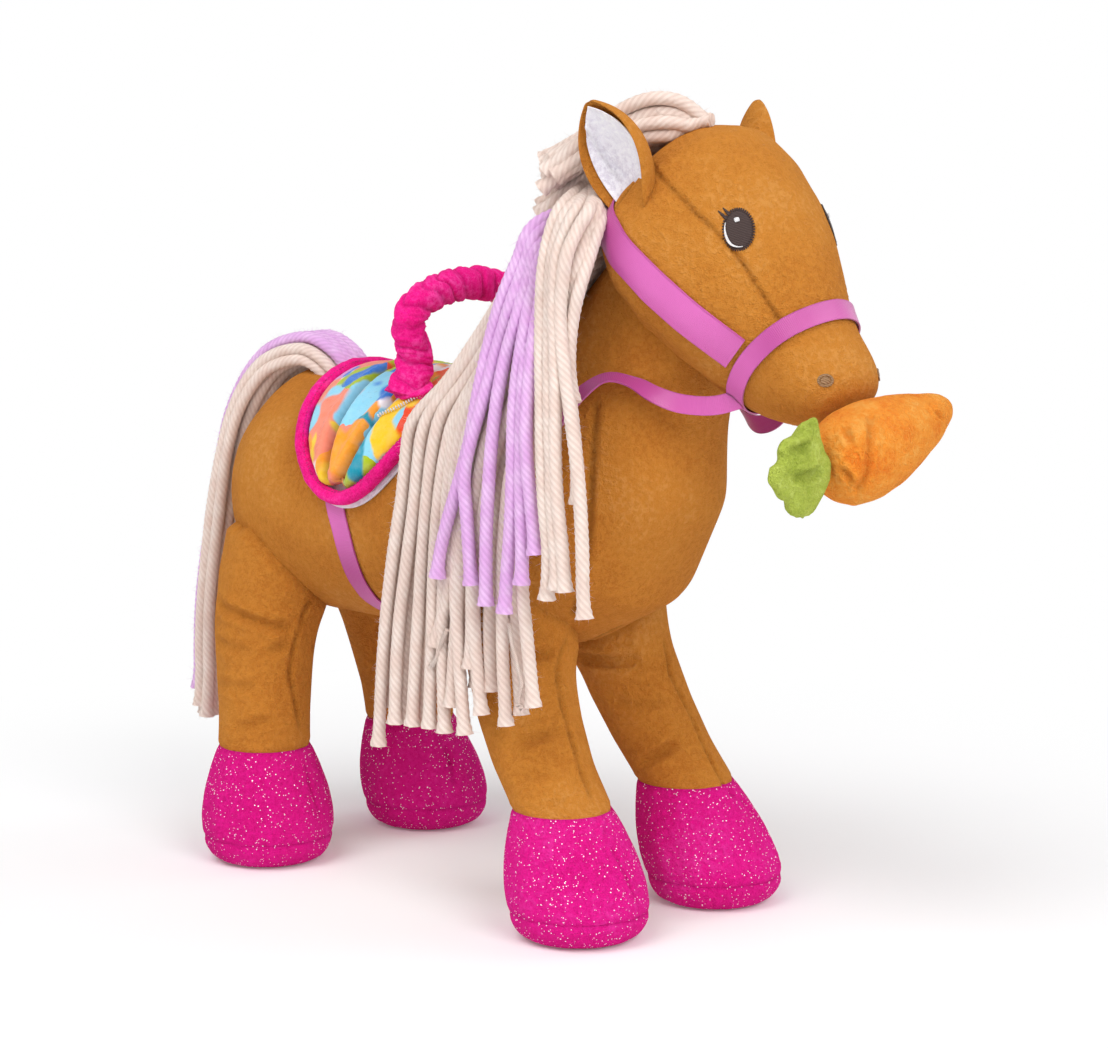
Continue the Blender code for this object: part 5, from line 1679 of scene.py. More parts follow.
@dataclass
class FacePatch:
    """A place on the face, with its own directions."""

    centre: Vector
    normal: Vector
    surface: Surface

    def __post_init__(self) -> None:
        """Works out the directions across and up."""
        self.normal = self.normal.normalized()
        self.up = (UP - self.normal * UP.dot(self.normal)).normalized()
        self.across = self.up.cross(self.normal)

    def point(self, u: float, v: float, height: float = 0.0) -> Vector:
        """A point on the face, u millimetres across and v up from the centre.

        Args:
            u: Millimetres across.
            v: Millimetres up.
            height: The height above the plush, in millimetres.

        Returns:
            The point.
        """
        over = self.centre + self.across * (u * MM) + self.up * (v * MM)
        hit = self.surface.drop(over + self.normal * 0.02, -self.normal) or over
        return hit + self.normal * (height * MM)

    def dome(self, name: str, wide: float, tall: float, height: float) -> bpy.types.Object:
        """A closed oval dome, with sizes in millimetres.

        Args:
            name: The object's name.
            wide: Its half width.
            tall: Its half height.
            height: How far it stands out.

        Returns:
            The object.
        """
        rings = []
        for step in range(9):
            share = 1 - step / 9
            rise = height * math.sqrt(1 - share**2) + (-0.6 if step == 0 else 0.05)
            rings.append(
                [
                    self.point(math.cos(t) * wide * share, math.sin(t) * tall * share, rise)
                    for t in (math.tau * k / 40 for k in range(40))
                ]
            )
        under = [p - self.normal * 0.0004 for p in rings[0]]
        pile = Pile()
        pile.tube([under, *rings])
        return pile.made(name)

    def stroke(
        self, pile: Pile, line: Pixels, radii: Sequence[float], height: float, flat: float = 0.5
    ) -> None:
        """Adds a rounded stroke along points of the patch, in millimetres."""
        path = smooth_path([self.point(u, v, height) for u, v in line], (len(line) - 1) * 6)
        even = np.interp(np.linspace(0, 1, len(path)), np.linspace(0, 1, len(radii)), radii) * MM
        pile.bead(path, list(even), self.normal, flat)


@dataclass
class Eye:
    """A stitched oval eye with a white crescent, a highlight and two lashes."""

    side: Side
    centre: tuple[float, float, float] = (164.8, 26.6, 287)
    normal: tuple[float, float, float] = (0.665, 0.658, 0.353)
    wide: float = 5.9
    tall: float = 8.1
    ticks: int = 46

    def build(self, head: Surface) -> None:
        """Builds the eye on the head.

        Args:
            head: The head's surface.
        """
        x, y, z = self.centre
        nx, ny, nz = self.normal
        s = self.side.value
        patch = FacePatch(toy(x, y * s, z), Vector((nx, ny * s, nz)), head)
        name = f"{self.side.word}_eye"
        dress(patch.dome(f"{name}_oval", self.wide, self.tall, 1.0), EYE_THREAD, nodes=(name,))
        white = Pile()
        back = 1 if self.side is Side.LEFT else -1
        arc = [
            (back * self.wide * 0.90 * math.cos(t), self.tall * 0.90 * math.sin(t))
            for t in np.linspace(0.35, -1.85, 11)
        ]
        patch.stroke(white, arc, (0.12, 0.3, 0.5, 0.55, 0.3, 0.12), 0.9)
        patch.stroke(white, ((back * 0.9, 4.3), (back * 0.5, 2.7)), (0.9, 1.15, 0.9), 1.2)
        dress(white.made(f"{name}_white"), WHITE_THREAD)
        dark = Pile()
        for k in range(self.ticks):
            t = math.tau * k / self.ticks
            line = [
                (self.wide * r * math.cos(t), self.tall * r * math.sin(t)) for r in (0.90, 1.07)
            ]
            patch.stroke(dark, line, (0.34, 0.40, 0.25), 0.35, 0.7)
        for tilt, length in ((2.55, 4.6), (2.25, 4.0)):
            out = (-back * math.cos(tilt), math.sin(tilt))
            line = [
                (out[0] * self.wide * 0.9 * g * 1.0, out[1] * self.tall * 0.9 + (g - 1) * length)
                for g in (1.0, 1.35, 1.75)
            ]
            patch.stroke(dark, line, (0.8, 0.6, 0.2), 0.35, 0.6)
        dress(dark.made(f"{name}_stitches"), EYE_THREAD)


@dataclass
class Nostril:
    """A stitched oval nostril with a raised ring round it, in the same thread."""

    side: Side
    centre: tuple[float, float, float] = (199.8, 16, 231.5)
    normal: tuple[float, float, float] = (0.721, 0.558, 0.411)

    def build(self, head: Surface) -> None:
        """Builds the nostril on the muzzle.

        Args:
            head: The head's surface.
        """
        x, y, z = self.centre
        nx, ny, nz = self.normal
        s = self.side.value
        patch = FacePatch(toy(x, y * s, z), Vector((nx, ny * s, nz)), head)
        name = f"{self.side.word}_nostril"
        dress(patch.dome(f"{name}_oval", 2.2, 1.5, 0.5), TAN_THREAD, nodes=(name,))
        ring = Pile()
        circle = [(2.7 * math.cos(t), 1.95 * math.sin(t)) for t in np.linspace(0, math.tau, 17)]
        patch.stroke(ring, circle, (0.55, 0.55), 0.2, 0.7)
        dress(ring.made(f"{name}_ring"), TAN_THREAD)


# Ribbons


@dataclass
class Ribbon:
    """A satin ribbon laid on what carries it.

    Attributes:
        name: The piece's name.
        node: The node of the frame that it replaces.
        path: Its centre line in the toy's millimetres, the right half where it is mirrored.
        width: Its width in millimetres.
        closed: Whether it joins up with itself.
        gap: Its clearance from what carries it.
        rests_on: The names of what it lies on; not used.
        left_path: Its left half where that hangs in another way, with Y to the left.
        faces: The way its face looks at each point of the right half.
        pixels: Places in the photograph that come before the path.
        laid: Whether it lies on its carrier all along.
    """

    name: str
    node: str
    path: Millimetres
    width: float
    closed: bool = False
    gap: float = 0.0006
    thick: float = 0.0006
    columns: int = 6
    rests_on: tuple[str, ...] = ("plush_head",)
    left_path: Millimetres = ()
    faces: Millimetres = ()
    pixels: Pixels = ()
    laid: bool = True

    def build(self, carrier: Surface, finish: SatinFinish = ORCHID) -> bpy.types.Object:
        """Builds the ribbon on a carrier.

        Args:
            carrier: What it lies on.
            finish: Its finish.

        Returns:
            The ribbon.
        """
        right = CAMERA.on(carrier, self.pixels) if self.pixels else []
        right += [toy(*p) for p in self.path]
        left = [Vector((p.x, -p.y, p.z)) for p in reversed(right) if abs(p.y) > 1e-5]
        if self.left_path:
            left = [toy(*p) for p in reversed(self.left_path)]
        whole = right + left
        steps = int(path_length(whole) / 0.0022)
        line = smooth_path(whole, steps, self.closed)
        normals = [carrier.nearest(p)[1] for p in line]
        if self.faces:
            normals = [self.facing(p, right) for p in line]
        for _ in range(6):
            normals = [
                (normals[k - 1] + n * 2 + normals[(k + 1) % len(normals)]).normalized()
                if self.closed or 0 < k < len(normals) - 1
                else n
                for k, n in enumerate(normals)
            ]
        rows, along = [], [0.0]
        for k, point in enumerate(line):
            run = run_at(line, k, self.closed)
            out = (normals[k] - run * normals[k].dot(run)).normalized()
            across = run.cross(out)
            low = []
            for c in range(self.columns + 1):
                spot = point + across * (self.width * MM * (c / self.columns - 0.5))
                below, normal, _ = carrier.nearest(spot)
                low.append(below + normal * self.gap if self.laid else carrier.lift(spot, self.gap))
            rows.append(low + [p + out * self.thick for p in reversed(low)])
            if k:
                along.append(along[-1] + (point - line[k - 1]).length)
        sides = len(rows[0])
        pile = Pile()
        pile.tube(rows, self.closed)
        made = add_mesh(self.name, pile.points, pile.faces)
        bm = bmesh.new()
        bm.from_mesh(made.data)
        bmesh.ops.recalc_face_normals(bm, faces=bm.faces)
        bm.to_mesh(made.data)
        bm.free()
        made.data.shade_smooth()
        made.data.set_sharp_from_angle(angle=math.radians(50))
        layer = made.data.uv_layers.new(name="ribbon")
        widths = [c / self.columns for c in range(self.columns + 1)]
        widths += list(reversed(widths))
        for loop in made.data.loops:
            at = loop.vertex_index
            row = min(at // sides, len(along) - 1)
            layer.data[loop.index].uv = (widths[at % sides] if at < len(rows) * sides else 0.5, along[row])
        dress(made, finish, nodes=(self.node,))
        return made

    def facing(self, point: Vector, right: Sequence[Vector]) -> Vector:
        """The way the face looks at a point, blended from the faces given along the path.

        Args:
            point: A point of the centre line.
            right: The right half of that line.

        Returns:
            The direction, one long.
        """
        mirror = -1 if point.y > 0 else 1
        spot = Vector((point.x, point.y * mirror, point.z))
        total = Vector()
        for place, face in zip(right, self.faces):
            total += Vector(face) * math.exp(-(((spot - place).length / 0.007) ** 2))
        return Vector((total.x, total.y * mirror, total.z)).normalized()


CHEEK_PATH = (
    (163.9, -26.7, 239.8), (149.9, -36.4, 252.4), (136.9, -43.3, 264.1), (121.9, -47.4, 277.6),
    (107.4, -38.5, 290.6), (99.1, -20.4, 298.2), (95.9, 0, 301.0),
)
NOSE_PATH = (
    (149.4, 0, 215.6), (153.0, -12.9, 219.6), (160.0, -20.9, 227.3), (167.2, -24.2, 235.4),
    (174.7, -25.0, 242.2), (181.6, -22.2, 248.4), (187.1, -16.3, 253.0), (190.7, -8.6, 255.8),
    (191.9, 0, 256.8),
)
REIN_PATH = (
    (156.0, -15.0, 221.0), (149.0, -20.0, 218.6), (141.0, -23.0, 218.0), (132.0, -26.0, 218.8),
    (123.5, -29.0, 221.6), (115.0, -32.5, 226.0), (106.5, -38.0, 227.4), (99.0, -43.5, 221.6),
    (92.5, -48.0, 213.0), (85.0, -50.5, 204.0), (74.0, -51.6, 199.0), (58.0, -52.3, 197.8),
    (41.3, -47.3, 203.8), (31.0, -30.2, 216.6), (27.0, -10.0, 223.1),
)
REIN_FACES = (
    (0.5, -0.8, 0.0), (0.3, -0.9, -0.1), (0.3, -0.9, 0.0), (0.3, -0.85, 0.3),
    (0.2, -0.6, 0.75), (0.1, -0.35, 0.92), (0.0, -0.4, 0.9), (0.0, -0.8, 0.55),
    (0.0, -0.97, 0.2), (0.0, -1.0, 0.1), (0.0, -1.0, 0.2), (0.0, -1.0, 0.2),
    (-0.2, -0.8, 0.5), (-0.3, -0.6, 0.7), (-0.4, -0.2, 0.9),
)
REIN_LEFT_PATH = (
    (156.0, 15.0, 221.0), (149.0, 18.0, 212.5), (141.0, 19.5, 208.0), (132.0, 21.5, 206.6),
    (123.0, 25.0, 209.0), (114.0, 30.0, 214.5), (106.5, 37.0, 219.6), (99.0, 43.0, 219.0),
    (92.5, 47.5, 214.0), (85.0, 50.5, 207.0), (74.0, 51.6, 200.5), (58.0, 52.3, 197.8),
    (41.3, 47.3, 203.8), (31.0, 30.2, 216.6), (27.0, 10.0, 223.1),
)
GIRTH_PIXELS = (
    (334, 486), (337, 508), (341, 525), (346, 545), (353, 567), (364, 588), (381, 604),
)
GIRTH_PATH = ((-14.0, -16.3, 110.3), (-12.0, -5.5, 108.3))


# Saddle and handle


@dataclass(frozen=True)
class PrintFinish:
    """Soft printed cloth: overlapping watercolour dabs in bright colours on white, with painted shade in its
    sewn channels.
    """

    name: str
    colours: Sequence[Colour]
    dab_size: float = 0.021

    def dabs(
        self, sketch: Sketch, place: bpy.types.NodeSocket, scale: float, shift: float, turn: float
    ) -> tuple[bpy.types.NodeSocket, bpy.types.NodeSocket]:
        """The colour and the strength of one layer of dabs.

        Args:
            sketch: The material's tree.
            place: The place that the pattern reads.
            scale: The fineness of the layer.
            shift: Its shift.
            turn: Its turn.

        Returns:
            The colour and the strength.
        """
        moved = sketch.add("ShaderNodeMapping")
        sketch.feed(moved, Vector=place, Location=(shift, shift * 0.7, 0), Rotation=(0, 0, turn))
        sketch.feed(moved, Scale=(1.0, 0.62, 1.0))
        wander = sketch.add("ShaderNodeTexNoise")
        sketch.feed(wander, Vector=moved.outputs[0], Scale=140.0, Detail=2.0)
        offset = sketch.vector("SUBTRACT", wander.outputs["Color"], (0.5, 0.5, 0.5))
        offset = sketch.vector("SCALE", offset.outputs[0])
        sketch.feed(offset, Scale=0.005)
        bent = sketch.vector("ADD", moved.outputs[0], offset.outputs[0])
        cells = sketch.add("ShaderNodeTexVoronoi", voronoi_dimensions="2D")
        sketch.feed(cells, Vector=bent.outputs[0], Scale=scale, Randomness=1.0)
        split = sketch.add("ShaderNodeSeparateColor")
        sketch.feed(split, Color=cells.outputs["Color"])
        ramp = sketch.add("ShaderNodeValToRGB")
        ramp.color_ramp.interpolation = "CONSTANT"
        stops = ramp.color_ramp.elements
        while len(stops) < len(self.colours):
            stops.new(0.5)
        for k, colour in enumerate(self.colours):
            stops[k].position = k / len(self.colours)
            stops[k].color = colour
        sketch.feed(ramp, Fac=split.outputs[0])
        far = sketch.math("SUBTRACT", 1.0, sketch.fade(cells.outputs["Distance"], 0.62, 0.68))
        return ramp.outputs[0], far

    def material(self) -> bpy.types.Material:
        """Builds the finish on the pad's own flat layout."""
        made, sketch, shader = blank_material(self.name)
        place = sketch.add("ShaderNodeAttribute", attribute_name="layout").outputs["Vector"]
        scale = 1 / self.dab_size
        under, under_share = self.dabs(sketch, place, scale, 0.013, 0.4)
        over, over_share = self.dabs(sketch, place, scale * 1.25, 0.031, -0.9)
        wash = sketch.fade(sketch.noise(place, 190, 4, 0.65), 0.30, 0.72)
        white = paint(250, 246, 248)
        colour = sketch.mix(under_share, white, under)
        covered = sketch.math("MULTIPLY", over_share, sketch.fade(sketch.noise(place, 60, 1, 0.5), 0.44, 0.5))
        colour = sketch.mix(covered, colour, over)
        colour = sketch.mix(sketch.math("MULTIPLY", wash, 0.08), colour, white)
        vein = sketch.fade(sketch.noise(place, 420, 2, 0.6), 0.60, 0.72)
        colour = sketch.mix(sketch.math("MULTIPLY", vein, 0.12), colour, paint(120, 60, 40))
        # Painted shade in the quilted channels, from the crease attribute.
        shade = sketch.math("MULTIPLY", sketch.attribute("crease"), 0.55)
        colour = sketch.mix(shade, colour, paint(70, 50, 60))
        nap = sketch.noise(sketch.add("ShaderNodeTexCoord").outputs["Object"], 1500, 2, 0.7)
        normal = sketch.bump(nap, 0.0003)
        sketch.feed(shader, Base_Color=colour, Roughness=0.85, Normal=normal)
        sketch.feed(shader, Specular_IOR_Level=0.15, Sheen_Weight=0.3, Sheen_Roughness=0.4)
        return made


SADDLE_PRINT = PrintFinish(
    "saddle_print",
    (
        paint(20, 148, 172), paint(236, 70, 24), paint(36, 120, 214), paint(246, 200, 30),
        paint(140, 212, 238), paint(172, 194, 20), paint(222, 146, 214), paint(250, 156, 26),
        paint(252, 248, 250), paint(244, 136, 108), paint(244, 96, 30), paint(196, 214, 90),
    ),
)


def curve_tree(name: str, sizes: Sequence[str]) -> tuple[bpy.types.NodeTree, Sketch, dict]:
    """A geometry tree that starts with a line, with named sizes and a finish as inputs.

    Args:
        name: The tree's name.
        sizes: The names of its number inputs.

    Returns:
        The tree, its sketch and its input sockets by name.
    """
    group = bpy.data.node_groups.new(name, "GeometryNodeTree")
    face = group.interface
    face.new_socket("Geometry", in_out="INPUT", socket_type="NodeSocketGeometry")
    for size in sizes:
        face.new_socket(size, in_out="INPUT", socket_type="NodeSocketFloat")
    face.new_socket("Finish", in_out="INPUT", socket_type="NodeSocketMaterial")
    face.new_socket("Geometry", in_out="OUTPUT", socket_type="NodeSocketGeometry")
    sketch = Sketch(group)
    given = sketch.add("NodeGroupInput").outputs
    return group, sketch, {socket.name: socket for socket in given}


def finished_tree(sketch: Sketch, geometry: bpy.types.NodeSocket, finish: bpy.types.NodeSocket) -> None:
    """Ends a tree with real meshes and their finish.

    Args:
        sketch: The tree.
        geometry: The geometry that it ends with.
        finish: The finish's input.
    """
    real = sketch.add("GeometryNodeRealizeInstances")
    sketch.feed(real, Geometry=geometry)
    coat = sketch.add("GeometryNodeSetMaterial")
    sketch.feed(coat, Geometry=real.outputs[0], Material=finish)
    sketch.feed(sketch.add("NodeGroupOutput"), Geometry=coat.outputs[0])


def line_object(
    name: str,
    lines: Sequence[Sequence[Vector]],
    radii: Sequence[Sequence[float]] | None = None,
    closed: bool = False,
) -> bpy.types.Object:
    """An object of edges along lines, with a radius kept at each point.

    Args:
        name: The object's name.
        lines: The lines.
        radii: A radius for each point, where they differ.
        closed: Whether each line joins up.

    Returns:
        The object.
    """
    points, edges = [], []
    for line in lines:
        base = len(points)
        points += [tuple(p) for p in line]
        edges += [(base + k, base + k + 1) for k in range(len(line) - 1)]
        if closed:
            edges.append((base + len(line) - 1, base))
    mesh = bpy.data.meshes.new(name)
    mesh.from_pydata(points, edges, [])
    made = add_object(name, mesh)
    sizes = [r for row in radii for r in row] if radii else [1.0] * len(points)
    keep_number(made, "girth", np.array(sizes))
    phases = [(k * 2.399) % math.tau for k, line in enumerate(lines) for _ in line]
    keep_number(made, "phase", np.array(phases))
    return made


def stitch_tree() -> bpy.types.NodeTree:
    """The tree that lays stitches end to end along a line."""
    group, sketch, given = curve_tree("stitch_row", ("Pitch", "Length", "Thickness"))
    curve = sketch.add("GeometryNodeMeshToCurve")
    sketch.feed(curve, Mesh=given["Geometry"])
    even = sketch.add("GeometryNodeResampleCurve", mode="LENGTH")
    sketch.feed(even, Curve=curve.outputs[0], Length=given["Pitch"])
    ball = sketch.add("GeometryNodeMeshUVSphere")
    sketch.feed(ball, Segments=8, Rings=6, Radius=0.5)
    size = sketch.add("ShaderNodeCombineXYZ")
    sketch.feed(size, X=given["Length"], Y=given["Thickness"], Z=given["Thickness"])
    shaped = sketch.add("GeometryNodeTransform")
    sketch.feed(shaped, Geometry=ball.outputs["Mesh"], Scale=size.outputs[0])
    turn = sketch.add("FunctionNodeAlignRotationToVector", axis="X")
    sketch.feed(turn, Vector=sketch.add("GeometryNodeInputTangent").outputs[0])
    place = sketch.add("GeometryNodeInstanceOnPoints")
    sketch.feed(place, Points=even.outputs[0], Instance=shaped.outputs[0], Rotation=turn.outputs[0])
    finished_tree(sketch, place.outputs[0], given["Finish"])
    return group


def pipe_tree() -> bpy.types.NodeTree:
    """The tree that rolls a round edge along a line."""
    group, sketch, given = curve_tree("rolled_edge", ("Step", "Radius"))
    curve = sketch.add("GeometryNodeMeshToCurve")
    sketch.feed(curve, Mesh=given["Geometry"])
    even = sketch.add("GeometryNodeResampleCurve", mode="LENGTH")
    sketch.feed(even, Curve=curve.outputs[0], Length=given["Step"])
    ring = sketch.add("GeometryNodeCurvePrimitiveCircle", mode="RADIUS")
    sketch.feed(ring, Resolution=18, Radius=given["Radius"])
    solid = sketch.add("GeometryNodeCurveToMesh")
    sketch.feed(solid, Curve=even.outputs[0], Profile_Curve=ring.outputs[0], Fill_Caps=True)
    finished_tree(sketch, solid.outputs[0], given["Finish"])
    return group


@dataclass
class Saddle:
    """The saddle: a white lining, a printed quilted pad and a rolled edge.

    Attributes:
        middle_x: The place of its middle along the back, in the toy's millimetres.
        axis_z: The height of the trunk's axis.
        half_length: Half its length along the back.
        half_turn: Half its reach round the back, in radians.
        back_radius: Half the trunk's width.
        lining_gap: The lining's clearance from the body.
        lining_thick: The lining's thickness.
        pad_thick: The pad's thickness at its fullest.
        pad_inset: How far the pad stays inside the lining's edge.
        pipe_inset: How far the rolled edge's middle stays inside it.
        pipe_radius: Half the rolled edge's thickness.
        channel_share: The place of the sewn channels, as a share of the half length.
    """

    middle_x: float = -33
    axis_z: float = 161
    half_length: float = 0.049
    half_turn: float = 1.518
    back_radius: float = 0.054
    lining_gap: float = 0.0004
    lining_thick: float = 0.0010
    pad_thick: float = 0.0066
    pad_inset: float = 0.0075
    pipe_inset: float = 0.0042
    pipe_radius: float = 0.0032
    channel_share: float = 0.33

    def base(self, trunk: Surface, share: float, turn: float, inset: float) -> tuple[Vector, Vector]:
        """A point of the body under the saddle, and the direction out of it.

        Args:
            trunk: The body's surface.
            share: The share of the saddle's length.
            turn: The turn round the back.
            inset: How far inside the edge.

        Returns:
            The point and the direction.
        """
        along = share * (self.half_length - inset) * math.cos(turn)
        angle = (self.half_turn - inset / self.back_radius) * math.sin(turn)
        aim = UP * math.cos(angle) + LEFT * math.sin(angle)
        centre = toy(self.middle_x, 0, self.axis_z) + FORWARD * along
        return trunk.outermost(centre, aim), aim

    def slab(
        self,
        name: str,
        trunk: Surface,
        inset: float,
        low: float,
        high: Callable[[float, float], float],
    ) -> bpy.types.Object:
        """A closed sheet over the back.

        Args:
            name: Its name.
            trunk: The body.
            inset: How far it stays inside the lining's edge.
            low: The height of its underside above the body.
            high: Its thickness, by share and turn.

        Returns:
            The object.
        """
        shares = [math.sin(math.pi * (k / 36 - 0.5)) for k in range(37)]
        turns = [math.pi * 0.985 * (k / 64 - 0.5) for k in range(65)]
        pile = Pile()
        rings = []
        for turn in turns:
            row = [self.base(trunk, share, turn, inset) for share in shares]
            under = [spot + aim * low for spot, aim in row]
            over = [
                spot + aim * (low + high(share, turn)) for (spot, aim), share in zip(row, shares)
            ]
            rings.append(under + list(reversed(over)))
        pile.tube(rings)
        return pile.made(name)

    def pillow(self, share: float, turn: float) -> float:
        """The pad's thickness at a share of its length and a turn round the back.

        Args:
            share: The share of the length.
            turn: The turn round the back.

        Returns:
            The thickness, in metres.
        """
        edge = max(0.0, 1 - abs(share) ** 5) ** 0.5
        tip = max(0.0, 1 - (abs(turn) / (math.pi / 2)) ** 9) ** 0.5
        return self.pad_thick * (0.25 + 0.75 * edge * tip)

    def loop(self, trunk: Surface, inset: float, height: float) -> list[Vector]:
        """A closed line round the saddle's edge, at a height above the body.

        Args:
            trunk: The body's surface.
            inset: How far inside the edge.
            height: The height above the body.

        Returns:
            The line's points.
        """
        found = []
        for k in range(160):
            t = math.tau * k / 160
            turn = math.asin(math.sin(t) * 0.9999)
            share = 1 if math.cos(t) > 0 else -1
            spot, aim = self.base(trunk, share, turn, inset)
            found.append(spot + aim * height)
        return smooth_path(found[::2], 240, closed=True)[:240]

    def build(self, trunk: Surface) -> Surface:
        """Builds the saddle on the body and gives the pad's surface.

        Args:
            trunk: The body's surface.

        Returns:
            The pad's surface.
        """
        lining = self.slab(
            "saddle_white_lining", trunk, 0.0, self.lining_gap, lambda share, turn: self.lining_thick
        )
        dress(lining, WHITE, nodes=("saddle_lining",))
        top = self.lining_gap + self.lining_thick
        pad = SoftForm("saddle_printed_pad", ("saddle_pad",), SADDLE_PRINT, voxel=0.0020, relax=3)
        pad.build(self.slab("pad_source", trunk, self.pad_inset, top + 0.0003, self.pillow))
        pad.plumped(4.0, 0.003, Surface(lining)).refined()
        skin = Surface(pad.shape)
        for sign in (-1, 1):
            for side in (-1, 1):
                line = []
                for k in range(40):
                    turn = side * math.pi / 2 * 0.93 * k / 39
                    spot, aim = self.base(trunk, sign * self.channel_share, turn, self.pad_inset)
                    line.append(skin.drop(spot + aim * 0.04, -aim) or spot)
                pad.press(line, 0.0024, 0.0052, pucker=0.15, swell=0.2, pitch=0.007)
        points = read_points(pad.shape)
        angles = np.arctan2(points[:, 1], points[:, 2] - self.axis_z * MM)
        layout = np.stack([points[:, 0], angles * self.back_radius, points[:, 2] * 0], axis=1)
        store = pad.shape.data.attributes.new("layout", "FLOAT_VECTOR", "POINT")
        store.data.foreach_set("vector", layout.astype(np.float32).ravel())
        pad.dressed(0.7)
        loop = self.loop(trunk, self.pipe_inset, top + self.pipe_radius + 0.0002)
        edge = line_object("saddle_rolled_edge", [loop], closed=True)
        pipe = {"Step": 0.0016, "Radius": self.pipe_radius, "Finish": MATERIALS.of(HOT_PINK)}
        grow(edge, pipe_tree(), pipe)
        self.gathered(edge)
        dress(edge, HOT_PINK, nodes=("saddle_piping",))
        stitched = self.loop(trunk, self.pipe_inset + self.pipe_radius * 0.72, top + self.pipe_radius * 1.75)
        row = line_object("saddle_edge_stitches", [stitched], closed=True)
        thread = {"Pitch": 0.0021, "Length": 0.0016, "Thickness": 0.0006, "Finish": MATERIALS.of(PINK_THREAD)}
        grow(row, stitch_tree(), thread)
        row.data.shade_smooth()
        dress(row, PINK_THREAD)
        return Surface(pad.shape)

    def gathered(self, edge: bpy.types.Object) -> None:
        """Gives the rolled edge small uneven puckers, with painted shade in their hollows.

        Args:
            edge: The rolled edge.
        """
        cleaned(edge)
        points, normals = read_points(edge), read_normals(edge)
        rise = np.array([noise.noise(Vector(p) / 0.004) for p in points])
        write_points(edge, points + normals * (rise[:, None] * 0.0004))
        # Painted shade in the hollows of the puckers, kept as the crease attribute.
        keep_number(edge, "crease", np.clip(-rise, 0, 1) * 0.5)


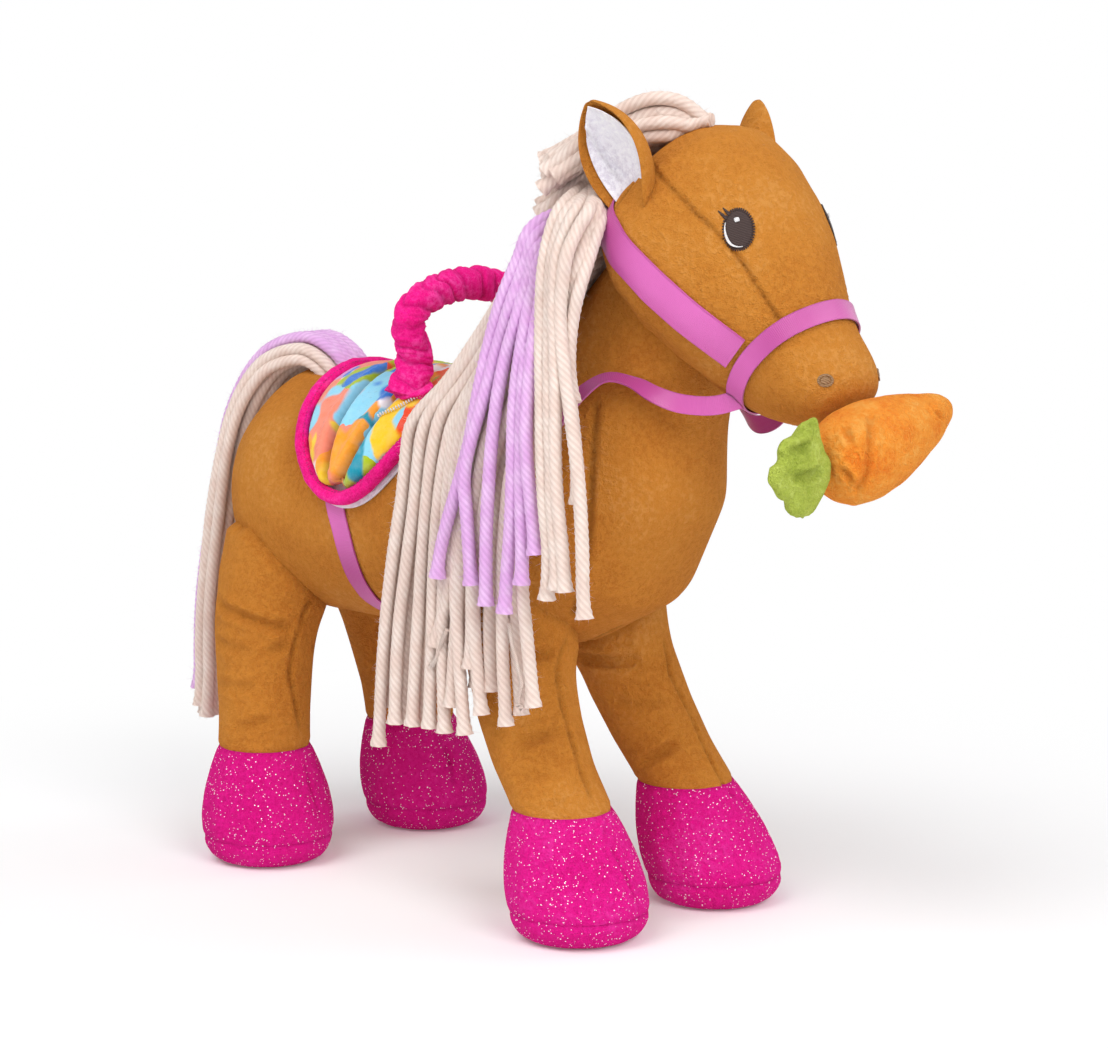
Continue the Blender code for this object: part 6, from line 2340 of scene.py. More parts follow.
@dataclass
class Handle:
    """The carrying handle over the back: a velvet tube gathered over a core, sewn down at both ends.

    Attributes:
        x: Its place along the back, in the toy's millimetres.
        path: Its middle line on the right half, as Y and Z in the toy's millimetres.
        seam: Half the sewn edge of the right foot, in the toy's millimetres.
        radius: Half the tube's thickness.
        foot_half: Half the thickness of the flattened end.
        folds: The large gathers.
        small_folds: The small ones.
        flare: The share of the length over which an end opens out.
    """

    x: float = -12
    path: Sequence[tuple[float, float]] = (
        (-36.5, 211.8), (-34.0, 217.0), (-31.6, 223.5), (-31.6, 230.5), (-33.6, 236.5),
        (-34.4, 242.0), (-31.2, 248.6), (-22.5, 253.6), (-10.0, 256.9),
    )
    seam: tuple[float, float, float] = (8.0, 8.6, 6.1)
    radius: float = 0.0071
    foot_half: float = 0.0030
    folds: int = 17
    small_folds: int = 41
    flare: float = 0.2
    rings: int = 460
    sides: int = 40
    bend_low: float = 0.2215
    bend_high: float = 0.238

    def build(self, pad: Surface) -> None:
        """Builds the handle and its feet on the saddle's pad.

        Args:
            pad: The pad's surface.
        """
        right = [toy(self.x, y, z) for y, z in self.path]
        left = [Vector((p.x, -p.y, p.z)) for p in reversed(right)]
        line = smooth_path(right + [toy(self.x, 4, 257.8)] + left, self.rings)
        crease, rings = [], []
        for k, point in enumerate(line):
            share = k / self.rings
            run = run_at(line, k)
            end = min(1.0, min(share, 1 - share) / self.flare)
            open_out = (1 - end) ** 1.15
            sx, sy, sz = self.seam
            long = Vector((sx, sy if share < 0.5 else -sy, sz)) * MM
            wide = FORWARD * self.radius
            wide = wide.lerp(long, open_out)
            wide -= run * wide.dot(run)
            out = wide.normalized().cross(run).normalized()
            high = self.radius + (self.foot_half - self.radius) * open_out
            ring = []
            for s in range(self.sides):
                turn = math.tau * s / self.sides
                sway = noise.noise(Vector((math.cos(turn) * 0.8, math.sin(turn) * 0.8, share * 11)))
                drift = 1.5 * math.sin(turn + 0.6) + 1.7 * sway
                big = abs(math.sin(math.pi * self.folds * share + drift)) ** 0.62
                small = abs(math.sin(math.pi * self.small_folds * share + drift * 2.6)) ** 0.9
                height = 0.74 * big + 0.26 * small
                size = 0.80 + 0.27 * height
                ring.append(point + wide * (math.cos(turn) * size) + out * (math.sin(turn) * size * high))
                # Painted shade in the hollows of the gathers, kept as the crease attribute.
                crease.append((1 - big) ** 2.2 * 0.95 + (1 - small) ** 3 * 0.3)
            rings.append(ring)
        pile = Pile()
        pile.tube(rings)
        made = add_mesh("handle_gathered_cover", pile.points, pile.faces)
        keep_number(made, "crease", np.array(crease + [0.0, 0.0]))
        bm = bmesh.new()
        bm.from_mesh(made.data)
        bmesh.ops.recalc_face_normals(bm, faces=bm.faces)
        bm.to_mesh(made.data)
        bm.free()
        made.data.shade_smooth()
        made.data.materials.append(MATERIALS.of(HOT_PINK))
        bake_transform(made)
        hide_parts("handle_cover", "handle_core")
        for side in Side:
            self.foot(side, pad, right[0])

    def foot(self, side: Side, pad: Surface, place: Vector) -> None:
        """Builds one sewn foot, with its row of overlock stitches.

        Args:
            side: The foot's side.
            pad: The pad's surface.
            place: The middle of the foot.
        """
        node = f"handle_{side.word}_foot"
        foot = SoftForm(f"handle_{side.word}_foot_velvet", (node,), HOT_PINK, voxel=0.0008, relax=4, levels=0)
        foot.build().refined()
        foot.dressed(0.3)
        sx, sy, sz = self.seam
        mirror = -side.value
        along = Vector((sx, sy * mirror, sz)) * MM
        middle = Vector((place.x, place.y * mirror, place.z))
        spot, out, _ = pad.nearest(middle)
        down = along.cross(out).normalized() * (self.foot_half + 0.0012)
        down = down if down.z < 0 else -down
        line = []
        for k in range(33):
            share = k / 16 - 1
            over = spot + along * (share * 1.04) + down * (1 - 0.25 * share**2)
            hit = pad.drop(over + out * 0.02, -out) or over
            line.append(hit + out * 0.0012)
        row = line_object(f"handle_{side.word}_overlock", [line])
        grow(
            row, stitch_tree(),
            {"Pitch": 0.0012, "Length": 0.0008, "Thickness": 0.0017, "Finish": MATERIALS.of(WHITE_THREAD)},
        )
        row.data.shade_smooth()
        dress(row, WHITE_THREAD)


# Yarn


def yarn_tree(fibres: bool) -> bpy.types.NodeTree:
    """The tree that spins plied yarn along lines.

    Args:
        fibres: Whether loose fibres stand off the yarn.

    Returns:
        The tree.
    """
    group, sketch, given = curve_tree(
        "fuzzy_yarn" if fibres else "yarn", ("Step", "Pitch", "Thickness", "Fibre Density", "Fibre Length")
    )
    curve = sketch.add("GeometryNodeMeshToCurve")
    sketch.feed(curve, Mesh=given["Geometry"])
    even = sketch.add("GeometryNodeResampleCurve", mode="LENGTH")
    sketch.feed(even, Curve=curve.outputs[0], Length=given["Step"])
    phase = sketch.add("GeometryNodeInputNamedAttribute", data_type="FLOAT")
    sketch.feed(phase, Name="phase")
    length = sketch.add("GeometryNodeSplineParameter").outputs["Length"]
    turns = sketch.math("DIVIDE", length, given["Pitch"])
    tilt = sketch.math("MULTIPLY_ADD", turns, math.tau, phase.outputs[0])
    twisted = sketch.add("GeometryNodeSetCurveTilt")
    sketch.feed(twisted, Curve=even.outputs[0], Tilt=tilt)
    ring = sketch.add("GeometryNodeCurvePrimitiveCircle", mode="RADIUS")
    sketch.feed(ring, Resolution=18, Radius=1.0)
    index = sketch.add("GeometryNodeInputIndex").outputs[0]
    lobe = sketch.math("ABSOLUTE", sketch.math("COSINE", sketch.math("MULTIPLY", index, math.pi / 3)))
    size = sketch.math("MULTIPLY_ADD", lobe, 0.18, 0.86)
    spot = sketch.add("GeometryNodeInputPosition").outputs[0]
    grown = sketch.vector("SCALE", spot)
    sketch.feed(grown, Scale=size)
    lobed = sketch.add("GeometryNodeSetPosition")
    sketch.feed(lobed, Geometry=ring.outputs[0], Position=grown.outputs[0])
    marked = sketch.add("GeometryNodeStoreNamedAttribute", data_type="FLOAT", domain="POINT")
    ply = sketch.math("MULTIPLY_ADD", lobe, 2.4, -1.4)
    sketch.feed(marked, Geometry=lobed.outputs[0], Name="ply", Value=ply)
    girth = sketch.add("GeometryNodeInputNamedAttribute", data_type="FLOAT")
    sketch.feed(girth, Name="girth")
    solid = sketch.add("GeometryNodeCurveToMesh")
    sketch.feed(solid, Curve=twisted.outputs[0], Profile_Curve=marked.outputs[0], Fill_Caps=True)
    sketch.feed(solid, Scale=sketch.math("MULTIPLY", girth.outputs[0], given["Thickness"]))
    result = solid.outputs[0]
    if fibres:
        scatter = sketch.add("GeometryNodeDistributePointsOnFaces", distribute_method="RANDOM")
        sketch.feed(scatter, Mesh=result, Density=given["Fibre Density"], Seed=SEED)
        hair = sketch.add("GeometryNodeMeshCone")
        sketch.feed(hair, Vertices=3, Radius_Top=0.0, Radius_Bottom=0.020, Depth=1.0)
        lean = sketch.add("FunctionNodeRandomValue", data_type="FLOAT_VECTOR")
        sketch.give(lean.inputs[0], (-1.2, -1.2, -3.2))
        sketch.give(lean.inputs[1], (1.2, 1.2, 3.2))
        sketch.feed(lean, Seed=SEED + 3)
        turn = sketch.add("FunctionNodeRotateRotation", rotation_space="LOCAL")
        sketch.feed(turn, Rotation=scatter.outputs["Rotation"])
        euler = sketch.add("FunctionNodeEulerToRotation")
        sketch.feed(euler, Euler=lean.outputs[0])
        sketch.give(turn.inputs["Rotate By"], euler.outputs[0])
        longer = sketch.add("FunctionNodeRandomValue", data_type="FLOAT")
        sketch.give(longer.inputs[2], 0.4)
        sketch.give(longer.inputs[3], 1.3)
        reach = sketch.math("MULTIPLY", longer.outputs[1], given["Fibre Length"])
        place = sketch.add("GeometryNodeInstanceOnPoints")
        sketch.feed(place, Points=scatter.outputs["Points"], Instance=hair.outputs["Mesh"])
        sketch.feed(place, Rotation=turn.outputs[0], Scale=reach)
        both = sketch.add("GeometryNodeJoinGeometry")
        sketch.tree.links.new(place.outputs[0], both.inputs[0])
        sketch.tree.links.new(result, both.inputs[0])
        result = both.outputs[0]
    finished_tree(sketch, result, given["Finish"])
    return group


@dataclass
class Yarn:
    """A group of yarn strands made as one piece.

    Attributes:
        name: The piece's name.
        finish: Its finish.
        thickness: Half the yarn's thickness, in metres.
        pitch: The length of one full twist.
        step: The distance between its rings.
        fibre_density: The loose fibres per square metre of yarn.
        fibre_length: Their length.
    """

    name: str
    finish: YarnFinish
    thickness: float = 0.0027
    pitch: float = -0.0185
    step: float = 0.0014
    fibre_density: float = 95000.0
    fibre_length: float = 0.0030
    fray: float = 0.006

    def build(self, lines: Sequence[Sequence[Vector]], frayed: bool = True) -> bpy.types.Object:
        """Spins the strands along lines, each opened a little at its end.

        Args:
            lines: A line for each strand.
            frayed: Whether the ends open.

        Returns:
            The strands, as one object.
        """
        radii = []
        for line in lines:
            total, done, row = path_length(line), 0.0, []
            for k, point in enumerate(line):
                if k:
                    done += (point - line[k - 1]).length
                left = total - done
                flare = max(0.0, 1 - left / self.fray) if frayed else 0.0
                row.append(1 + 0.05 * noise.noise(point / 0.02) + flare**1.5 * 0.38)
            radii.append(row)
        made = line_object(self.name, lines, radii)
        values = {
            "Step": self.step, "Pitch": self.pitch, "Thickness": self.thickness,
            "Fibre Density": self.fibre_density, "Fibre Length": self.fibre_length,
            "Finish": MATERIALS.of(self.finish),
        }
        grow(made, yarn_tree(True), values)
        made.data.shade_smooth()
        made.data.materials.clear()
        made.data.materials.append(MATERIALS.of(self.finish))
        log.info("%s: %d faces", self.name, len(made.data.polygons))
        return made


def wandering(line: Sequence[Vector], seed: float, size: float) -> list[Vector]:
    """A line with slow sideways wanderings that grow from its start.

    Args:
        line: The line.
        seed: Chooses the wanderings.
        size: How far they go at most.

    Returns:
        The new line.
    """
    found = []
    for k, point in enumerate(line):
        share = k / (len(line) - 1)
        place = Vector((seed * 7.3, share * 3.2, 0))
        sway = Vector([noise.noise(place + Vector((0, 0, 9 * axis))) for axis in range(3)])
        found.append(point + sway * (size * min(1, share * 2)))
    return found


@dataclass
class Curtain:
    """The height of the falling mane's outer side, as a depth for each height."""

    node: str

    def __post_init__(self) -> None:
        """Reads the outermost depth of the solid at each height."""
        points = read_points(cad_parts[self.node])
        self.heights = np.arange(points[:, 2].min(), points[:, 2].max() + 0.006, 0.006)
        depths = []
        for height in self.heights:
            near = points[np.abs(points[:, 2] - height) < 0.012]
            depths.append(near[:, 1].min() if len(near) else np.nan)
        known = ~np.isnan(depths)
        self.depths = np.interp(self.heights, self.heights[known], np.array(depths)[known])
        self.depths = np.convolve(np.pad(self.depths, 2, mode="edge"), np.ones(5) / 5, "valid")

    def point(self, pixel: tuple[float, float], inside: float) -> Vector:
        """Where the sight through a pixel meets the curtain, at a depth inside it.

        Args:
            pixel: The pixel.
            inside: The depth, in metres.

        Returns:
            The point.
        """
        start, aim = toy(*CAMERA.place), CAMERA.ray(*pixel)
        depth = -0.055
        for _ in range(8):
            found = start + aim * ((depth - start.y) / aim.y)
            depth = float(np.interp(found.z, self.heights, self.depths)) + inside
        return found


@dataclass
class Mane:
    """The mane: yarn sewn along the crest that falls over the right side of the neck.

    The traces are places on a crop of the photograph at three times its size.
    """

    crop_corner: tuple[float, float] = (360, 110)
    crop_scale: float = 3.0
    front: Sequence[Pixels] = (
        ((716, 235), (690, 300), (650, 370), (622, 440), (611, 520), (604, 600), (608, 700),
         (622, 830), (637, 960), (649, 1080), (656, 1200), (661, 1330), (662, 1430), (668, 1525)),
        ((690, 222), (652, 300), (614, 380), (594, 460), (588, 560), (590, 700), (592, 850),
         (590, 1000), (593, 1150), (604, 1300), (612, 1445)),
        ((655, 205), (604, 290), (568, 380), (551, 480), (545, 600), (543, 750), (545, 900),
         (548, 1050), (556, 1200), (566, 1330), (560, 1470)),
        ((672, 212), (628, 296), (590, 380), (572, 470), (566, 590), (566, 740), (568, 900),
         (572, 1060), (578, 1220), (590, 1350), (592, 1440)),
        ((738, 215), (712, 300), (680, 380), (650, 470), (630, 580), (620, 700), (628, 830),
         (640, 960), (648, 1080), (650, 1180)),
        ((745, 225), (722, 320), (694, 420), (664, 520), (642, 630), (630, 760), (636, 880)),
    )
    lilac: Sequence[Pixels] = (
        ((590, 250), (530, 340), (474, 450), (430, 560), (390, 700), (355, 850), (325, 1000),
         (290, 1130), (262, 1230), (240, 1330), (234, 1402)),
        ((598, 262), (540, 360), (490, 470), (452, 570), (412, 700), (374, 850), (336, 1000),
         (320, 1100), (326, 1220), (330, 1330), (334, 1424)),
        ((606, 270), (548, 390), (505, 500), (468, 620), (432, 740), (407, 870), (394, 1000),
         (388, 1130), (382, 1260), (379, 1380), (378, 1484)),
        ((612, 280), (556, 410), (520, 530), (497, 640), (477, 760), (464, 880), (459, 1000),
         (455, 1130), (448, 1260), (441, 1400), (437, 1508)),
        ((618, 290), (566, 420), (536, 560), (518, 680), (507, 800), (501, 930), (505, 1060),
         (515, 1180), (526, 1332)),
        ((600, 290), (560, 430), (520, 600), (494, 760), (482, 900), (478, 1060), (482, 1200),
         (486, 1330), (484, 1425)),
    )
    cream: Sequence[Pixels] = (
        ((560, 240), (520, 370), (480, 470), (440, 545), (350, 690), (262, 820), (182, 905),
         (150, 960), (138, 1050), (125, 1170), (105, 1300), (86, 1450), (72, 1600), (62, 1750),
         (54, 1905)),
        ((568, 250), (528, 380), (490, 480), (452, 562), (372, 690), (292, 800), (217, 900),
         (186, 975), (172, 1080), (160, 1200), (141, 1350), (122, 1500), (111, 1650), (106, 1838)),
        ((576, 255), (536, 390), (500, 490), (466, 575), (388, 700), (314, 810), (248, 900),
         (223, 985), (209, 1090), (196, 1220), (185, 1350), (176, 1500), (166, 1650), (158, 1845)),
        ((584, 260), (544, 400), (508, 510), (470, 600), (404, 715), (334, 830), (280, 930),
         (257, 1020), (241, 1130), (229, 1260), (222, 1400), (218, 1550), (213, 1700), (210, 1852)),
        ((590, 265), (552, 410), (516, 530), (476, 640), (410, 745), (350, 850), (308, 950),
         (287, 1060), (281, 1180), (276, 1300), (270, 1430), (246, 1540), (226, 1604)),
        ((596, 270), (560, 430), (522, 560), (480, 680), (420, 790), (372, 890), (336, 1000),
         (318, 1120), (306, 1240), (300, 1360), (294, 1500), (286, 1640), (280, 1788)),
        ((602, 270), (566, 440), (530, 590), (490, 720), (436, 830), (394, 940), (364, 1060),
         (348, 1180), (340, 1310), (336, 1440), (336, 1560), (331, 1672)),
        ((608, 275), (572, 450), (536, 620), (500, 760), (452, 880), (412, 1000), (386, 1120),
         (368, 1240), (352, 1380), (346, 1500), (350, 1650), (362, 1812)),
        ((614, 280), (580, 460), (548, 640), (520, 800), (484, 940), (452, 1080), (436, 1220),
         (428, 1360), (430, 1520), (433, 1660), (442, 1848)),
        ((620, 285), (590, 470), (564, 660), (544, 820), (520, 980), (502, 1140), (490, 1290),
         (488, 1430), (499, 1550), (511, 1680), (519, 1795)),
        ((586, 262), (548, 405), (512, 520), (474, 620), (408, 730), (342, 840), (294, 940),
         (272, 1040), (262, 1150), (254, 1280), (248, 1420), (246, 1580), (250, 1730), (256, 1868)),
        ((594, 268), (556, 420), (520, 545), (480, 660), (416, 770), (362, 870), (322, 975),
         (302, 1090), (294, 1210), (290, 1330), (292, 1470), (300, 1620), (308, 1750), (316, 1872)),
    )
    wisps: Sequence[Pixels] = (
        ((448, 1540), (456, 1610), (474, 1660), (486, 1720), (474, 1775), (490, 1800)),
        ((262, 1560), (240, 1610), (228, 1650), (214, 1668)),
    )
    crest_middle: Millimetres = (
        (41.2, -0.3, 238.7), (56.2, 0.1, 256.0), (72.0, 0.4, 272.2), (84.9, 0.6, 289.5),
        (92.7, 0.9, 310.0),
    )
    crest_edge: Millimetres = (
        (68.9, -39.7, 225.7), (77.4, -36.3, 244.9), (86.4, -32.5, 263.9), (93.5, -32.3, 284.1),
        (100.7, -31.9, 304.4),
    )
    crest_strands: int = 17
    root_depth: float = 0.016
    roots: Millimetres = ((85, 2, 309), (87, -13, 312), (82, -23, 303))
    root_spread: Sequence[tuple[float, float]] = ((9, 3), (7, 4), (6, 4))
    lilac_drop: float = 3.5
    step: float = 0.004
    wander: float = 0.0012
    lilac_seed: float = 80.0
    hinge_high: float = 0.306
    hinge_low: float = 0.288

    def fall(
        self, curtain: Curtain, trace: Pixels, inside: float, seed: float, rooted: bool = True
    ) -> list[Vector]:
        """A strand's line from its root on the crest down to its end.

        Args:
            curtain: The outer side that the strand lies in.
            trace: Its places on the crop.
            inside: Its depth inside the curtain, in metres.
            seed: Chooses its wanderings.
            rooted: Whether it starts on the crest.

        Returns:
            Points along the strand.
        """
        left, top = self.crop_corner
        pixels = [(left + x / self.crop_scale, top + y / self.crop_scale) for x, y in trace]
        deeper = self.root_depth if rooted else 0
        points = [
            curtain.point(pixel, inside + deeper * max(0, 1 - k / 3)) for k, pixel in enumerate(pixels)
        ]
        if rooted:
            spread = (seed * 0.618) % 1
            low = self.lilac_drop if seed > self.lilac_seed else 0
            roots = [
                toy(x + more * spread, y, z - less * spread - low)
                for (x, y, z), (more, less) in zip(self.roots, self.root_spread)
            ]
            roots[-1].y += low / 2 * MM
            points = roots + points[1:]
        line = smooth_path(points, max(12, int(path_length(points) / self.step)))
        return wandering(line, seed, self.wander)

    def build(self, trunk: Surface) -> None:
        """Spins the crest and the two colours of the fall.

        Args:
            trunk: The body's surface.
        """
        self.crest(trunk)
        cream, lilac = Curtain("mane_cream"), Curtain("mane_lilac")
        lines = [self.fall(cream, t, 0.0030, k + 0.3) for k, t in enumerate(self.cream)]
        inner = []
        for k in range(1, 10):
            a, b = self.cream[k - 1], self.cream[k]
            count = min(len(a), len(b))
            mixed = [((a[i][0] + b[i][0]) / 2, (a[i][1] + b[i][1]) / 2 - 6) for i in range(count)]
            inner.append(self.fall(cream, mixed, 0.0075, k + 20.6))
        front = [
            self.fall(lilac, t, 0.0028 + (0.005 if k > 3 else 0), k + 40.2)
            for k, t in enumerate(self.front)
        ]
        thin = [self.fall(cream, t, 0.0005, k + 60.1, rooted=False) for k, t in enumerate(self.wisps)]
        whole = Yarn("mane_cream_yarn", CREAM_YARN).build(lines + inner)
        self.hung(whole, "mane_cream")
        fore = Yarn("mane_front_yarn", CREAM_YARN).build(front)
        self.hung(fore)
        coloured = [self.fall(lilac, t, 0.0028, k + 80.4) for k, t in enumerate(self.lilac)]
        self.hung(Yarn("mane_lilac_yarn", LILAC_YARN).build(coloured), "mane_lilac")
        self.hung(Yarn("mane_wisps", CREAM_YARN, thickness=0.0011, pitch=-0.006).build(thin))

    def hung(self, thing: bpy.types.Object, *nodes: str) -> None:
        """Bakes a group of strands into place, and hides the nodes that it stands for.

        Args:
            thing: The strands.
            nodes: The nodes that it stands for.
        """
        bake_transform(thing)
        if nodes:
            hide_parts(*nodes)

    def crest(self, trunk: Surface) -> None:
        """Spins the strands sewn across the crest.

        Args:
            trunk: The body's surface.
        """
        last = self.crest_strands - 1
        middle = smooth_path([toy(*p) for p in self.crest_middle], last)
        edge = smooth_path([toy(*p) for p in self.crest_edge], last)
        lines = []
        for k, (a, b) in enumerate(zip(middle, edge)):
            start = a + LEFT * 0.009 - UP * 0.003
            points = [start] + [a.lerp(b, share) for share in (0, 0.25, 0.5, 0.75, 1.0)]
            points = [trunk.lift(p, 0.0030) for p in points]
            lines.append(wandering(smooth_path(points, 16), k + 0.7, 0.0008))
        whole = Yarn("mane_crest_yarn", CREAM_YARN).build(lines, frayed=False)
        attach(whole, Body.HORSE.value)
        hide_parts("mane_crest")


@dataclass
class Tuft:
    """The tuft of yarn over the poll."""

    middle: Millimetres = (
        (115.5, 2.5, 327.4), (110, -5, 330.2), (102, -13.5, 330.0), (91.5, -21, 326.6),
        (80, -26.5, 321.0), (67, -33, 313.0),
    )
    to_front: tuple[float, float, float] = (11.5, -9.0, -1.0)
    to_back: tuple[float, float, float] = (-7.0, 9.0, -7.0)
    strands: int = 7

    def build(self, head: Surface) -> None:
        """Spins the tuft in four layers.

        Args:
            head: The head's surface.
        """
        lines = []
        for layer in range(4):
            for k in range(self.strands - layer // 2):
                share = (k + 0.5 * layer) / (self.strands - 1)
                offset = [f * share + b * (1 - share) for f, b in zip(self.to_front, self.to_back)]
                spread = noise.noise(Vector((k * 3.1, layer * 5.7, 1.3)))
                points = []
                for at, (x, y, z) in enumerate(self.middle):
                    far = at / (len(self.middle) - 1)
                    arch = math.sin(math.pi * min(1.0, far + 0.12))
                    droop = spread * 15 * far**2 - 8.6 + layer * (2.4 + 2.4 * arch)
                    points.append(toy(x + offset[0], y + offset[1], z + offset[2] + droop + 1.0))
                end = points[-1] - points[-2]
                points[-1] = points[-2] + end * (0.75 + 0.5 * abs(spread) + 0.25 * (k % 2))
                first = points[0] + Vector((0.004, 0.003, -0.006))
                line = smooth_path([first, *points], 30)
                lines.append([head.lift(p, 0.0024) for p in line])
        whole = Yarn("poll_tuft_yarn", CREAM_YARN).build(lines)
        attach(whole, Body.HORSE.value)
        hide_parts("poll_tuft")


@dataclass
class Tail:
    """The tail of yarn, lilac on the outside and cream inside."""

    path: Millimetres = (
        (-88, 0, 211.5), (-94.5, -0.7, 217.6), (-104.1, -1.6, 221.9), (-112.1, -2.6, 221.6),
        (-120.3, -3.7, 219.4), (-128.2, -4.9, 215.3), (-135, -6.1, 208.8), (-140.9, -7.4, 200.2),
        (-146.2, -8.6, 189.3), (-150.5, -9.6, 176.1), (-154.1, -10.7, 160.9),
        (-157.4, -11.8, 143.9), (-160.6, -13.1, 124.7), (-163.3, -14.4, 104.7),
        (-165.4, -15.5, 84), (-167, -16.5, 62.1), (-168, -17.1, 46.6),
    )
    bend_from: float = -86
    bend_to: float = -102
    cream_half: float = 0.0105
    lilac_half: float = 0.0060
    cream_strands: int = 5
    lilac_strands: int = 4

    def strand(self, side: float, out: float, seed: float, cut: float) -> list[Vector]:
        """A strand beside the tail's middle line.

        Args:
            side: Its offset to the left.
            out: Its offset outwards.
            seed: Chooses its wanderings.
            cut: The share of the tail's length at which it ends.

        Returns:
            Points along the strand.
        """
        line = smooth_path([toy(*p) for p in self.path], 60)
        line = line[: max(8, int(61 * cut))]
        found = []
        for k, point in enumerate(line):
            run = run_at(line, k)
            outward = LEFT.cross(run).normalized()
            swell = 0.72 + 0.5 * math.sin(math.pi * min(1, k / 60 + 0.12)) ** 0.8
            found.append(point + LEFT * (side * swell) + outward * out)
        return wandering(found, seed, 0.0016)

    def build(self) -> None:
        """Spins both colours of the tail."""
        cream, lilac = [], []
        for layer, out in enumerate((-0.0024, 0.0024)):
            for k in range(self.cream_strands):
                side = self.cream_half * (2 * k / (self.cream_strands - 1) - 1)
                cut = 1.0 - 0.05 * abs(noise.noise(Vector((k * 2.7, layer * 4.1, 0.4))))
                cream.append(self.strand(side, out, k + layer * 9 + 0.6, cut))
        for k in range(self.lilac_strands):
            side = self.lilac_half * (2 * k / (self.lilac_strands - 1) - 1) - 0.001
            cut = 0.93 + 0.05 * noise.noise(Vector((k * 3.3, 2.1, 0.9)))
            lilac.append(self.strand(side, 0.0074, k + 30.8, cut))
        for lines, finish, word in ((cream, CREAM_YARN, "cream"), (lilac, LILAC_YARN, "lilac")):
            whole = Yarn(f"tail_{word}_yarn", finish).build(lines)
            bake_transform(whole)
            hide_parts(f"tail_{word}")


# Carrot


@dataclass
class Carrot:
    """The plush carrot with its green leaves."""

    middle: tuple[float, float, float] = (213.2, 2.9, 208.3)
    along: tuple[float, float, float] = (0.0, 0.9659, 0.2588)
    creases: Sequence[Pixels] = (
        ((869, 414), (871, 432), (870, 450), (868, 470), (862, 484), (853, 492)),
        ((842, 426), (848, 436), (851, 446)), ((838, 470), (846, 474), (852, 484)),
        ((929, 402), (936, 412), (945, 420), (948, 428)),
    )
    leaf_folds: Sequence[Pixels] = (
        ((826, 446), (812, 446), (799, 449), (789, 452)),
        ((824, 470), (812, 474), (800, 477), (790, 478)),
        ((818, 430), (812, 424), (806, 421)),
    )

    def build(self) -> None:
        """Builds the carrot and its leaves."""
        root = SoftForm(
            "carrot_plush_root", ("carrot_skin", "carrot_filling"), CARROT_ORANGE,
            voxel=0.0018, relax=5, body=Body.CARROT,
        )
        root.build().plumped(3.0, 0.0012).refined().ruffled(0.012, 0.0007)
        skin = Surface(root.shape)
        for pixels in self.creases:
            root.press(CAMERA.on(skin, pixels), 0.0014, 0.0016, swell=0.5, pitch=0.02, shade=0.5)
        root.dressed(0.9)
        leaf = SoftForm(
            "carrot_plush_leaves", ("carrot_leaves",), LEAF_GREEN, voxel=0.0011, relax=4,
            body=Body.CARROT,
        )
        leaf.build().refined().ruffled(0.006, 0.0011)
        front = Surface(leaf.shape)
        for pixels in self.leaf_folds:
            leaf.press(CAMERA.on(front, pixels), 0.0018, 0.0016, swell=0.7, pitch=0.02, shade=0.45)
        leaf.dressed(0.6)


@dataclass(frozen=True)
class SteelFinish:
    """Dull nickel plate, for the magnets inside the plush."""

    name: str = "nickel"
    colour: Colour = paint(150, 152, 156)

    def material(self) -> bpy.types.Material:
        """Builds the finish."""
        made, sketch, shader = blank_material(self.name)
        place = sketch.add("ShaderNodeTexCoord").outputs["Object"]
        worn = sketch.fade(sketch.noise(place, 900, 2, 0.6), 0.3, 0.7)
        sketch.feed(shader, Base_Color=sketch.mix(worn, self.colour, paint(186, 188, 192)))
        sketch.feed(shader, Metallic=1.0, Roughness=0.35)
        return made


def build_magnet(node: str, body: str) -> None:
    """Copies a magnet's solid and gives it its plating.

    Args:
        node: The magnet's node.
        body: The body that it rides on.
    """
    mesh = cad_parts[node].data.copy()
    made = cleaned(add_object(f"{node}_plated", mesh))
    made.data.set_sharp_from_angle(angle=math.radians(40))
    made.data.materials.clear()
    made.data.materials.append(MATERIALS.of(SteelFinish()))
    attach(made, body)
    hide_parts(node)


# Light, floor and camera


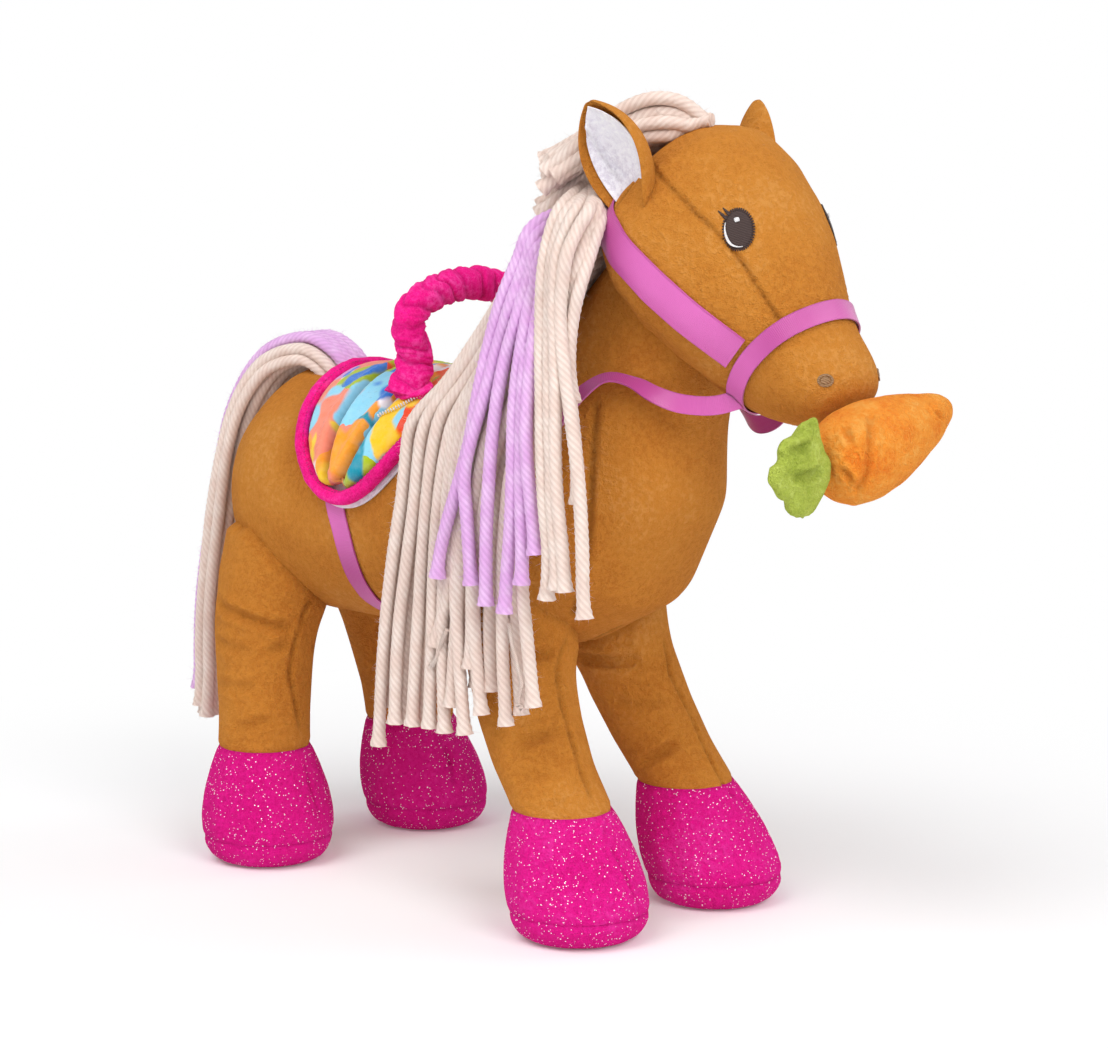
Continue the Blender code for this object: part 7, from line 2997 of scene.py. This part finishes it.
@dataclass
class Studio:
    """A plain pale floor and soft lamps."""

    floor_size: float = 14.0
    white_from: float = 0.17
    white_to: float = 0.50
    lamps: Sequence[tuple[str, tuple[float, float, float], float, float]] = (
        ("key_lamp", (0.1, -1.8, 2.5), 2.2, 48.0),
        ("front_lamp", (2.1, -0.7, 1.5), 1.5, 31.0),
        ("fill_lamp", (0.9, 2.0, 1.6), 1.8, 10.0),
    )

    def floor_material(self) -> bpy.types.Material:
        """White floor that keeps the shadow near the toy and fades to plain white."""
        made, sketch, shader = blank_material("studio_floor")
        place = sketch.add("ShaderNodeTexCoord").outputs["Object"]
        away = sketch.vector("LENGTH", place).outputs["Value"]
        blank = sketch.add("ShaderNodeEmission")
        sketch.feed(blank, Color=(1, 1, 1, 1), Strength=1.0)
        light = sketch.add("ShaderNodeLightPath").outputs
        seen = sketch.math("MAXIMUM", light["Is Camera Ray"], light["Is Glossy Ray"])
        seen = sketch.math("MAXIMUM", seen, light["Is Transmission Ray"])
        share = sketch.math("MULTIPLY", seen, sketch.fade(away, self.white_from, self.white_to))
        sketch.feed(shader, Base_Color=(0.86, 0.86, 0.87, 1), Roughness=0.85)
        sketch.feed(shader, Emission_Color=(1, 1, 1, 1), Emission_Strength=0.10)
        mixed = sketch.add("ShaderNodeMixShader")
        for at, value in ((0, share), (1, shader.outputs[0]), (2, blank.outputs[0])):
            sketch.give(mixed.inputs[at], value)
        out = made.node_tree.nodes["Material Output"]
        sketch.feed(out, Surface=mixed.outputs[0])
        return made

    def build(self) -> None:
        """Makes the floor, the world and the lamps."""
        half = self.floor_size / 2
        corners = [Vector((x, y, 0)) for x, y in ((-half, -half), (half, -half), (half, half), (-half, half))]
        floor = add_mesh("studio_floor", corners, [(0, 1, 2, 3)])
        floor.data.materials.append(self.floor_material())
        world = bpy.data.worlds.new("studio_world")
        bpy.context.scene.world = world
        world.use_nodes = True
        sketch = Sketch(world.node_tree)
        light = sketch.add("ShaderNodeLightPath").outputs
        seen = sketch.math("MAXIMUM", light["Is Camera Ray"], light["Is Glossy Ray"])
        seen = sketch.math("MAXIMUM", seen, light["Is Transmission Ray"])
        ambient = sketch.math("MULTIPLY_ADD", seen, 0.56, 0.44)
        sketch.feed(world.node_tree.nodes["Background"], Color=(1, 1, 1, 1), Strength=ambient)
        aim = Vector((0, 0, 0.17))
        for name, place, size, power in self.lamps:
            lamp = bpy.data.lights.new(name, "AREA")
            lamp.shape = "DISK"
            lamp.size = size
            lamp.energy = power
            made = bpy.data.objects.new(name, lamp)
            made.location = place
            made.rotation_euler = (aim - made.location).to_track_quat("-Z", "Y").to_euler()
            bpy.context.scene.collection.objects.link(made)
        bpy.context.scene.view_settings.view_transform = "Standard"


def main() -> None:
    """Builds the toy piece by piece."""
    logging.basicConfig(level=logging.INFO, format="%(name)s %(message)s")
    CAMERA.build()
    Studio().build()
    body = Trunk()
    trunk = body.build()
    head = Head()
    head.build(trunk)
    for end, sides in (("front", Side), ("hind", Side)):
        for side in sides:
            key = f"{end}_{side.word}"
            seam, folds = LEG_LINES.get(key, LEG_LINES["hind_right"])
            Leg(end, side, seam, folds, mirrored=key not in LEG_LINES).build(trunk)
    body.form.dressed()
    head.form.dressed()
    face = Surface(head.form.shape)
    for side in Side:
        Ear(side, math.radians(101 if side is Side.RIGHT else 52)).build(face)
        Eye(side).build(face)
        Nostril(side).build(face)
    both = Surface(head.form.shape, body.form.shape)
    Ribbon("cheek_satin", "cheek_ribbon", CHEEK_PATH, 16).build(face)
    Ribbon("noseband_satin", "noseband_ribbon", NOSE_PATH, 8, closed=True, gap=0.0009).build(face)
    Ribbon(
        "rein_satin", "reins", REIN_PATH, 7.5, gap=0.0016, laid=False,
        rests_on=("plush_body", "noseband_satin"), left_path=REIN_LEFT_PATH, faces=REIN_FACES,
    ).build(both)
    Ribbon(
        "girth_satin", "girth_ribbon", GIRTH_PATH, 11, rests_on=("plush_body",), pixels=GIRTH_PIXELS
    ).build(trunk)
    Handle().build(Saddle().build(trunk))
    Mane().build(trunk)
    Tuft().build(face)
    Tail().build()
    Carrot().build()
    build_magnet("mouth_magnet", "horse")
    build_magnet("carrot_magnet", "carrot_magnet")


if __name__ == "__main__":
    main()
